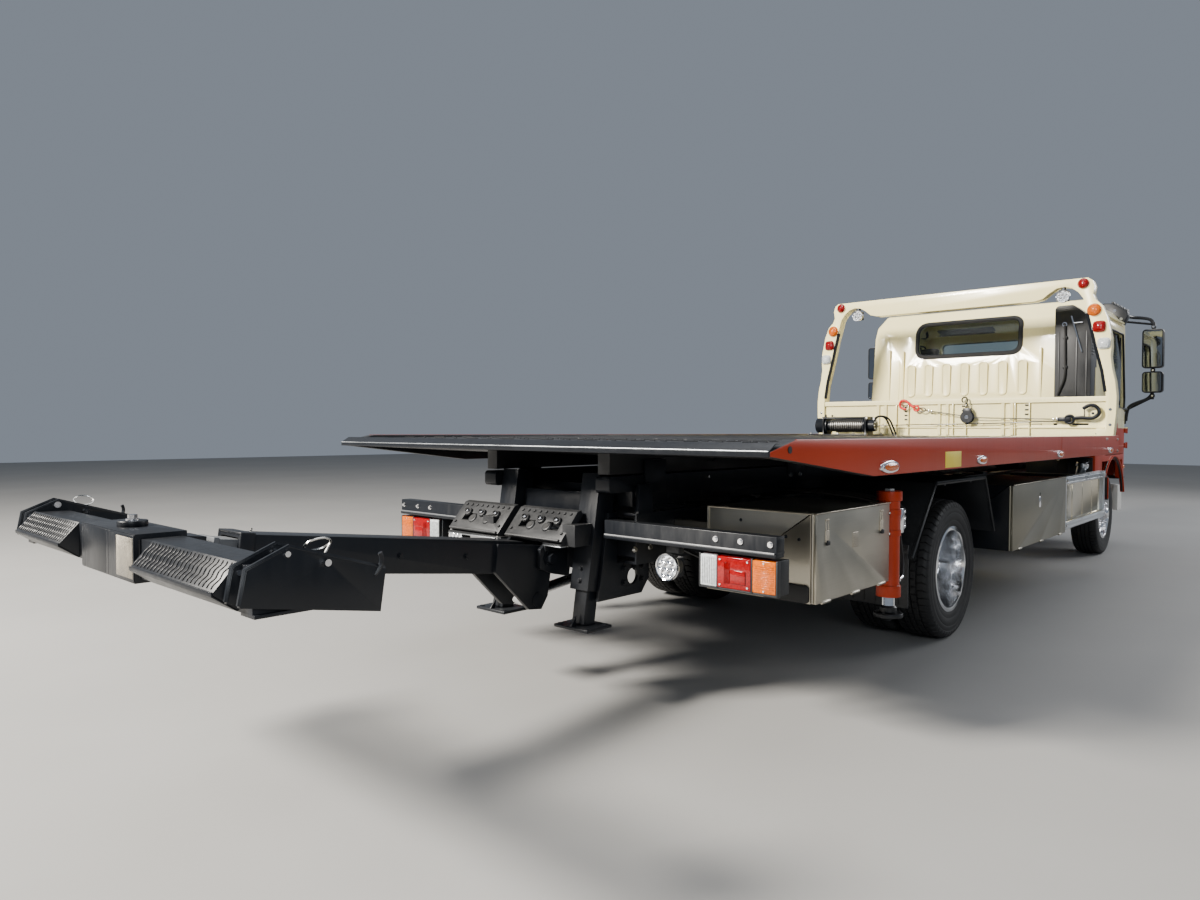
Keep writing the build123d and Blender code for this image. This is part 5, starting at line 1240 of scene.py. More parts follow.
def makeCabLower():
    # 0 orange, 1 black plastic, 2 chrome, 3 red lens, 4 amber lens, 5 rubber
    bm = copyNode("cab_lower", 0.0035, 2, 28)
    # Mesh behind the inlet slots and a bright bar over them
    boxIn(bm, (5.14, -0.585, 0.935), (5.15, 0.585, 1.118), 0.0, 1)
    for i in range(40):
        y = -0.565 + i * 0.029
        boxIn(bm, (5.15, y - 0.002, 0.945), (5.156, y + 0.002, 1.112), 0.0, 1)
    boxIn(bm, (5.206, -0.56, 1.116), (5.2135, 0.56, 1.126), 0.002, 2)
    for side in (1, -1):
        # Amber lamp on the front corner
        turn = Matrix.Rotation(side * math.radians(39), 4, "Z")
        boxIn(bm, (5.173, side * 0.852 - 0.046, 0.742), (5.191, side * 0.852 + 0.046, 0.878), 0.006, 4, 2, turn)
        boxIn(bm, (5.168, side * 0.85 - 0.052, 0.735), (5.184, side * 0.85 + 0.052, 0.885), 0.006, 1, 2, turn)
        # Black rubber flare round the wheel arch
        arc = []
        for step in range(25):
            angle = math.radians(200 - 220 * step / 24)
            spot = (4.187 + 0.489 * math.cos(angle), side * 1.004, 0.43 + 0.489 * math.sin(angle))
            if spot[2] > 0.56:
                arc.append(spot)
        sealIn(bm, [(a, b - side * 0.01, c) for a, b, c in arc], 0.008, 5)
        # Splash flap behind the wheel with its small lamp
        y0, y1 = sorted((side * 0.86, side * 1.052))
        boxIn(bm, (3.686, y0, 0.545), (3.696, y1, 0.745), 0.004, 5)
        boxIn(bm, (3.683, side * 1.05 - 0.004, 0.555), (3.699, side * 1.05 + 0.004, 0.74), 0.002)
        boxIn(bm, (3.672, side * 1.005 - 0.028, 0.552), (3.687, side * 1.005 + 0.028, 0.578), 0.004, 3)
        for z in (0.62, 0.7):
            boltIn(bm, (3.686, side * 0.9, z), (-1, 0, 0), 0.016, 2)
        # Step in front of the wheel: ribbed tread and its lower plate
        y0, y1 = sorted((side * 0.8, side * 0.955))
        boxIn(bm, (4.72, y0, 0.684), (5.02, y1, 0.7), 0.004, 1)
        for i in range(9):
            boxIn(bm, (4.735 + i * 0.032, y0 + 0.012, 0.699), (4.745 + i * 0.032, y1 - 0.012, 0.704), 0.001, 1)
        # Side repeater and the sill's trim
        ovalIn(bm, 4.86, side * skinY(4.86, 0.8), 0.8, 0.04, 0.018, 0.012, side, 4, 0.003)
        rodIn(bm, (3.6, side * 0.998, 1.1), (3.6, side * 1.003, 1.1), 0.02, 24, 1)
    finishPiece("cabLowerDressed", bm, "cab",
                ["orangePaint", "blackPlastic", "chrome", "redLens", "amberLens", "softRubber"], ["cab_lower"])


def splitAt(bm, height, slot):
    # Cuts the mesh level and gives the part below another finish
    bmesh.ops.bisect_plane(bm, geom=list(bm.verts) + list(bm.edges) + list(bm.faces), plane_co=(0, 0, height),
                           plane_no=(0, 0, 1), dist=0.00001)
    for face in bm.faces:
        if face.calc_center_median().z < height:
            face.material_index = slot


def makeDoor(word, side):
    # 0 cream, 1 orange, 2 rubber, 3 black plastic, 4 chrome, 5 grey trim
    bm = copyNode(f"{word}_door", 0.003, 2, 28)
    splitAt(bm, cabSpec["belt"], 1)
    window = [(3.93, 1.37), (3.93, 2.04), (3.98, 2.09), (4.66, 2.09), (4.9, 1.48), (4.87, 1.37)]
    flat = roundedPath(window, 0.03, 4)
    sealIn(bm, [(x, side * (skinY(x, z) + 0.001), z) for x, z in flat], 0.0095, 2)
    sealIn(bm, [(x, side * (skinY(x, z) - 0.052), z) for x, z in flat], 0.011, 2)
    # Upright bar of the quarter light and the waist strip
    boxIn(bm, (4.655, side * 0.952 - 0.012, 1.37), (4.675, side * 0.952 + 0.012, 2.06), 0.003, 3)
    boxIn(bm, (3.94, side * 0.99 - 0.006, 1.362), (4.86, side * 0.99 + 0.006, 1.378), 0.003, 2)
    # Handle bar with its cups and the lock barrel
    boxIn(bm, (3.915, side * 1.002 - 0.004, 1.106), (4.085, side * 1.002 + 0.003, 1.164), 0.003, 3)
    boxIn(bm, (3.925, side * 1.012 - 0.004, 1.118), (4.075, side * 1.012 + 0.008, 1.15), 0.004, 3)
    rodIn(bm, (3.898, side * 0.998, 1.135), (3.898, side * 1.006, 1.135), 0.014, 20, 4, 0.012)
    # Rubbing strip along the lower door and the pressed line under the window
    wireIn(bm, [(3.86, side * 1.0, 1.262), (4.56, side * 1.0, 1.262), (4.99, side * 0.9475, 1.262)], 0.0035)
    wireIn(bm, [(3.86, side * 1.001, 1.01), (4.56, side * 1.001, 1.01), (4.99, side * 0.9485, 1.01)], 0.004, 1)
    # Inside: card, armrest, pull and window winder
    card = [(3.9, 0.96), (4.92, 0.96), (4.92, 1.33), (3.9, 1.35)]
    y0, y1 = sorted((side * 0.918, side * 0.942))
    plateIn(bm, card, y0, y1, "xz", 0.006, 5)
    boxIn(bm, (4.05, side * 0.86, 1.165), (4.5, side * 0.92, 1.215), 0.014, 5, 3)
    hoseIn(bm, [(4.58, side * 0.915, 1.1), (4.6, side * 0.88, 1.13), (4.66, side * 0.88, 1.2),
                (4.68, side * 0.915, 1.23)], 0.011, 3, 10)
    rodIn(bm, (4.3, side * 0.922, 1.07), (4.3, side * 0.896, 1.07), 0.022, 20, 3)
    hoseIn(bm, [(4.3, side * 0.898, 1.07), (4.35, side * 0.892, 1.1), (4.39, side * 0.89, 1.115)], 0.007, 3)
    rodIn(bm, (4.39, side * 0.89, 1.115), (4.39, side * 0.865, 1.115), 0.012, 16, 3, None, 0.002)
    latheIn(bm, [(0.0, -0.004), (0.07, -0.004), (0.075, 0.0), (0.07, 0.004), (0.0, 0.004)],
            (4.75, side * 0.916, 1.06), "y", 36, 3)
    finishPiece(f"{word}DoorDressed", bm, f"{word}_door",
                ["creamPaint", "orangePaint", "softRubber", "blackPlastic", "chrome", "greyTrim"], [f"{word}_door"])


def makeHeadlamps():
    # 0 clear, 1 chrome, 2 black
    bm = copyNode("headlamps", 0.006, 3, 30)
    for side in (1, -1):
        path = roundedPath([(side * 0.445, 0.72), (side * 0.78, 0.73), (side * 0.78, 0.89), (side * 0.445, 0.87)],
                           0.034, 5)
        sealIn(bm, [(5.218, y, z) for y, z in path], 0.008, 1)
        for y in (0.53, 0.69):
            latheIn(bm, [(0.062, 0.0), (0.06, 0.006), (0.054, 0.003), (0.03, 0.005), (0.0, 0.009)],
                    (5.23, side * y, 0.802), "x", 40)
            latheIn(bm, [(0.0655, 0.0), (0.0655, 0.005), (0.0615, 0.005), (0.0615, 0.0)],
                    (5.229, side * y, 0.802), "x", 40, 1)
    finishPiece("headlampsDressed", bm, "cab", ["clearLens", "chrome", "blackPlastic"], ["headlamps"])


def makeBumper():
    # 0 white, 1 black, 2 chrome, 3 clear
    bm = copyNode("bumper", 0.006, 3, 30)
    for side in (1, -1):
        x = 5.285
        latheIn(bm, [(0.0, -0.04), (0.05, -0.036), (0.056, 0.0), (0.056, 0.012), (0.05, 0.012), (0.046, 0.003),
                     (0.0, 0.004)], (x, side * 0.64, 0.48), "x", 40, 1)
        latheIn(bm, [(0.046, 0.004), (0.042, 0.008), (0.02, 0.011), (0.0, 0.012)], (x, side * 0.64, 0.48), "x", 36, 3)
        for y in (0.2, 0.52, 0.73):
            rodIn(bm, (5.299, side * y, 0.59), (5.304, side * y, 0.59), 0.01, 16, 2, 0.008)
    for i in range(15):
        z = 0.41 + i * 0.0062
        boxIn(bm, (5.268, -0.425, z - 0.0012), (5.276, 0.425, z + 0.0012), 0.0, 1)
    for i in range(29):
        y = -0.42 + i * 0.03
        boxIn(bm, (5.266, y - 0.002, 0.402), (5.27, y + 0.002, 0.498), 0.0, 1)
    # Bare number plate
    boxIn(bm, (5.3, -0.26, 0.505), (5.305, 0.26, 0.6), 0.002, 1)
    boxIn(bm, (5.3045, -0.255, 0.51), (5.3065, 0.255, 0.595), 0.001)
    finishPiece("bumperDressed", bm, "chassis",
                ["whitePaint", "blackPlastic", "chrome", "clearLens"], ["bumper"])


def makeMirrors():
    # 0 black plastic, 1 mirror glass, 2 chrome
    bm = copyNode("mirrors", 0.007, 3, 30)
    for side, near, far in ((-1, 1.075, 1.255), (1, 1.59, 1.77)):
        mid = side * (near + far) / 2
        for low, high, trim in ((1.789, 2.156, 0.009), (1.544, 1.736, 0.013)):
            a, b = sorted((side * (near + 0.009), side * (far - trim)))
            outline = roundedPath([(a, low), (b, low), (b, high), (a, high)], 0.024, 5)[:-1]
            plateIn(bm, outline, 5.061, 5.0632, "yz", 0.0, 1)
            sealIn(bm, [(5.0602, y, z) for y, z in outline + [outline[0]]], 0.004, 0)
        # Clamps on the stalk and the bent ends of the arms
        for z in (1.505, 1.76, 2.19):
            boxIn(bm, (5.082, mid - 0.019, z - 0.016), (5.118, mid + 0.019, z + 0.016), 0.005)
            boltIn(bm, (5.082, mid, z), (-1, 0, 0), 0.013, 2)
        hoseIn(bm, [(4.79, side * 0.95, 2.29), (4.9, side * 0.975, 2.29), (5.0, side * 1.0, 2.286),
                    (5.06, side * (near + 0.03), 2.278), (5.096, mid, 2.25), (5.1, mid, 2.15)], 0.0165, 0, 12)
        hoseIn(bm, [(5.1, mid, 1.54), (5.098, mid - side * 0.015, 1.48), (5.07, side * 1.01, 1.43),
                    (5.056, side * 0.955, 1.38), (5.052, side * 0.95, 1.255)], 0.015, 0, 12)
        rodIn(bm, (5.072, side * 0.885, 1.325), (5.07, side * 0.905, 1.33), 0.024, 20)
        boxIn(bm, (5.04, side * 0.94 - 0.012, 1.225), (5.062, side * 0.94 + 0.014, 1.3), 0.004)
    finishPiece("mirrorsDressed", bm, "cab", ["blackPlastic", "mirrorGlass", "chrome"], ["mirrors"])


def makeRearShadePanels():
    # Black panels on the cab's rear wall, behind the wheels and below the bed: painted shade, a dark sheet where the
    # lower rear wall lies in shadow
    bm = bmesh.new()
    rearX, stepZ = 3.405, 0.922
    for side in (1, -1):
        outline = [(side * 0.985, 0.53), (side * 0.985, stepZ), (side * 0.46, stepZ), (side * 0.46, 0.64),
                   (side * 0.66, 0.53)]
        plateIn(bm, outline, rearX, 3.419, "yz", 0.003)
        for y in (0.5, 0.72, 0.95):
            boltIn(bm, (rearX, side * y, 0.9), (-1, 0, 0), 0.016, 1)
        for y in (0.7, 0.8, 0.9):
            boxIn(bm, (3.4, side * y - 0.006, 0.56), (3.407, side * y + 0.006, 0.88), 0.002, 0, 1)
    plateIn(bm, [(-0.7, stepZ), (-0.7, 1.075), (0.975, 1.075), (0.975, stepZ)], rearX, 3.419, "yz", 0.003)
    for y in (-0.66, -0.2, 0.3, 0.9):
        boltIn(bm, (rearX, y, 1.05), (-1, 0, 0), 0.016, 1)
    finishPiece("rearShadePanels", bm, "cab", ["blackPlastic", "zincSteel"])


def makeSnorkel():
    # 0 black plastic, 1 chrome, 2 rubber
    bm = copyNode("snorkel", 0.01, 3, 30)
    x = 3.255
    # Ribs down the rear face, the strut and the rod with its hose
    for y in (-0.745, -0.88, -0.955):
        boxIn(bm, (x - 0.005, y - 0.006, 0.98), (x + 0.002, y + 0.006, 2.0), 0.002)
    boxIn(bm, (x - 0.004, -0.962, 1.395), (x + 0.002, -0.738, 1.412), 0.002)
    rodIn(bm, (x - 0.001, -0.787, 2.065), (x - 0.005, -0.787, 2.065), 0.02, 24, 1)
    boltIn(bm, (x - 0.004, -0.787, 2.065), (-1, 0, 0), 0.022, 2, False)
    wireIn(bm, [(x - 0.012, -0.839, 2.132), (x - 0.012, -0.88, 1.975), (x - 0.012, -0.921, 1.822)], 0.0065, 1, 10)
    wireIn(bm, [(x - 0.012, -0.856, 2.07), (x - 0.012, -0.924, 2.07)], 0.0055, 1)
    rodIn(bm, (x - 0.012, -0.792, 2.051), (x - 0.012, -0.798, 1.657), 0.009, 12, 2)
    hoseIn(bm, [(x - 0.012, -0.798, 1.665), (x - 0.014, -0.797, 1.6), (x - 0.014, -0.765, 1.52),
                (x - 0.012, -0.742, 1.459)], 0.009, 2, 10)
    for z in (1.7, 1.95):
        boxIn(bm, (x - 0.018, -0.812, z - 0.012), (x, -0.778, z + 0.012), 0.003)
    # Inlet slats high on the outer side
    for i in range(8):
        z = 1.8 + i * 0.024
        boxIn(bm, (3.285, -0.993, z), (3.4, -0.984, z + 0.01), 0.002)
    # Rubber joint at the foot
    for z in (0.955, 0.975, 0.995):
        boxIn(bm, (x - 0.006, -0.994, z - 0.006), (3.424, -0.706, z + 0.006), 0.004, 2)
    finishPiece("snorkelDressed", bm, "cab", ["blackPlastic", "chrome", "softRubber"], ["snorkel"])


makeCabShell()
makeCabLower()
for doorWord, doorSide in bothSides:
    makeDoor(doorWord, doorSide)
makeHeadlamps()
makeBumper()
makeMirrors()
makeRearShadePanels()
makeSnorkel()
print("cab dressed")


# Lamps, beam, boxes, panels, jacks and guards along the chassis
sideSpec = {"rearBox": (-1.873, -1.21, 0.497, 0.834), "sideBox": (0.587, 1.85, 0.431, 0.822), "jack": (-1.14, 1.095)}


def makeTailLamps():
    # 0 black, 1 red, 2 amber, 3 clear, 4 chrome, 5 led
    bm = copyNode("tail_lamps", 0.003, 2, 30)
    roundY = 0.648
    for face in list(bm.faces):
        middle = face.calc_center_median()
        across = abs(middle.y)
        if middle.x > -2.127 or across < 0.75:
            continue
        face.material_index = 3 if across < 0.872 else 1 if across < 1.018 else 2
    doomed = [v for v in bm.verts if abs(v.co.y) < 0.72 and v.co.x < -2.0 and v.co.z < 0.675]
    bmesh.ops.delete(bm, geom=doomed, context="VERTS")
    x = -2.146
    for side in (1, -1):
        ledLampIn(bm, x, side * roundY, 0.619, 0.0535, 0, 4, 5)
        # Bracket and bolt over the round lamp
        boxIn(bm, (-2.118, side * roundY - 0.032, 0.668), (-2.084, side * roundY + 0.032, 0.702), 0.004)
        boltIn(bm, (-2.101, side * roundY, 0.702), (0, 0, 1), 0.026, 4)
        # Screws in the corners of the red glass and the ribbed square set in it
        for y in (0.886, 1.002):
            for z in (0.583, 0.675):
                rodIn(bm, (x, side * y, z), (x - 0.0035, side * y, z), 0.0045, 12, 4, 0.0035)
        boxIn(bm, (x - 0.004, side * 0.929, 0.592), (x + 0.001, side * 0.994, 0.64), 0.002, 1)
        for i in range(5):
            y = side * (0.904 + i * 0.005)
            boxIn(bm, (x - 0.003, y - 0.0014, 0.59), (x + 0.001, y + 0.0014, 0.668), 0.0005, 1)
        # Screws of the amber glass, and the ribs of the amber and the clear one
        for z in (0.58, 0.678):
            rodIn(bm, (x, side * 1.068, z), (x - 0.0035, side * 1.068, z), 0.0045, 12, 4, 0.0035)
        for i in range(11):
            z = 0.59 + i * 0.0078
            boxIn(bm, (x - 0.0025, side * 1.03, z - 0.0012), (x + 0.001, side * 1.106, z + 0.0012), 0.0004, 2)
        for i in range(8):
            y = side * (0.808 + i * 0.0078)
            boxIn(bm, (x - 0.0025, y - 0.0012, 0.58), (x + 0.001, y + 0.0012, 0.678), 0.0004, 3)
        # Black frame between the glasses and the cable behind
        for y in (0.795, 0.872, 1.018, 1.118):
            boxIn(bm, (x + 0.001, side * y - 0.0035, 0.568), (x + 0.022, side * y + 0.0035, 0.69), 0.001)
        boxIn(bm, (x + 0.004, side * 0.79, 0.562), (x + 0.022, side * 1.122, 0.571), 0.002)
        hoseIn(bm, [(-2.062, side * 0.95, 0.62), (-2.02, side * 0.9, 0.6), (-2.0, side * 0.75, 0.63),
                    (-2.02, side * 0.6, 0.68)], 0.007)
    finishPiece("tailLampsDressed", bm, "chassis",
                ["blackPlastic", "redLens", "amberLens", "clearLens", "chrome", "ledLens"], ["tail_lamps"], 32)


def makeRearBeam():
    # 0 black, 1 chrome, 2 grey
    bm = copyNode("rear_beam", 0.002, 2, 30)
    for side in (1, -1):
        for y in (0.866, 0.972, 1.093):
            boltIn(bm, (-2.146, side * y, 0.747), (-1, 0, 0), 0.015, 1)
        # Rolled lower lip and the end plug
        wireIn(bm, [(-2.15, side * 0.325, 0.7155), (-2.15, side * 1.112, 0.7155)], 0.0045, 2)
        boxIn(bm, (-2.14, side * 1.1165 - 0.002, 0.72), (-2.094, side * 1.1165 + 0.002, 0.768), 0.001)
    finishPiece("rearBeamDressed", bm, "chassis", ["blackPaint", "chrome", "greySteel"],
                ["rear_beam"])


def latchIn(bm, x, y, z, side, bright, dark):
    # A toggle latch: base plate, lever, bail wire and keeper
    boxIn(bm, (x - 0.019, y - 0.0015, z - 0.055), (x + 0.019, y + 0.0035, z + 0.012), 0.0015, bright)
    boxIn(bm, (x - 0.014, y, z - 0.05), (x + 0.014, y + side * 0.014, z - 0.004), 0.003, bright)
    boxIn(bm, (x - 0.011, y, z - 0.062), (x + 0.011, y + side * 0.02, z - 0.044), 0.003, dark)
    wireIn(bm, [(x - 0.01, y + side * 0.011, z - 0.01), (x - 0.01, y + side * 0.009, z + 0.036),
                (x + 0.01, y + side * 0.009, z + 0.036), (x + 0.01, y + side * 0.011, z - 0.01)], 0.0022, bright)
    boxIn(bm, (x - 0.016, y - 0.0015, z + 0.024), (x + 0.016, y + 0.0035, z + 0.056), 0.0015, bright)
    rodIn(bm, (x - 0.013, y + side * 0.009, z + 0.034), (x + 0.013, y + side * 0.009, z + 0.034), 0.0045, 12, bright)
    for dx in (-0.012, 0.012):
        rodIn(bm, (x + dx, y, z - 0.048), (x + dx, y + side * 0.006, z - 0.048), 0.003, 10, dark)


def makeRearBox():
    # 0 brushed, 1 chrome, 2 black, 3 rubber
    x0, x1, z0, z1 = sideSpec["rearBox"]
    bm = copyNode("rear_toolbox", 0.003, 2, 30)
    y = -1.112
    # Rivets and the black corner guard on the rear face
    for yy, zz in ((-0.8, 0.79), (-1.0, 0.742), (-1.055, 0.735), (-0.72, 0.56)):
        rodIn(bm, (x0, yy, zz), (x0 - 0.003, yy, zz), 0.007, 14, 2, 0.005)
    outline = roundedPath([(-1.1, 0.499), (-0.9, 0.499), (-0.9, 0.566), (-1.1, 0.566)], 0.016, 4)[:-1]
    plateIn(bm, outline, x0 - 0.008, x0 + 0.001, "yz", 0.002, 3)
    # Folded seams round the box
    for path in ([(x0 - 0.001, y, z0 + 0.004), (x0 - 0.001, y, z1)],
                 [(x0 - 0.001, -0.645, z0 + 0.01), (x0 - 0.001, -0.645, z1)],
                 [(x0, y + 0.003, z1 + 0.001), (x0, -0.642, z1 + 0.001)]):
        wireIn(bm, path, 0.0045)
    for px in (x0 + 0.05, x1 - 0.05):
        for yy in (-0.7, -0.9, -1.06):
            rodIn(bm, (px, yy, z1 + 0.001), (px, yy, z1 + 0.004), 0.006, 12, 0, 0.004)
    finishPiece("rearBoxDressed", bm, "chassis", ["brushedSteel", "chrome", "blackPaint", "softRubber"],
                ["rear_toolbox"])
    bm = copyNode("rear_box_door", 0.003, 2, 30)
    # 0 brushed, 1 worn steel, 2 black, 3 red; the raised panel and two toggle latches
    boxIn(bm, (x0 + 0.03, y - 0.0045, z0 + 0.032), (x1 - 0.03, y + 0.001, z1 - 0.06), 0.002)
    for px in (x0 + 0.085, x1 - 0.085):
        latchIn(bm, px, y - 0.004, z1 - 0.06, -1, 1, 2)
    # Lock plate with its raised rim and the paddle in it
    lock = [(x0 + 0.275, 0.77), (x0 + 0.385, 0.77), (x0 + 0.385, 0.665), (x0 + 0.33, 0.625), (x0 + 0.275, 0.665)]
    plateIn(bm, lock, y - 0.008, y - 0.003, "xz", 0.003, 1)
    inner = [(x0 + 0.289, 0.757), (x0 + 0.371, 0.757), (x0 + 0.371, 0.672), (x0 + 0.33, 0.643), (x0 + 0.289, 0.672)]
    plateIn(bm, inner, y - 0.0095, y - 0.007, "xz", 0.001, 2)
    boxIn(bm, (x0 + 0.303, y - 0.016, 0.68), (x0 + 0.357, y - 0.008, 0.742), 0.004, 1, 3)
    # Seam above the lower strip and the plain red reflector on it
    boxIn(bm, (x0 + 0.004, y - 0.0062, 0.588), (x1 - 0.004, y - 0.003, 0.594), 0.001, 2)
    boxIn(bm, (x0 + 0.235, y - 0.007, 0.52), (x0 + 0.345, y - 0.003, 0.572), 0.001, 2)
    # The reflector's red lens finish glows faintly: painted glow, not a lamp
    boxIn(bm, (x0 + 0.242, y - 0.0082, 0.526), (x0 + 0.338, y - 0.004, 0.566), 0.001, 3)
    # The small bright bracket by the lid
    boxIn(bm, (x1 - 0.095, y - 0.012, z1 - 0.045), (x1 - 0.055, y - 0.002, z1 - 0.022), 0.002, 1)
    finishPiece("rearBoxDoorDressed", bm, "rear_box_door",
                ["brushedSteel", "wornSteel", "blackPlastic", "redLens"], ["rear_box_door"])


def makeSideBoxes():
    # 0 brushed steel darkened as painted shade, 1 black, 2 chrome
    x0, x1, z0, z1 = sideSpec["sideBox"]
    bm = copyNode("side_toolboxes", 0.003, 2, 30)
    for face in bm.faces:
        if face.normal.x < -0.7 and face.calc_center_median().x < x0 + 0.01:
            face.material_index = 1
    for side in (1, -1):
        y = side * 1.112
        for path in ([(x0, y, z0 + 0.004), (x0, y, z1)], [(x1, y, z0 + 0.004), (x1, y, z1)]):
            wireIn(bm, [(a, b - side * 0.004, c) for a, b, c in path], 0.005)
        for px in (x0 + 0.1, x0 + 0.45, x1 - 0.45, x1 - 0.1):
            rodIn(bm, (px, side * 0.9, z1 + 0.001), (px, side * 0.9, z1 + 0.004), 0.007, 12, 0, 0.005)
    finishPiece("sideBoxesDressed", bm, "chassis", ["shadedBrushedSteel", "blackPaint", "chrome"],
                ["side_toolboxes"])
    for word, side in bothSides:
        bm = copyNode(f"{word}_side_box_door", 0.003, 2, 30)
        y = side * 1.114
        low, high = sorted((y - side * 0.001, y + side * 0.0035))
        boxIn(bm, (x0 + 0.035, low, z0 + 0.035), (x1 - 0.035, high, z1 - 0.035), 0.002)
        # Oval paddle latch in its dish
        px, pz = 1.18, 0.7
        ring = circlePoints(1, 32, 0.0, 1)
        wireIn(bm, [(px + 0.047 * a, y + side * 0.005, pz + 0.066 * b) for a, b in ring], 0.006, 2, 10)
        plateIn(bm, [(px + 0.045 * a, pz + 0.064 * b) for a, b in ring[:-1]], y, y + side * 0.005, "xz", 0.0, 1)
        boxIn(bm, (px - 0.022, y, pz - 0.048), (px + 0.022, y + side * 0.014, pz + 0.026), 0.006, 2, 3)
        rodIn(bm, (px, y, pz + 0.042), (px, y + side * 0.012, pz + 0.042), 0.01, 20, 2, 0.009)
        for share in (0.03, 0.97):
            qx = x0 + (x1 - x0) * share
            for qz in (z0 + 0.025, z1 - 0.025):
                rodIn(bm, (qx, y, qz), (qx, y + side * 0.0035, qz), 0.006, 12, 2, 0.004)
        finishPiece(f"{word}SideBoxDoorDressed", bm, f"{word}_side_box_door",
                    ["shadedBrushedSteel", "blackPaint", "chrome"], [f"{word}_side_box_door"])


def makeSidePanels():
    # 0 satin, 1 warm mirror, 2 chrome, 3 black
    bm = copyNode("side_panels", 0.004, 3, 30)
    faceY = 1.1245
    for face in bm.faces:
        middle = face.calc_center_median()
        if 0.5 < middle.z < 0.77 and 1.905 < middle.x < 3.12 and abs(middle.y) > 1.078:
            face.material_index = 1
        if abs(middle.y) < 1.06:
            face.material_index = 3
    for side in (1, -1):
        for z in (0.475, 0.795):
            wireIn(bm, [(1.9, side * faceY, z + 0.014), (3.14, side * faceY, z + 0.014)], 0.003)
            wireIn(bm, [(1.9, side * faceY, z - 0.014), (3.14, side * faceY, z - 0.014)], 0.003)
            for px in (1.882, 3.15):
                boltIn(bm, (px, side * 1.12, z), (0, side, 0), 0.02, 2)
        for px in (2.2, 2.52, 2.84):
            boxIn(bm, (px - 0.004, side * 1.0915 - 0.0015, 0.505), (px + 0.004, side * 1.0915 + 0.003, 0.765), 0.001,
                  1)
        for px in (1.98, 3.06):
            boltIn(bm, (px, side * 0.98, 0.79), (0, 0, 1), 0.022, 2)
    finishPiece("sidePanelsDressed", bm, "chassis",
                ["satinAlloy", "warmMirror", "chrome", "blackPaint"], ["side_panels"])


def makeFuelTank():
    # 0 alloy, 1 black, 2 chrome
    bm = copyNode("fuel_tank", 0.01, 3, 34)
    for px in (2.25, 2.78):
        path = [(px, -0.645, 0.735), (px, -0.645, 0.735), (px, -1.04, 0.735), (px, -1.064, 0.7), (px, -1.064, 0.49),
                (px, -1.04, 0.45), (px, -0.645, 0.45)]
        wireIn(bm, path, 0.01, 1)
        boltIn(bm, (px, -0.66, 0.74), (0, 0, 1), 0.02, 2)
    for i in range(3):
        wireIn(bm, [(2.14 + i * 0.36, -1.061, 0.5), (2.14 + i * 0.36, -1.061, 0.69)], 0.006)
    latheIn(bm, [(0.0, -0.016), (0.03, -0.016), (0.044, -0.008), (0.044, 0.0)], (2.88, -1.018, 0.905), "z", 28, 1)
    hoseIn(bm, [(2.6, -0.8, 0.728), (2.6, -0.78, 0.765), (2.66, -0.62, 0.775), (2.8, -0.44, 0.77)], 0.008, 1)
    finishPiece("fuelTankDressed", bm, "chassis", ["satinAlloy", "blackPlastic", "chrome"],
                ["fuel_tank"])


def fittingIn(bm, place, way, slot, size=0.018):
    # A hydraulic elbow: two hexagons and a ferrule
    place, way = Vector(place), Vector(way).normalized()
    rodIn(bm, place, place + way * size * 0.9, size * 0.72, 6, slot)
    rodIn(bm, place + way * size * 0.9, place + way * size * 1.7, size * 0.55, 14, slot)
    rodIn(bm, place + way * size * 1.6, place + way * size * 3.2, size * 0.62, 14, slot, size * 0.56)


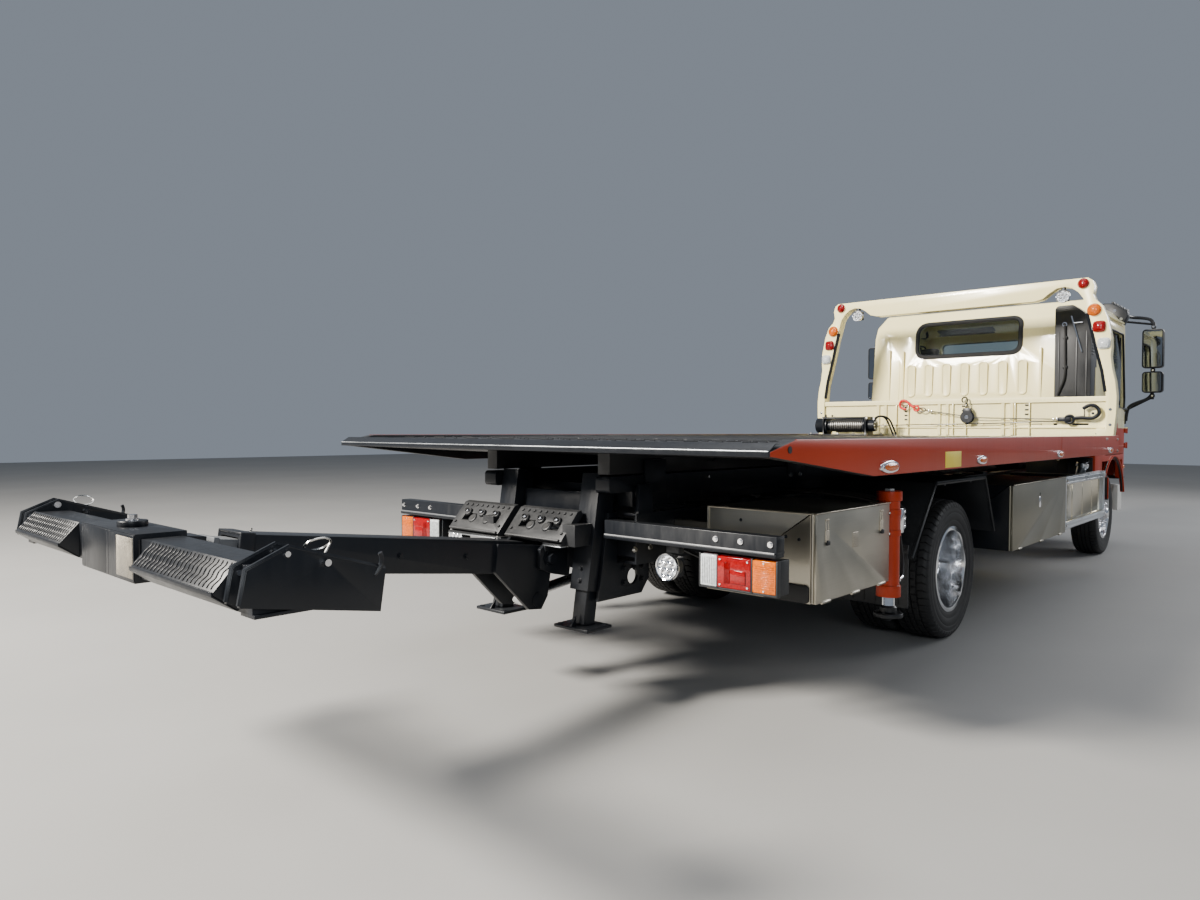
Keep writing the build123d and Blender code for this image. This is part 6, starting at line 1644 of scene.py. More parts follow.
def makeJacks():
    # 0 orange, 1 chrome, 2 rubber hose, 3 black
    bm = copyNode("jack_barrels", 0.004, 3, 30)
    x = sideSpec["jack"][0]
    for side in (1, -1):
        y = side * sideSpec["jack"][1]
        for z in (0.455, 0.868):
            latheIn(bm, [(0.046, -0.008), (0.051, -0.004), (0.051, 0.004), (0.046, 0.008)], (x, y, z), "z", 40)
        # Valve block, oil fittings and hoses forward of the barrel
        boxIn(bm, (x + 0.07, y - 0.026, 0.69), (x + 0.104, y + 0.026, 0.802), 0.004, 1)
        for index, z in enumerate((0.712, 0.745, 0.778)):
            fittingIn(bm, (x + 0.104, y, z), (1, 0, 0.0), 1, 0.018)
            hoseIn(bm, [(x + 0.15, y, z), (x + 0.185, y, z + 0.004), (x + 0.2, y - side * 0.06, 0.8 + 0.012 * index),
                        (x + 0.19, y - side * 0.3, 0.845 + 0.008 * index), (x + 0.19, y - side * 0.62, 0.85)],
                        0.0095, 2, 10)
        fittingIn(bm, (x + 0.05, y + side * 0.02, 0.485), (1, 0, 0.2), 1, 0.016)
        hoseIn(bm, [(x + 0.095, y + side * 0.02, 0.494), (x + 0.135, y + side * 0.01, 0.54), (x + 0.13, y, 0.64),
                    (x + 0.105, y, 0.7)], 0.0085, 2, 10)
        # Clamp bands with their bolts and the bolts of the arm
        for z in (0.7, 0.79):
            latheIn(bm, bandOf(0.0455, 0.05, -0.012, 0.012), (x, y, z), "z", 40)
            boltIn(bm, (x - 0.047, y + side * 0.016, z), (-1, 0, 0), 0.016, 1)
        for dx in (-0.025, 0.025):
            boltIn(bm, (x + dx, side * 0.5, 0.79), (0, 0, 1), 0.02, 1)
        rodIn(bm, (x, y, 0.88), (x, y, 0.892), 0.022, 6, 1)
    finishPiece("jackBarrelsDressed", bm, "chassis",
                ["orangePaint", "chrome", "softRubber", "blackPaint"], ["jack_barrels"])
    for word, side in bothSides:
        bm = copyNode(f"{word}_jack_foot", 0.003, 3, 30)
        y = side * sideSpec["jack"][1]
        for face in bm.faces:
            if face.calc_center_median().z < 0.352:
                face.material_index = 1
        latheIn(bm, [(0.026, 0.03), (0.036, 0.02), (0.036, 0.0), (0.03, -0.004), (0.0, -0.004)],
                (x, y, 0.352), "z", 36, 1)
        boltRingIn(bm, (x, y, 0.348), (0, 0, 1), 0.048, 6, 0.01, 1, 0.0, False)
        finishPiece(f"{word}JackFootDressed", bm, f"{word}_jack", ["chrome", "blackPaint"],
                    [f"{word}_jack_foot"])


def makeMudguards():
    # 0 black, 1 grey, 2 chrome, 3 rubber
    bm = copyNode("mudguards", 0.004, 3, 30)
    for side in (1, -1):
        y = side * 1.06
        edge = [(-0.784, 0.54), (-0.482, 0.882), (0.284, 0.882), (0.458, 0.562)]
        wireIn(bm, [(a, y - side * 0.002, b) for a, b in edge], 0.009)
        wireIn(bm, [(-0.476, y, 0.886), (0.284, y, 0.886)], 0.0055, 1)
        for yy in (0.66, 0.98):
            boltIn(bm, (-0.797, side * yy, 0.57), (-1, 0, 0), 0.018, 2)
        boxIn(bm, (-0.801, side * 0.62, 0.56), (-0.796, side * 1.045, 0.585), 0.001)
        # Ribs down the rubber flap
        for i in range(7):
            yy = side * (0.66 + i * 0.057)
            boxIn(bm, (-0.799, yy - 0.003, 0.315), (-0.795, yy + 0.003, 0.545), 0.001, 3)
        for px in (-0.3, 0.1):
            wireIn(bm, [(px, side * 0.43, 0.8), (px, side * 0.47, 0.878), (px, side * 1.04, 0.869)], 0.01)
    finishPiece("mudguardsDressed", bm, "chassis",
                ["blackPlastic", "greySteel", "chrome", "softRubber"], ["mudguards"])


makeTailLamps()
makeRearBeam()
makeRearBox()
makeSideBoxes()
makeSidePanels()
makeFuelTank()
makeJacks()
makeMudguards()
print("lamps, boxes, panels and jacks dressed")


# Chassis, axles, driveline and hydraulics
underSpec = {
    "railOut": 0.42, "wheelbase": wheelSpec["frontX"], "axleZ": wheelSpec["axleZ"], "liftFoot": (0.42, 0.205, 0.7),
    "liftEye": (1.5, 0.205, 0.8), "slideEye": (-1.473, 0.985),
    "members": [-2.025, -1.3, -0.56, 0.25, 1.05, 1.85, 2.65, 3.09, 4.98],
    "hangers": [-0.64, 0.64, 3.58, 4.82],
}


def uBoltIn(bm, x, y, low, high, half, radius, slot):
    # A pair of threaded legs over an axle, with nuts below
    for dx in (-half, half):
        rodIn(bm, (x + dx, y, low - 0.022), (x + dx, y, high), radius, 10, slot)
        boltIn(bm, (x + dx, y, low), (0, 0, -1), radius * 3.0, slot)
    rodIn(bm, (x - half - radius * 0.6, y, high), (x + half + radius * 0.6, y, high), radius, 10, slot)


def leavesIn(bm, x, half, low, tip, side, slot):
    # Thin leaves that stand a little out of the bundle's two flanks
    for level in range(4):
        reach = half * (0.94, 0.78, 0.6, 0.42)[level]
        steps = 14
        top, bottom = [], []
        for index in range(steps + 1):
            t = -1 + 2 * index / steps
            sag = (tip + 0.01) - (tip - low - 0.052 + 0.002) * (1 - (t * reach / half) ** 2)
            z = sag - 0.0135 * level
            top.append((x + t * reach, z))
            bottom.append((x + t * reach, z - 0.0095))
        outline = bottom + top[::-1]
        plateIn(bm, outline, side * 0.35, side * 0.4195, "xz", 0.0012, slot, 1)


def makeChassis():
    bm = copyNode("chassis_frame", 0.003, 2)
    out = underSpec["railOut"]
    for side in (1, -1):
        face = side * out
        for x in underSpec["members"]:
            if x == 1.05:
                spots = [(-0.05, 0.625), (0.05, 0.625), (-0.05, 0.665), (0.05, 0.665)]
            else:
                spots = [(dx, z) for dx in (-0.05, 0.05) for z in (0.655, 0.735)]
            for dx, z in spots:
                boltIn(bm, (x + dx, face, z), (0, side, 0), 0.017, 1)
        # Spring hangers: four rivets each
        for x in underSpec["hangers"]:
            for dx in (-0.028, 0.028):
                boltIn(bm, (x + dx, face, 0.617), (0, side, 0), 0.015, 1)
        # Row of holes along the web and the flange's rounded joint plates
        for index in range(34):
            x = -1.85 + index * 0.195
            if all(abs(x - m) > 0.09 for m in underSpec["members"]):
                rodIn(bm, (x, face - side * 0.0005, 0.7), (x, face + side * 0.0006, 0.7), 0.0085, 14, 2)
        for x in (0.36, 1.62, 2.9):
            plateIn(bm, [(x, 0.612), (x + 0.22, 0.612), (x + 0.26, 0.652), (x + 0.26, 0.74), (x + 0.22, 0.778),
                         (x, 0.778), (x - 0.04, 0.74), (x - 0.04, 0.652)], face, face + side * 0.006, "xz", 0.0015)
            for dx, z in ((0.02, 0.64), (0.2, 0.64), (0.02, 0.75), (0.2, 0.75)):
                boltIn(bm, (x + dx, face + side * 0.006, z), (0, side, 0), 0.015, 1)
        # Air and wiring lines clipped inside the rail
        inner = side * 0.404
        for z, radius in ((0.765, 0.0075), (0.748, 0.006), (0.733, 0.005)):
            points = [(-1.96, inner, z)] + [(-1.9 + 0.4 * i, inner - side * 0.002 * (i % 2), z)
                                            for i in range(17)] + [(4.86, inner, z)]
            hoseIn(bm, points, radius, 3, 8, "NURBS", 2)
        for index in range(16):
            boxIn(bm, (-1.86 + index * 0.42, inner - 0.011, 0.724), (-1.842 + index * 0.42, inner + 0.011, 0.776),
                  0.0015, 3, 1)
    # Hydraulic valve block and its lines behind the cab
    boxIn(bm, (2.94, -0.16, 0.62), (3.04, 0.16, 0.7), 0.004, 4)
    for index in range(5):
        y = -0.13 + index * 0.065
        rodIn(bm, (2.955, y, 0.7), (2.955, y, 0.722), 0.012, 12, 1)
        hoseIn(bm, [(2.935, y, 0.66), (2.86, y, 0.655), (2.76, y * 0.6 + 0.12, 0.56),
                    (2.1, 0.22 + 0.015 * index, 0.555), (1.2, 0.22 + 0.015 * index, 0.56),
                    (0.6, 0.235 + 0.015 * index, 0.56), (0.12, 0.25 + 0.015 * index, 0.585),
                    (-0.4, 0.25 + 0.015 * index, 0.592), (-1.2, 0.25 + 0.015 * index, 0.592),
                    (-1.265, 0.25 + 0.015 * index, 0.625)], 0.0085, 3, 8, "NURBS", 3)
    for x in (2.05, 1.45, 0.75, -0.85):
        boxIn(bm, (x, 0.205, 0.548), (x + 0.035, 0.33, 0.5905), 0.002, 0, 1)
        rodIn(bm, (x + 0.0175, 0.335, 0.575), (x + 0.0175, 0.352, 0.62), 0.008, 8)
    # Compressed-air tanks between the rails, on straps
    for x0, x1, y in ((1.98, 2.5, -0.2), (-0.98, -0.62, -0.18)):
        rodIn(bm, (x0, y, 0.665), (x1, y, 0.665), 0.083, 40, 0, soft=0.012)
        for x in (x0 + 0.09, x1 - 0.12):
            latheIn(bm, bandOf(0.083, 0.0862, 0.0, 0.03), (x, y, 0.665), "x", 40, 1)
            boxIn(bm, (x + 0.004, y - 0.035, 0.735), (x + 0.026, y + 0.035, 0.795), 0.002, 0, 1)
        rodIn(bm, (x0 - 0.02, y, 0.665), (x0, y, 0.665), 0.013, 12, 1)
    finishPiece("chassisFrame", bm, "chassis",
                ["blackPaint", "zincSteel", "blackPlastic", "softRubber", "greasedIron"], ["chassis_frame"], 34)


def shockIn(bm, top, foot, slots):
    # Shock absorber: dust tube, body and two rubber eyes
    top, foot = Vector(top), Vector(foot)
    way = (top - foot).normalized()
    length = (top - foot).length
    rodIn(bm, foot + way * 0.03, foot + way * (length * 0.56), 0.027, 24, slots[0], soft=0.003)
    rodIn(bm, foot + way * (length * 0.5), top - way * 0.03, 0.033, 24, slots[0], soft=0.003)
    for end in (top, foot):
        rodIn(bm, end - Vector((0, 0.024, 0)), end + Vector((0, 0.024, 0)), 0.024, 20, slots[1], soft=0.003)
        rodIn(bm, end - Vector((0, 0.034, 0)), end + Vector((0, 0.034, 0)), 0.01, 12, slots[2])
    for share in (0.02, 0.98):
        rodIn(bm, foot + way * (length * share - 0.01 if share > 0.5 else 0.0), foot + way * (length * share + 0.02),
              0.012, 10, slots[2])


def makeFrontAxle():
    bm = copyNode("front_axle", 0.004, 2)
    x = underSpec["wheelbase"]
    for side in (1, -1):
        leavesIn(bm, x, 0.62, 0.392, 0.562, side, 0)
        for y in (0.343, 0.427):
            uBoltIn(bm, x, side * y, 0.338, 0.478, 0.052, 0.007, 1)
        rodIn(bm, (x - 0.06, side * 0.35, 0.475), (x + 0.06, side * 0.35, 0.475), 0.006, 10, 1)
        plateIn(bm, [(x - 0.075, 0.33), (x + 0.075, 0.33), (x + 0.075, 0.341), (x - 0.075, 0.341)], side * 0.338,
                side * 0.432, "xz", 0.002)
        plateIn(bm, [(x - 0.05, 0.462), (x + 0.05, 0.462), (x + 0.04, 0.492), (x - 0.04, 0.492)], side * 0.352,
                side * 0.418, "xz", 0.004, 2)
        for end, bolt in ((x - 0.62, 1), (x + 0.62, 1)):
            rodIn(bm, (end, side * 0.34, 0.562), (end, side * 0.43, 0.562), 0.011, 14, bolt)
            boltIn(bm, (end, side * 0.428, 0.562), (0, side, 0), 0.024, bolt)
        # Grease nipples and dust caps of the kingpins
        for z, way in ((0.412, 1), (0.332, -1)):
            rodIn(bm, (x, side * 0.684, z), (x, side * 0.684, z + way * 0.008), 0.03, 24, 1, soft=0.002)
        shockIn(bm, (x - 0.2, side * 0.3, 0.64), (x - 0.03, side * 0.318, 0.385), (3, 2, 1))
        boxIn(bm, (x - 0.225, side * 0.325 - 0.027, 0.6), (x - 0.175, side * 0.325 + 0.027, 0.665), 0.003, 0, 1)
        # Brake hose from the frame
        hoseIn(bm, [(x + 0.16, side * 0.352, 0.64), (x + 0.2, side * 0.42, 0.6), (x + 0.16, side * 0.5, 0.52),
                    (x + 0.08, side * 0.56, 0.46), (x + 0.044, side * 0.58, 0.4)], 0.007, 2, 8, "NURBS", 4)
        rodIn(bm, (x + 0.16, side * 0.352, 0.652), (x + 0.16, side * 0.352, 0.632), 0.01, 8, 1)
    # Anti-roll bar across the frame
    hoseIn(bm, [(x - 0.05, -0.47, 0.3), (x + 0.24, -0.47, 0.315), (x + 0.3, -0.42, 0.32), (x + 0.3, 0, 0.32),
                (x + 0.3, 0.42, 0.32), (x + 0.24, 0.47, 0.315), (x - 0.05, 0.47, 0.3)], 0.014, 0, 12)
    for side in (1, -1):
        boxIn(bm, (x - 0.066, side * 0.47 - 0.022, 0.282), (x - 0.036, side * 0.47 + 0.022, 0.332), 0.003, 0, 1)
        hoseIn(bm, [(x + 0.3, side * 0.36, 0.32), (x + 0.33, side * 0.36, 0.44), (x + 0.34, side * 0.36, 0.6)], 0.01,
               0, 8, "NURBS", 4)
    finishPiece("frontAxle", bm, "chassis",
                ["greasedIron", "zincSteel", "softRubber", "blackPaint"], ["front_axle"], 34)


def makeRearAxle():
    bm = copyNode("rear_axle", 0.004, 2)
    z = underSpec["axleZ"]
    # Cover bolts, drain plug and ribs of the differential
    boltRingIn(bm, (-0.11, 0, z), (-1, 0, 0), 0.15, 14, 0.018, 1)
    latheIn(bm, [(0.0, -0.055), (0.055, -0.052), (0.105, -0.034), (0.128, -0.006), (0.13, 0.0)], (-0.108, 0, z), "x")
    rodIn(bm, (-0.155, 0, z - 0.05), (-0.176, 0, z - 0.05), 0.016, 6, 1)
    boltRingIn(bm, (0.262, 0, z), (1, 0, 0), 0.066, 8, 0.012, 1, 0.5)
    for side in (1, -1):
        leavesIn(bm, 0, 0.64, 0.455, 0.562, side, 0)
        for y in (0.343, 0.427):
            uBoltIn(bm, 0, side * y, z - 0.066, 0.54, 0.073, 0.008, 1)
        rodIn(bm, (-0.073, side * 0.336, 0.54), (-0.073, side * 0.434, 0.54), 0.008, 10, 1)
        rodIn(bm, (0.073, side * 0.336, 0.54), (0.073, side * 0.434, 0.54), 0.008, 10, 1)
        plateIn(bm, [(-0.095, z - 0.076), (0.095, z - 0.076), (0.095, z - 0.064), (-0.095, z - 0.064)], side * 0.332,
                side * 0.438, "xz", 0.002)
        for end in (-0.64, 0.64):
            rodIn(bm, (end, side * 0.34, 0.562), (end, side * 0.43, 0.562), 0.011, 14, 1)
            boltIn(bm, (end, side * 0.428, 0.562), (0, side, 0), 0.024, 1)
        latheIn(bm, [(0.062, 0.0), (0.082, 0.004), (0.082, 0.018), (0.062, 0.022)], (0, side * 0.47 - 0.011, z), "y",
                36)
        # Brake chamber with its push rod and hose
        rodIn(bm, (0.085, side * 0.255, z + 0.02), (0.2, side * 0.255, z + 0.05), 0.066, 32, 3, soft=0.008)
        latheIn(bm, [(0.066, 0.0), (0.073, 0.003), (0.073, 0.013), (0.066, 0.016)], (0.134, side * 0.255, z + 0.035),
                "x", 32, 1)
        hoseIn(bm, [(0.2, side * 0.255, z + 0.05), (0.27, side * 0.26, z + 0.09), (0.3, side * 0.3, z + 0.19),
                    (0.29, side * 0.36, z + 0.235), (0.25, side * 0.395, 0.655)], 0.0075, 2, 8, "NURBS", 4)
        shockIn(bm, (-0.26, side * 0.3, 0.665), (-0.075, side * 0.31, z + 0.03), (3, 2, 1))
        boxIn(bm, (-0.285, side * 0.325 - 0.027, 0.625), (-0.235, side * 0.325 + 0.027, 0.69), 0.003, 0, 1)
    finishPiece("rearAxle", bm, "chassis",
                ["greasedIron", "zincSteel", "softRubber", "blackPaint"], ["rear_axle"], 34)


def makeDriveline():
    bm = copyNode("driveline", 0.006, 3)
    # Block: cast ribs, sump bolts, filters, belt wheels and manifold
    for side in (1, -1):
        for index in range(5):
            x = 3.9 + index * 0.19
            boxIn(bm, (x, side * 0.286 - 0.012, 0.47), (x + 0.016, side * 0.286 + 0.012, 0.8), 0.003, 0, 1)
        boxIn(bm, (3.84, side * 0.284 - 0.012, 0.655), (4.76, side * 0.284 + 0.012, 0.68), 0.003, 0, 1)
        for index in range(12):
            boltIn(bm, (3.98 + index * 0.054, side * 0.196, 0.44), (0, 0, -1), 0.012, 1)
    rodIn(bm, (4.4, 0.285, 0.56), (4.4, 0.375, 0.56), 0.05, 32, 3, soft=0.006)
    rodIn(bm, (4.12, 0.33, 0.5), (4.12, 0.33, 0.63), 0.042, 32, 4, soft=0.006)
    for x, y, z, radius in ((4.8, 0.19, 0.78, 0.05), (4.8, -0.2, 0.76, 0.062), (4.8, 0.0, 0.5, 0.085)):
        latheIn(bm, [(0.0, 0.0), (radius, 0.0), (radius, 0.007), (radius - 0.01, 0.014), (radius, 0.021),
                     (radius, 0.028), (0.0, 0.028)], (x - 0.02, y, z), "x", 40)
    for index in range(4):
        hoseIn(bm, [(3.98 + index * 0.19, -0.285, 0.8), (3.98 + index * 0.19, -0.335, 0.8),
                    (3.99 + index * 0.185, -0.35, 0.75)], 0.024, 0, 12, "NURBS", 4)
    rodIn(bm, (3.94, -0.345, 0.745), (4.62, -0.345, 0.745), 0.03, 24, 0, soft=0.006)
    # Fan with seven blades inside its ring
    latheIn(bm, [(0.222, -0.004), (0.236, -0.004), (0.236, 0.074), (0.222, 0.074), (0.222, -0.004)],
            (4.78, 0, 0.64), "x", 64, 3)
    for index in range(7):
        angle = 2 * math.pi * index / 7
        turn = Matrix.Rotation(angle, 4, "X")
        before = set(bm.verts)
        plateIn(bm, [(0.05, -0.03), (0.218, -0.06), (0.224, 0.05), (0.055, 0.03)], 4.85, 4.856, "yz", 0.0015, 3)
        fresh = [v for v in bm.verts if v not in before]
        bmesh.ops.transform(bm, matrix=Matrix.Translation((0, 0, 0.64)) @ turn, verts=fresh)
    rodIn(bm, (4.846, 0, 0.64), (4.872, 0, 0.64), 0.058, 32, 1, soft=0.006)
    # Bell and gearbox flanges with their bolts
    for x, radius, count in ((3.822, 0.236, 16), (3.64, 0.15, 10)):
        latheIn(bm, bandOf(radius - 0.03, radius, 0.0, 0.014), (x - 0.014, 0, 0.59), "x", 56)
        boltRingIn(bm, (x - 0.014, 0, 0.59), (-1, 0, 0), radius - 0.012, count, 0.013, 1)
    for index in range(6):
        x = 3.24 + index * 0.072
        boxIn(bm, (x, -0.142, 0.49), (x + 0.012, 0.142, 0.7), 0.003, 0, 1)
    for y in (-0.11, 0.11):
        for x in (3.23, 3.36, 3.49, 3.61):
            boltIn(bm, (x, y, 0.72), (0, 0, 1), 0.014, 1)
    # Joints of the propeller shaft: yokes and crosses
    for x, z in ((3.19, 0.56), (1.85, 0.52), (0.312, 0.388)):
        for dx, way in ((-0.035, -1), (0.035, 1)):
            boltRingIn(bm, (x + dx, 0, z), (way, 0, 0), 0.046, 4, 0.014, 1, 0.5)
        for y in (-0.066, 0.066):
            rodIn(bm, (x, y * 0.86, z), (x, y * 1.06, z), 0.017, 20, 1)
    latheIn(bm, bandOf(0.041, 0.048, 0.0, 0.16), (2.02, 0, 0.5257), "x", 32, 1)
    rodIn(bm, (1.83, 0, 0.52), (1.87, 0, 0.52), 0.075, 36, 3, soft=0.006)
    # Radiator ahead of the fan
    boxIn(bm, (4.885, -0.3, 0.43), (4.935, 0.3, 0.585), 0.004, 3)
    for index in range(30):
        boxIn(bm, (4.882, -0.285 + index * 0.0195, 0.445), (4.938, -0.283 + index * 0.0195, 0.57), 0.0, 4, 1)
    for side in (1, -1):
        rodIn(bm, (4.9, side * 0.27, 0.585), (4.9, side * 0.33, 0.62), 0.012, 10, 3)
    finishPiece("driveline", bm, "chassis",
                ["greasedIron", "zincSteel", "softRubber", "blackPaint", "satinAlloy"], ["driveline"], 34)


def makeExhaust():
    bm = copyNode("exhaust", 0.004, 2)
    for x in (2.13, 2.72):
        latheIn(bm, [(0.108, 0.0), (0.1135, 0.003), (0.1135, 0.009), (0.108, 0.012)], (x - 0.006, 0.56, 0.52), "x",
                56)
    for x in (2.25, 2.41, 2.6):
        latheIn(bm, [(0.109, 0.0), (0.1125, 0.001), (0.1125, 0.033), (0.109, 0.034)], (x - 0.017, 0.56, 0.52), "x",
                56, 1)
        boltIn(bm, (x, 0.48, 0.6), (0, -0.6, 0.8), 0.018, 1)
    for place, way in (((2.76, 0.56, 0.52), (0.6, -0.23, 0)), ((3.335, 0.336, 0.52), (0.6, -0.23, 0)),
                       ((2.09, 0.56, 0.52), (-1.1, -0.06, 0.02))):
        way = Vector(way).normalized()
        start = Vector(place)
        rodIn(bm, start, start + way * 0.012, 0.062, 32, 0, soft=0.002)
        for index in range(4):
            side = way.cross(Vector((0, 0, 1))).normalized()
            up = way.cross(side)
            angle = math.pi * (index + 0.5) / 2
            spot = start + (side * math.cos(angle) + up * math.sin(angle)) * 0.048
            boltIn(bm, spot + way * 0.012, way, 0.013, 1)
    # The tail pipe turns down before the rear wheels
    hoseIn(bm, [(1.02, 0.501, 0.54), (0.965, 0.498, 0.541), (0.925, 0.497, 0.53), (0.9, 0.497, 0.495)], 0.038, 0, 24)
    latheIn(bm, [(0.0378, 0.0), (0.0392, 0.001), (0.0392, 0.03), (0.0378, 0.031)], (1.1, 0.505, 0.538), "x", 36, 1)
    for x, y, z in ((1.35, 0.519, 0.5336), (2.95, 0.483, 0.52)):
        boxIn(bm, (x, y - 0.046, z), (x + 0.03, y - 0.039, z + 0.16), 0.002, 1, 1)
        boxIn(bm, (x, 0.395, z + 0.11), (x + 0.03, y - 0.039, z + 0.14), 0.002, 2, 1)
        latheIn(bm, bandOf(0.0378, 0.041, 0.0, 0.03), (x, y, z), "x", 32, 1)
    finishPiece("exhaustPipes", bm, "chassis", ["exhaustSteel", "zincSteel", "softRubber"],
                ["exhaust"], 34)


def makeKnuckles():
    pinY, hubZ = 0.684, wheelSpec["axleZ"]
    x = underSpec["wheelbase"]
    for side, sign in bothSides:
        bm = copyNode(f"{side}_knuckle", 0.003, 2)
        for z, way in ((0.437, 1), (0.309, -1)):
            boltRingIn(bm, (x, sign * pinY, z), (0, 0, way), 0.026, 4, 0.012, 1, 0.5)
            rodIn(bm, (x, sign * pinY, z), (x, sign * pinY, z + way * 0.012), 0.006, 10, 1)
        # Dust plate of the brake and the ball joint of the steering arm
        latheIn(bm, [(0.06, sign * 0.0), (0.175, sign * 0.004), (0.182, sign * 0.012), (0.182, sign * 0.014),
                     (0.174, sign * 0.007), (0.06, sign * 0.003)], (x, sign * 0.7465, hubZ), "y", 56)
        rodIn(bm, (x - 0.19, sign * pinY, 0.309), (x - 0.19, sign * pinY, 0.285), 0.017, 20, 1, 0.011, 0.002)
        boltIn(bm, (x - 0.19, sign * pinY, 0.327), (0, 0, 1), 0.02, 1)
        finishPiece(f"{side}Knuckle", bm, f"{side}_knuckle", ["greasedIron", "zincSteel"],
                    [f"{side}_knuckle"], 34)


def makeSubframe():
    bm = copyNode("tilt_subframe", 0.003, 2)
    for side in (1, -1):
        for x in (-0.7, 0.5, 1.7):
            for dx in (-0.05, 0.05):
                boltIn(bm, (x + dx, side * 0.394, 0.91), (0, side, 0), 0.017, 1)
        # Grease points, wear pads under the bed's beams, welded stiffeners
        for x in (-1.5, -0.2, 1.1, 2.3):
            rodIn(bm, (x, side * 0.385, 0.93), (x, side * 0.392, 0.93), 0.006, 10, 1)
        for x in (-1.1, -0.3, 0.5, 2.1):
            plateIn(bm, [(side * 0.305, 0.842), (side * 0.305, 0.903), (side * 0.215, 0.842)], x - 0.004,
                    x + 0.004, "yz")
        for index in range(18):
            x = -1.8 + index * 0.25
            rodIn(bm, (x, side * 0.3848, 0.862), (x, side * 0.3862, 0.862), 0.01, 14, 2)
        # Pins of the lift rams
        x, _, z = underSpec["liftEye"]
        rodIn(bm, (x, side * 0.158, z), (x, side * 0.252, z), 0.019, 24, 3)
        for y in (0.156, 0.252):
            rodIn(bm, (x, side * y, z), (x, side * (y + 0.006), z), 0.026, 24, 1)
    # Slide ram: end cap, gland nut, ports and their hoses
    rodIn(bm, (2.66, 0, 0.975), (2.7, 0, 0.975), 0.045, 36, 0, soft=0.004)
    latheIn(bm, [(0.028, 0.0), (0.047, 0.0), (0.047, 0.05), (0.044, 0.054), (0.028, 0.054)],
            (-1.412, 0, 0.975), "x", 36)
    for x in (2.6, -1.3):
        rodIn(bm, (x, 0.03, 0.945), (x, 0.058, 0.922), 0.013, 16, 1)
        rodIn(bm, (x, 0.052, 0.926), (x, 0.068, 0.914), 0.016, 6, 1)
    hoseIn(bm, [(2.6, 0.064, 0.916), (2.6, 0.1, 0.89), (2.54, 0.14, 0.885), (2.3, 0.15, 0.912), (1.7, 0.15, 0.914),
                (1.0, 0.15, 0.914), (0.62, 0.15, 0.914)], 0.0085, 4, 8, "NURBS", 4)
    hoseIn(bm, [(-1.3, 0.064, 0.916), (-1.3, 0.1, 0.9), (-1.22, 0.15, 0.912), (-0.6, 0.17, 0.914),
                (0.2, 0.17, 0.914), (0.62, 0.17, 0.914)], 0.0085, 4, 8, "NURBS", 4)
    boxIn(bm, (0.6, 0.12, 0.9), (0.7, 0.2, 0.935), 0.003)
    finishPiece("tiltSubframe", bm, "subframe",
                ["blackPaint", "zincSteel", "blackPlastic", "chrome", "softRubber"], ["tilt_subframe"], 34)
    bm = copyNode("slide_rod", 0.0015, 2)
    x, z = underSpec["slideEye"]
    rodIn(bm, (x, -0.052, z), (x, 0.052, z), 0.014, 24, 1)
    for side in (1, -1):
        rodIn(bm, (x, side * 0.045, z), (x, side * 0.051, z), 0.022, 24, 1)
    finishPiece("slideRod", bm, "bed", ["chrome", "zincSteel"], ["slide_rod"], 34)


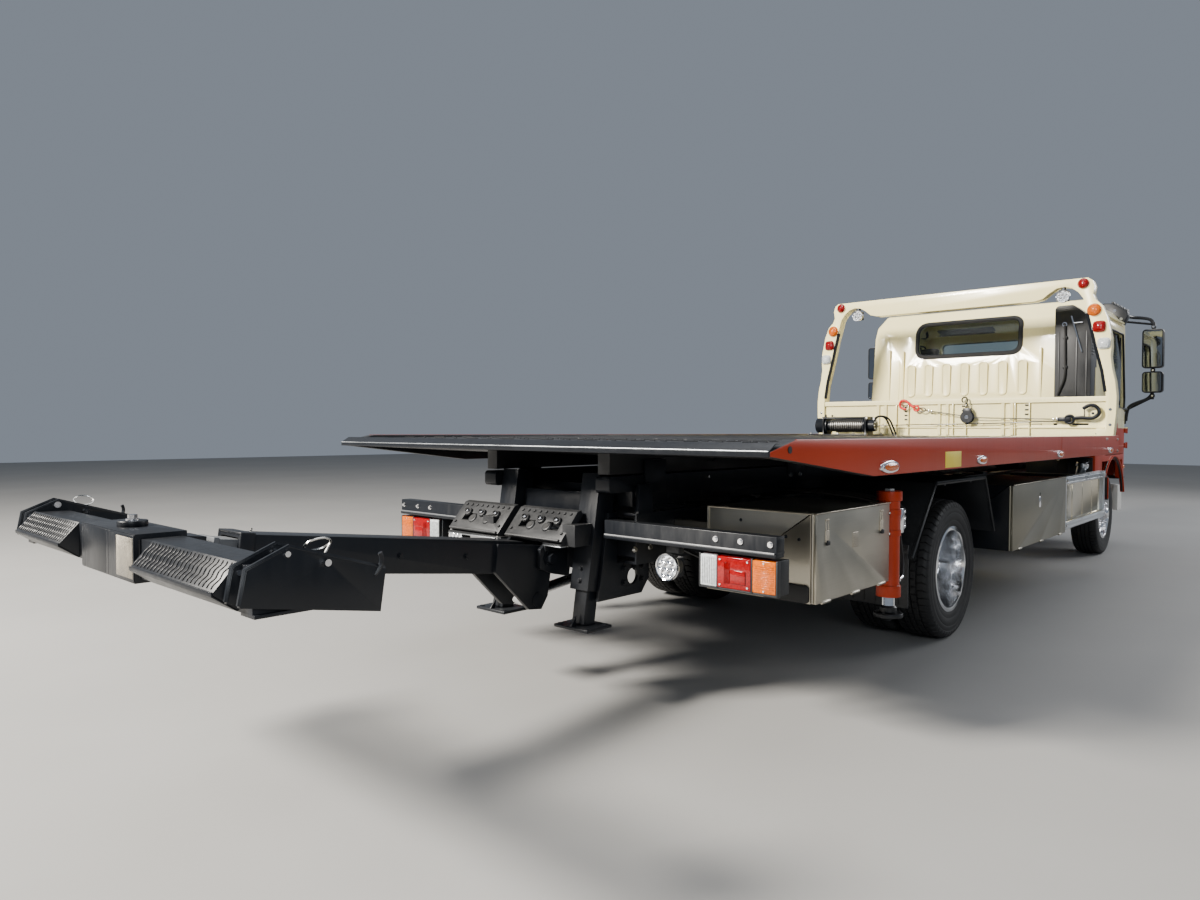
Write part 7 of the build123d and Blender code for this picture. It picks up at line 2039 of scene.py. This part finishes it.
def makeRams():
    # Lift rams: barrels with gland nuts, ports and hoses, chromed rods with wiper rings
    bm = copyNode("lift_barrels", 0.002, 2)
    way = Vector((1.08, 0, 0.1)).normalized()
    up = Vector((-way.z, 0, way.x))
    for side in (1, -1):
        x, y, z = underSpec["liftFoot"]
        foot = Vector((x, side * y, z))
        for at, length, grow in ((0.046, 0.022, 0.003), (0.6, 0.04, 0.004)):
            ring = foot + way * at
            latheProfile = [(0.05, 0.0), (0.052 + grow, 0.001), (0.052 + grow, length - 0.001), (0.05, length)]
            before = set(bm.verts)
            latheIn(bm, latheProfile, (0, 0, 0), "x", 40)
            fresh = [v for v in bm.verts if v not in before]
            turn = Matrix.Rotation(-math.atan2(way.z, way.x), 4, "Y")
            bmesh.ops.transform(bm, matrix=Matrix.Translation(ring) @ turn, verts=fresh)
        for at in (0.1, 0.56):
            port = foot + way * at + Vector((0, side * -0.02, 0))
            rodIn(bm, port + up * 0.04, port + up * 0.068, 0.014, 16, 1)
        first, second = foot + way * 0.1 + up * 0.066, foot + way * 0.56 + up * 0.066
        hoseIn(bm, [second, second + up * 0.012 - way * 0.02, second - way * 0.08 + up * 0.002,
                    first + way * 0.09 + up * 0.002], 0.007, 1)
        rodIn(bm, foot - Vector((0, 0.048, 0)), foot + Vector((0, 0.048, 0)), 0.019, 24, 1)
        for step in (-0.05, 0.044):
            rodIn(bm, foot + Vector((0, step, 0)), foot + Vector((0, step + 0.006, 0)), 0.027, 24, 1)
    finishPiece("liftBarrels", bm, "lift_barrels", ["blackPaint", "zincSteel"], ["lift_barrels"], 34)
    bm = copyNode("lift_rods", 0.001, 2)
    for side in (1, -1):
        x, y, z = underSpec["liftEye"]
        eye = Vector((x, side * y, z))
        rodIn(bm, eye - way * 0.085, eye - way * 0.04, 0.034, 6, 1, soft=0.002)
        latheIn(bm, bandOf(0.036, 0.043, -0.0245, 0.0245), tuple(eye), "y", 36, 1)
    finishPiece("liftRods", bm, "lift_rods", ["chrome", "greasedIron"], ["lift_rods"], 34)
    # Underlift ram
    bm = copyNode("underlift_barrel", 0.002, 2)
    foot = Vector((-1.48, 0, 0.545))
    rodLow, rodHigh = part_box("underlift_rod")
    eye = Vector((rodLow[0] + 0.034, 0, (rodLow[2] + 0.034) if rodLow[2] < 0.4 else rodHigh[2] - 0.034))
    way = (eye - foot).normalized()
    turn = Vector((1, 0, 0)).rotation_difference(way).to_matrix().to_4x4()
    up = turn @ Vector((0, 0, 1))
    for at, length, grow in ((0.041, 0.02, 0.003), (0.43, 0.039, 0.004)):
        before = set(bm.verts)
        latheIn(bm, [(0.043, 0.0), (0.045 + grow, 0.001), (0.045 + grow, length - 0.001), (0.043, length)],
                (0, 0, 0), "x", 40)
        bmesh.ops.transform(bm, matrix=Matrix.Translation(foot + way * at) @ turn,
                            verts=[v for v in bm.verts if v not in before])
    first, second = foot + way * 0.09 + Vector((0, 0.03, 0)), foot + way * 0.4 + Vector((0, 0.03, 0))
    for port in (first, second):
        rodIn(bm, port + Vector((0, 0.006, 0)), port + Vector((0, 0.036, 0)), 0.012, 16, 1)
    hoseIn(bm, [second + Vector((0, 0.034, 0)), second + Vector((0, 0.05, 0)) - way * 0.02,
                second - way * 0.1 + Vector((0, 0.03, 0)), first + way * 0.06 + Vector((0, 0.03, 0))], 0.0065, 1)
    rodIn(bm, foot - Vector((0, 0.05, 0)), foot + Vector((0, 0.05, 0)), 0.017, 24, 1)
    finishPiece("underliftBarrel", bm, "underlift_barrel", ["blackPaint", "zincSteel"],
                ["underlift_barrel"], 34)
    bm = copyNode("underlift_rod", 0.001, 2)
    rodIn(bm, eye - way * 0.075, eye - way * 0.034, 0.028, 6, 1, soft=0.002)
    rodIn(bm, eye - Vector((0, 0.032, 0)), eye + Vector((0, 0.032, 0)), 0.016, 24, 1)
    finishPiece("underliftRod", bm, "underlift_rod", ["chrome", "greasedIron"], ["underlift_rod"], 34)


makeChassis()
makeFrontAxle()
makeRearAxle()
makeDriveline()
makeExhaust()
makeKnuckles()
makeSubframe()
makeRams()
print("underside dressed")


# Padded seats, dashboard and the cab's lining
seatSpec = {
    "y": 0.56, "voxel": 0.007, "frames": 20, "pressure": 4.0, "cap": 0.024, "lean": 0.15 / 0.62,
    "insertHalf": {"Cushion": 0.15, "Back": 0.145, "Headrest": 0.0},
    "pads": {
        "Cushion": ((3.915, -0.228, 1.068), (4.388, 0.228, 1.172), 0.034),
        "Back": ((3.902, -0.218, 1.192), (3.99, 0.218, 1.788), 0.03),
        "Headrest": ((3.734, -0.11, 1.815), (3.802, 0.11, 1.978), 0.026),
    },
}


def startPad(name):
    # The pad's plain rounded form, voxel remeshed so that it can swell evenly
    low, high, soft = seatSpec["pads"][name]
    bm = bmesh.new()
    boxIn(bm, low, high, soft, 0, 5)
    if name == "Back":
        for vert in bm.verts:
            vert.co.x -= (vert.co.z - 1.18) * seatSpec["lean"]
    for vert in bm.verts:
        vert.co.y += seatSpec["y"]
    mesh = bpy.data.meshes.new("pad" + name)
    bm.to_mesh(mesh)
    bm.free()
    pad = bpy.data.objects.new("pad" + name, mesh)
    bpy.context.scene.collection.objects.link(pad)
    remesh = pad.modifiers.new("voxels", "REMESH")
    remesh.mode = "VOXEL"
    remesh.voxel_size = seatSpec["voxel"]
    applyModifiers(pad)
    return pad


def applyModifiers(pad):
    bpy.context.view_layer.update()
    shown = pad.evaluated_get(bpy.context.evaluated_depsgraph_get())
    mesh = bpy.data.meshes.new_from_object(shown)
    pad.modifiers.clear()
    old = pad.data
    pad.data = mesh
    bpy.data.meshes.remove(old)


def swellPads(pads):
    # Air pressure fills the covers; no point moves farther than the cap
    scene = bpy.context.scene
    rest = {pad.name: [v.co.copy() for v in pad.data.vertices] for pad in pads}
    for pad in pads:
        settings = pad.modifiers.new("cover", "CLOTH").settings
        settings.quality = 5
        settings.mass = 0.3
        settings.tension_stiffness = settings.compression_stiffness = 18.0
        settings.shear_stiffness = 6.0
        settings.bending_stiffness = 0.6
        settings.use_pressure = True
        settings.uniform_pressure_force = seatSpec["pressure"]
        settings.effector_weights.gravity = 0.0
    for step in range(1, seatSpec["frames"] + 1):
        scene.frame_set(step)
    for pad in pads:
        applyModifiers(pad)
        for vert, start in zip(pad.data.vertices, rest[pad.name]):
            moved = vert.co - start
            if moved.length > seatSpec["cap"]:
                vert.co = start + moved.normalized() * seatSpec["cap"]
    scene.frame_set(1)


def dip(value, centre, width, depth):
    return depth * math.exp(-((value - centre) / width) ** 2)


def sewPad(pad, name):
    # Sewn channels on the face that is sat on or leant against, and the seam round the sides
    low, high, _ = seatSpec["pads"][name]
    half = seatSpec["insertHalf"][name]
    mesh = pad.data
    normals = [v.normal.copy() for v in mesh.vertices]
    for vert, normal in zip(mesh.vertices, normals):
        x, y, z = vert.co
        y -= seatSpec["y"]
        if name == "Back":
            x += (z - 1.18) * seatSpec["lean"]
        inward = 0.0
        if name == "Cushion":
            facing = max(0.0, normal.z)
            inward += facing * dip(abs(y), half, 0.0075, 0.009)
            if abs(y) < half:
                inward += facing * sum(dip(x, c, 0.0085, 0.007) for c in (4.0, 4.1, 4.2, 4.3))
            inward += dip(z, high[2] - 0.026, 0.006, 0.004) * (1 - abs(normal.z))
            inward += dip(z, low[2] + 0.022, 0.006, 0.003) * (1 - abs(normal.z))
        elif name == "Back":
            facing = max(0.0, normal.x)
            inward += facing * dip(abs(y), half, 0.0075, 0.009)
            if abs(y) < half:
                inward += facing * sum(dip(z, 1.27 + 0.085 * i, 0.0085, 0.007) for i in range(6))
            inward += dip(x, 3.975, 0.006, 0.004) * (1 - abs(normal.x))
        else:
            inward += dip(abs(y), 0.082, 0.006, 0.004) + dip(x, 3.768, 0.005, 0.003) * (1 - abs(normal.x))
        vert.co = vert.co - normal * inward
    for face in mesh.polygons:
        facing = face.normal.z if name == "Cushion" else face.normal.x
        face.material_index = 1 if abs(face.center.y - seatSpec["y"]) < half and facing > 0.4 else 0


def makeSeats():
    pads = {name: startPad(name) for name in seatSpec["pads"]}
    swellPads(list(pads.values()))
    for name, pad in pads.items():
        pad.data.materials.append(finishes["seatCloth"])
        pad.data.materials.append(finishes["seatInsert"])
        sewPad(pad, name)
        for side in ("left", "right"):
            mesh = pad.data.copy()
            if side == "right":
                for vert in mesh.vertices:
                    vert.co.y -= 2 * seatSpec["y"]
            mesh.shade_smooth()
            piece = bpy.data.objects.new(f"{side}Seat{name}", mesh)
            bpy.context.scene.collection.objects.link(piece)
            soften = piece.modifiers.new("soften", "SUBSURF")
            soften.levels = soften.render_levels = 1
            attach(piece, "cab")
        bpy.data.objects.remove(pad)
    # Frames, slides, shells and controls below and behind the pads
    bm = bmesh.new()
    for side in (1, -1):
        y = side * seatSpec["y"]
        boxIn(bm, (3.95, y - 0.172, 0.921), (4.33, y + 0.172, 1.028), 0.012, 0, 3)
        boxIn(bm, (3.925, y - 0.205, 1.04), (4.37, y + 0.205, 1.072), 0.01, 0, 3)
        for step in (-0.165, 0.165):
            boxIn(bm, (3.92, y + step - 0.014, 1.026), (4.36, y + step + 0.014, 1.042), 0.003, 1, 1)
            rodIn(bm, (3.925, y + step * 1.34, 1.175), (3.925, y + step * 1.46, 1.175), 0.052, 32, 0, soft=0.006)
            plateIn(bm, [(3.88, 1.05), (3.97, 1.05), (3.955, 1.2), (3.895, 1.2)], y + step * 1.36 - 0.003,
                    y + step * 1.36 + 0.003, "xz", 0.001, 1)
        hoseIn(bm, [(4.34, y - 0.12, 1.034), (4.415, y - 0.12, 1.03), (4.425, y - 0.1, 1.028),
                    (4.425, y + 0.1, 1.028), (4.415, y + 0.12, 1.03), (4.34, y + 0.12, 1.034)], 0.006, 1, 10)
        # Moulded shell behind the backrest
        outline = [(3.874, 1.2), (3.892, 1.2), (3.758, 1.775), (3.734, 1.775)]
        plateIn(bm, outline, y - 0.205, y + 0.205, "xz", 0.008, 0, 3)
        for step in (-0.055, 0.055):
            rodIn(bm, (3.812, y + step, 1.765), (3.774, y + step, 1.84), 0.006, 12, 1)
        # Belt buckle on its stalk
        inner = y - side * 0.245
        hoseIn(bm, [(3.96, inner, 1.06), (3.965, inner, 1.12), (3.985, inner, 1.19)], 0.008, 0, 10)
        boxIn(bm, (3.972, inner - 0.013, 1.18), (4.012, inner + 0.013, 1.25), 0.005)
        boxIn(bm, (3.978, inner - 0.009, 1.247), (4.006, inner + 0.009, 1.2535), 0.001, 2, 1)
    finishPiece("seatFrames", bm, "cab", ["blackPlastic", "zincSteel", "redPaint"], ["seats"], 34)


def ventIn(bm, x, y, z, width, height):
    boxIn(bm, (x - 0.012, y - width / 2, z - height / 2), (x + 0.01, y + width / 2, z + height / 2), 0.004, 1)
    for index in range(5):
        level = z - height / 2 + 0.01 + index * (height - 0.02) / 4
        boxIn(bm, (x - 0.016, y - width / 2 + 0.008, level - 0.0012),
              (x - 0.006, y + width / 2 - 0.008, level + 0.0012), 0.0, 0, 1)
    boxIn(bm, (x - 0.022, y - 0.008, z - 0.006), (x - 0.012, y + 0.008, z + 0.006), 0.002, 0, 1)


def makeDashboard():
    bm = copyNode("dashboard", 0.006, 3)
    place = Matrix.Translation((4.69, -0.56, 1.35)) @ Matrix.Rotation(math.radians(-40), 4, "Y")
    # Steering wheel: round rim sleeve, padded hub, spoke covers, column cowl and its stalks
    before = set(bm.verts)
    rim = [(0.2025 + a, b) for a, b in circlePoints(0.0168, 16, 0.0, 1)]
    latheIn(bm, rim, (0, 0, 0), "z", 72, 1)
    boxIn(bm, (-0.062, -0.075, -0.004), (0.062, 0.075, 0.034), 0.014, 1, 4)
    for angle in range(4):
        turn = Matrix.Rotation(math.pi * angle / 2, 4, "Z")
        fresh = set(bm.verts)
        boxIn(bm, (0.05, -0.021, -0.009), (0.192, 0.021, 0.011), 0.006, 1, 3)
        bmesh.ops.transform(bm, matrix=turn, verts=[v for v in bm.verts if v not in fresh])
    rodIn(bm, (0, 0, -0.045), (0, 0, -0.24), 0.046, 28, 0, soft=0.008)
    for side in (1, -1):
        rodIn(bm, (0.0, side * 0.03, -0.075), (0.035, side * 0.16, -0.06), 0.0065, 12, 1)
        rodIn(bm, (0.032, side * 0.15, -0.061), (0.042, side * 0.19, -0.057), 0.01, 14, 1, soft=0.003)
    bmesh.ops.transform(bm, matrix=place, verts=[v for v in bm.verts if v not in before])
    # Instrument hood with round dials
    plateIn(bm, [(4.845, 1.262), (4.985, 1.292), (4.965, 1.352), (4.868, 1.372), (4.842, 1.366), (4.862, 1.352)],
            -0.745, -0.375, "xz", 0.008, 0, 3)
    plateIn(bm, [(4.846, 1.272), (4.864, 1.274), (4.872, 1.35), (4.862, 1.35)], -0.725, -0.395, "xz", 0.002, 1)
    for y, radius in ((-0.65, 0.036), (-0.56, 0.03), (-0.47, 0.036)):
        rodIn(bm, (4.856, y, 1.312), (4.849, y, 1.313), radius, 36, 2)
        latheIn(bm, [(radius, 0.0), (radius + 0.003, -0.004), (radius + 0.003, 0.004), (radius, 0.0)],
                (4.851, y, 1.3125), "x", 36, 3)
        # Needles in the clear lens finish glow faintly: painted glow
        rodIn(bm, (4.8485, y, 1.312), (4.8475, y + radius * 0.4, 1.312 + radius * 0.5), 0.0015, 6, 4)
    # Centre stack with its blank panels, knobs, and vents
    plateIn(bm, [(4.795, 1.01), (4.84, 1.01), (4.83, 1.236), (4.782, 1.236)], -0.165, 0.165, "xz", 0.006, 0, 3)
    boxIn(bm, (4.776, -0.092, 1.165), (4.8, 0.092, 1.218), 0.004, 1)
    boxIn(bm, (4.774, -0.06, 1.18), (4.778, 0.06, 1.205), 0.001, 2, 1)
    for y in (-0.11, 0.0, 0.11):
        rodIn(bm, (4.79, y, 1.115), (4.766, y, 1.113), 0.021, 28, 1, soft=0.003)
        # Knob marks in the clear lens finish glow faintly: painted glow
        boxIn(bm, (4.762, y - 0.002, 1.1), (4.767, y + 0.002, 1.128), 0.001, 4, 1)
    for index in range(6):
        y = -0.125 + index * 0.05
        boxIn(bm, (4.782, y - 0.018, 1.045), (4.8, y + 0.018, 1.072), 0.003, 1)
    for y in (-0.79, -0.27, 0.27, 0.79):
        ventIn(bm, 4.822, y, 1.268, 0.095, 0.048)
    # Glovebox lid and its catch
    plateIn(bm, [(4.812, 1.04), (4.835, 1.04), (4.815, 1.215), (4.797, 1.215)], 0.36, 0.7, "xz", 0.006, 0, 3)
    boxIn(bm, (4.798, 0.495, 1.18), (4.812, 0.565, 1.198), 0.003, 1)
    for index in range(26):
        y = -0.74 + index * 0.0592
        boxIn(bm, (5.045, y, 1.262), (5.062, y + 0.035, 1.276), 0.0, 1, 1)
    # Pedals on their arms
    for y, wide in ((-0.7, 0.03), (-0.565, 0.03), (-0.445, 0.022)):
        hoseIn(bm, [(4.86, y, 1.16), (4.835, y, 1.1), (4.8, y, 1.045)], 0.009, 3, 10)
        plateIn(bm, [(4.772, 1.005), (4.78, 0.998), (4.818, 1.062), (4.81, 1.068)], y - wide, y + wide,
                "xz", 0.003, 1)
        for index in range(4):
            boxIn(bm, (4.775 + index * 0.009, y - wide + 0.004, 1.012 + index * 0.014),
                  (4.781 + index * 0.009, y + wide - 0.004, 1.016 + index * 0.014), 0.0, 1, 1)
    finishPiece("dashboardDressed", bm, "cab",
                ["greyTrim", "blackPlastic", "mirrorGlass", "zincSteel", "clearLens"], ["dashboard"], 34)


def makeLining():
    bm = bmesh.new()
    # Gear lever and hand brake on the tunnel
    for index, radius in enumerate((0.062, 0.052, 0.06, 0.047, 0.052, 0.036, 0.04, 0.022)):
        rodIn(bm, (4.46, -0.17, 1.008 + index * 0.01), (4.46, -0.17, 1.019 + index * 0.01), radius, 32, 1)
    hoseIn(bm, [(4.46, -0.17, 1.05), (4.462, -0.17, 1.16), (4.44, -0.185, 1.25), (4.41, -0.2, 1.33)], 0.008, 2, 12)
    rodIn(bm, (4.414, -0.198, 1.318), (4.4, -0.205, 1.362), 0.021, 28, 1, soft=0.008)
    boxIn(bm, (4.1, -0.1, 1.008), (4.32, -0.04, 1.032), 0.006, 1)
    hoseIn(bm, [(4.12, -0.07, 1.03), (4.2, -0.07, 1.075), (4.34, -0.07, 1.13)], 0.01, 2, 12)
    rodIn(bm, (4.27, -0.07, 1.103), (4.36, -0.07, 1.138), 0.016, 20, 1, soft=0.005)
    # Console tray between the seats
    boxIn(bm, (3.72, -0.26, 1.009), (4.02, 0.26, 1.11), 0.016, 0, 3)
    for y in (-0.13, 0.13):
        latheIn(bm, [(0.0, 0.0), (0.04, 0.0), (0.04, 0.006), (0.034, 0.006), (0.034, 0.001), (0.0, 0.001)],
                (3.95, y, 1.11), "z", 32, 1)
    # Rubber mats with ribs
    for side in (1, -1):
        y0, y1 = sorted((side * 0.385, side * 0.925))
        boxIn(bm, (3.7, y0, 0.919), (4.8, y1, 0.932), 0.004, 1)
        for index in range(22):
            x = 4.36 + index * 0.0195
            boxIn(bm, (x, y0 + 0.03, 0.931), (x + 0.008, y1 - 0.03, 0.9355), 0.0, 1, 1)
    # Headlining, sun visors, shelf over the windscreen and rear wall trim
    boxIn(bm, (3.64, -0.86, 2.256), (4.56, 0.86, 2.266), 0.004, 3)
    for side in (1, -1):
        y0, y1 = sorted((side * 0.18, side * 0.76))
        plateIn(bm, [(4.56, 2.246), (4.7, 2.196), (4.705, 2.206), (4.565, 2.257)], y0, y1, "xz", 0.004, 3)
        hoseIn(bm, [(4.5, side * 0.84, 2.2), (4.48, side * 0.84, 2.165), (4.36, side * 0.84, 2.16),
                    (4.2, side * 0.84, 2.165), (4.18, side * 0.84, 2.2)], 0.011, 1, 12)
        for x in (4.185, 4.495):
            rodIn(bm, (x, side * 0.84, 2.195), (x, side * 0.852, 2.262), 0.014, 16, 1)
        # Belt reel and guide on the pillar
        boxIn(bm, (3.7, side * 0.905 - 0.03, 1.02), (3.8, side * 0.905 + 0.03, 1.16), 0.01, 1)
        boxIn(bm, (3.735, side * 0.925 - 0.01, 1.9), (3.785, side * 0.925 + 0.01, 1.94), 0.006, 1)
        boxIn(bm, (3.738, side * 0.913 - 0.0008, 1.14), (3.786, side * 0.913 + 0.0008, 1.915), 0.0, 1, 1)
    rodIn(bm, (4.05, -0.08, 2.256), (4.05, -0.08, 2.24), 0.05, 36, 4, soft=0.004)
    finishPiece("cabLining", bm, "cab",
                ["greyTrim", "softRubber", "zincSteel", "seatInsert", "clearLens"], (), 34)


makeSeats()
makeDashboard()
makeLining()
print("cabin dressed")


# Floor, light and camera
stage = {"floorSize": 60.0, "floorColor": (0.27, 0.265, 0.255), "skyColor": (0.72, 0.82, 0.97), "skyPower": 0.3}


def makeStage():
    bm = bmesh.new()
    bmesh.ops.create_grid(bm, x_segments=1, y_segments=1, size=stage["floorSize"] / 2)
    mesh = bpy.data.meshes.new("studioFloor")
    bm.to_mesh(mesh)
    bm.free()
    floor = bpy.data.objects.new("studioFloor", mesh)
    bpy.context.scene.collection.objects.link(floor)
    finish, tree, shader, place = newMaterial("studioFloor")
    cloud = ramp(tree, noise(tree, place, 0.6, 6.0), 0.3, 0.7, 0.96, 1.03)
    shade = addNode(tree, "ShaderNodeHueSaturation", {"Value": cloud, "Color": (*stage["floorColor"], 1)})
    tree.links.new(shade.outputs[0], shader.inputs["Base Color"])
    setInputs(shader, {"Roughness": 0.75})
    mesh.materials.append(finish)
    world = bpy.data.worlds.new("studioSky")
    world.use_nodes = True
    setInputs(world.node_tree.nodes["Background"], {"Color": (*stage["skyColor"], 1), "Strength": stage["skyPower"]})
    bpy.context.scene.world = world


# Each light: place, aim, width, height, power, colour
lightTable = {
    "keySoftbox": ((-10.5, 4.5, 7.5), (0.5, 0, 0.9), 2.6, 2.6, 6200, (1.0, 0.95, 0.87)),
    "rearFill": ((-8.5, -8.5, 4.5), (-0.5, -0.5, 0.8), 5.0, 3.5, 330, (0.9, 0.95, 1.0)),
    "overhead": ((1.0, 0.0, 9.0), (1.0, 0.0, 0.0), 12.0, 6.0, 420, (0.97, 0.98, 1.0)),
    "frontSoftbox": ((10.5, -5.0, 5.5), (2.5, 0, 1.0), 6.0, 4.0, 620, (0.97, 0.98, 1.0)),
}


def makeLights():
    for name, (place, aim, width, height, power, color) in lightTable.items():
        data = bpy.data.lights.new(name, "AREA")
        data.shape = "RECTANGLE"
        data.size, data.size_y = width, height
        data.energy, data.color = power, color
        light = bpy.data.objects.new(name, data)
        light.location = place
        light.rotation_euler = (Vector(aim) - Vector(place)).to_track_quat("-Z", "Y").to_euler()
        bpy.context.scene.collection.objects.link(light)


# The photograph's viewpoint; angles in degrees, yaw from the truck's own forward direction
view = {"place": (-4.641, -2.55, 1.143), "yaw": 42.121, "pitch": -1.39, "roll": 0.204, "focal": 816.76, "width": 1200}


def makeCamera():
    data = bpy.data.cameras.new("photoCamera")
    data.sensor_width = 36.0
    data.lens = view["focal"] / view["width"] * data.sensor_width
    data.clip_start, data.clip_end = 0.05, 200.0
    camera = bpy.data.objects.new("photoCamera", data)
    yaw, pitch, roll = (math.radians(view[key]) for key in ("yaw", "pitch", "roll"))
    ahead = Vector((math.cos(pitch) * math.cos(yaw), math.cos(pitch) * math.sin(yaw), math.sin(pitch)))
    right = Vector((math.sin(yaw), -math.cos(yaw), 0.0))
    up = right.cross(ahead)
    right, up = right * math.cos(roll) + up * math.sin(roll), up * math.cos(roll) - right * math.sin(roll)
    camera.matrix_world = Matrix.Translation(view["place"]) @ Matrix((right, up, -ahead)).transposed().to_4x4()
    bpy.context.scene.collection.objects.link(camera)
    bpy.context.scene.camera = camera


makeStage()
makeLights()
makeCamera()
print("stage, lights and camera set")
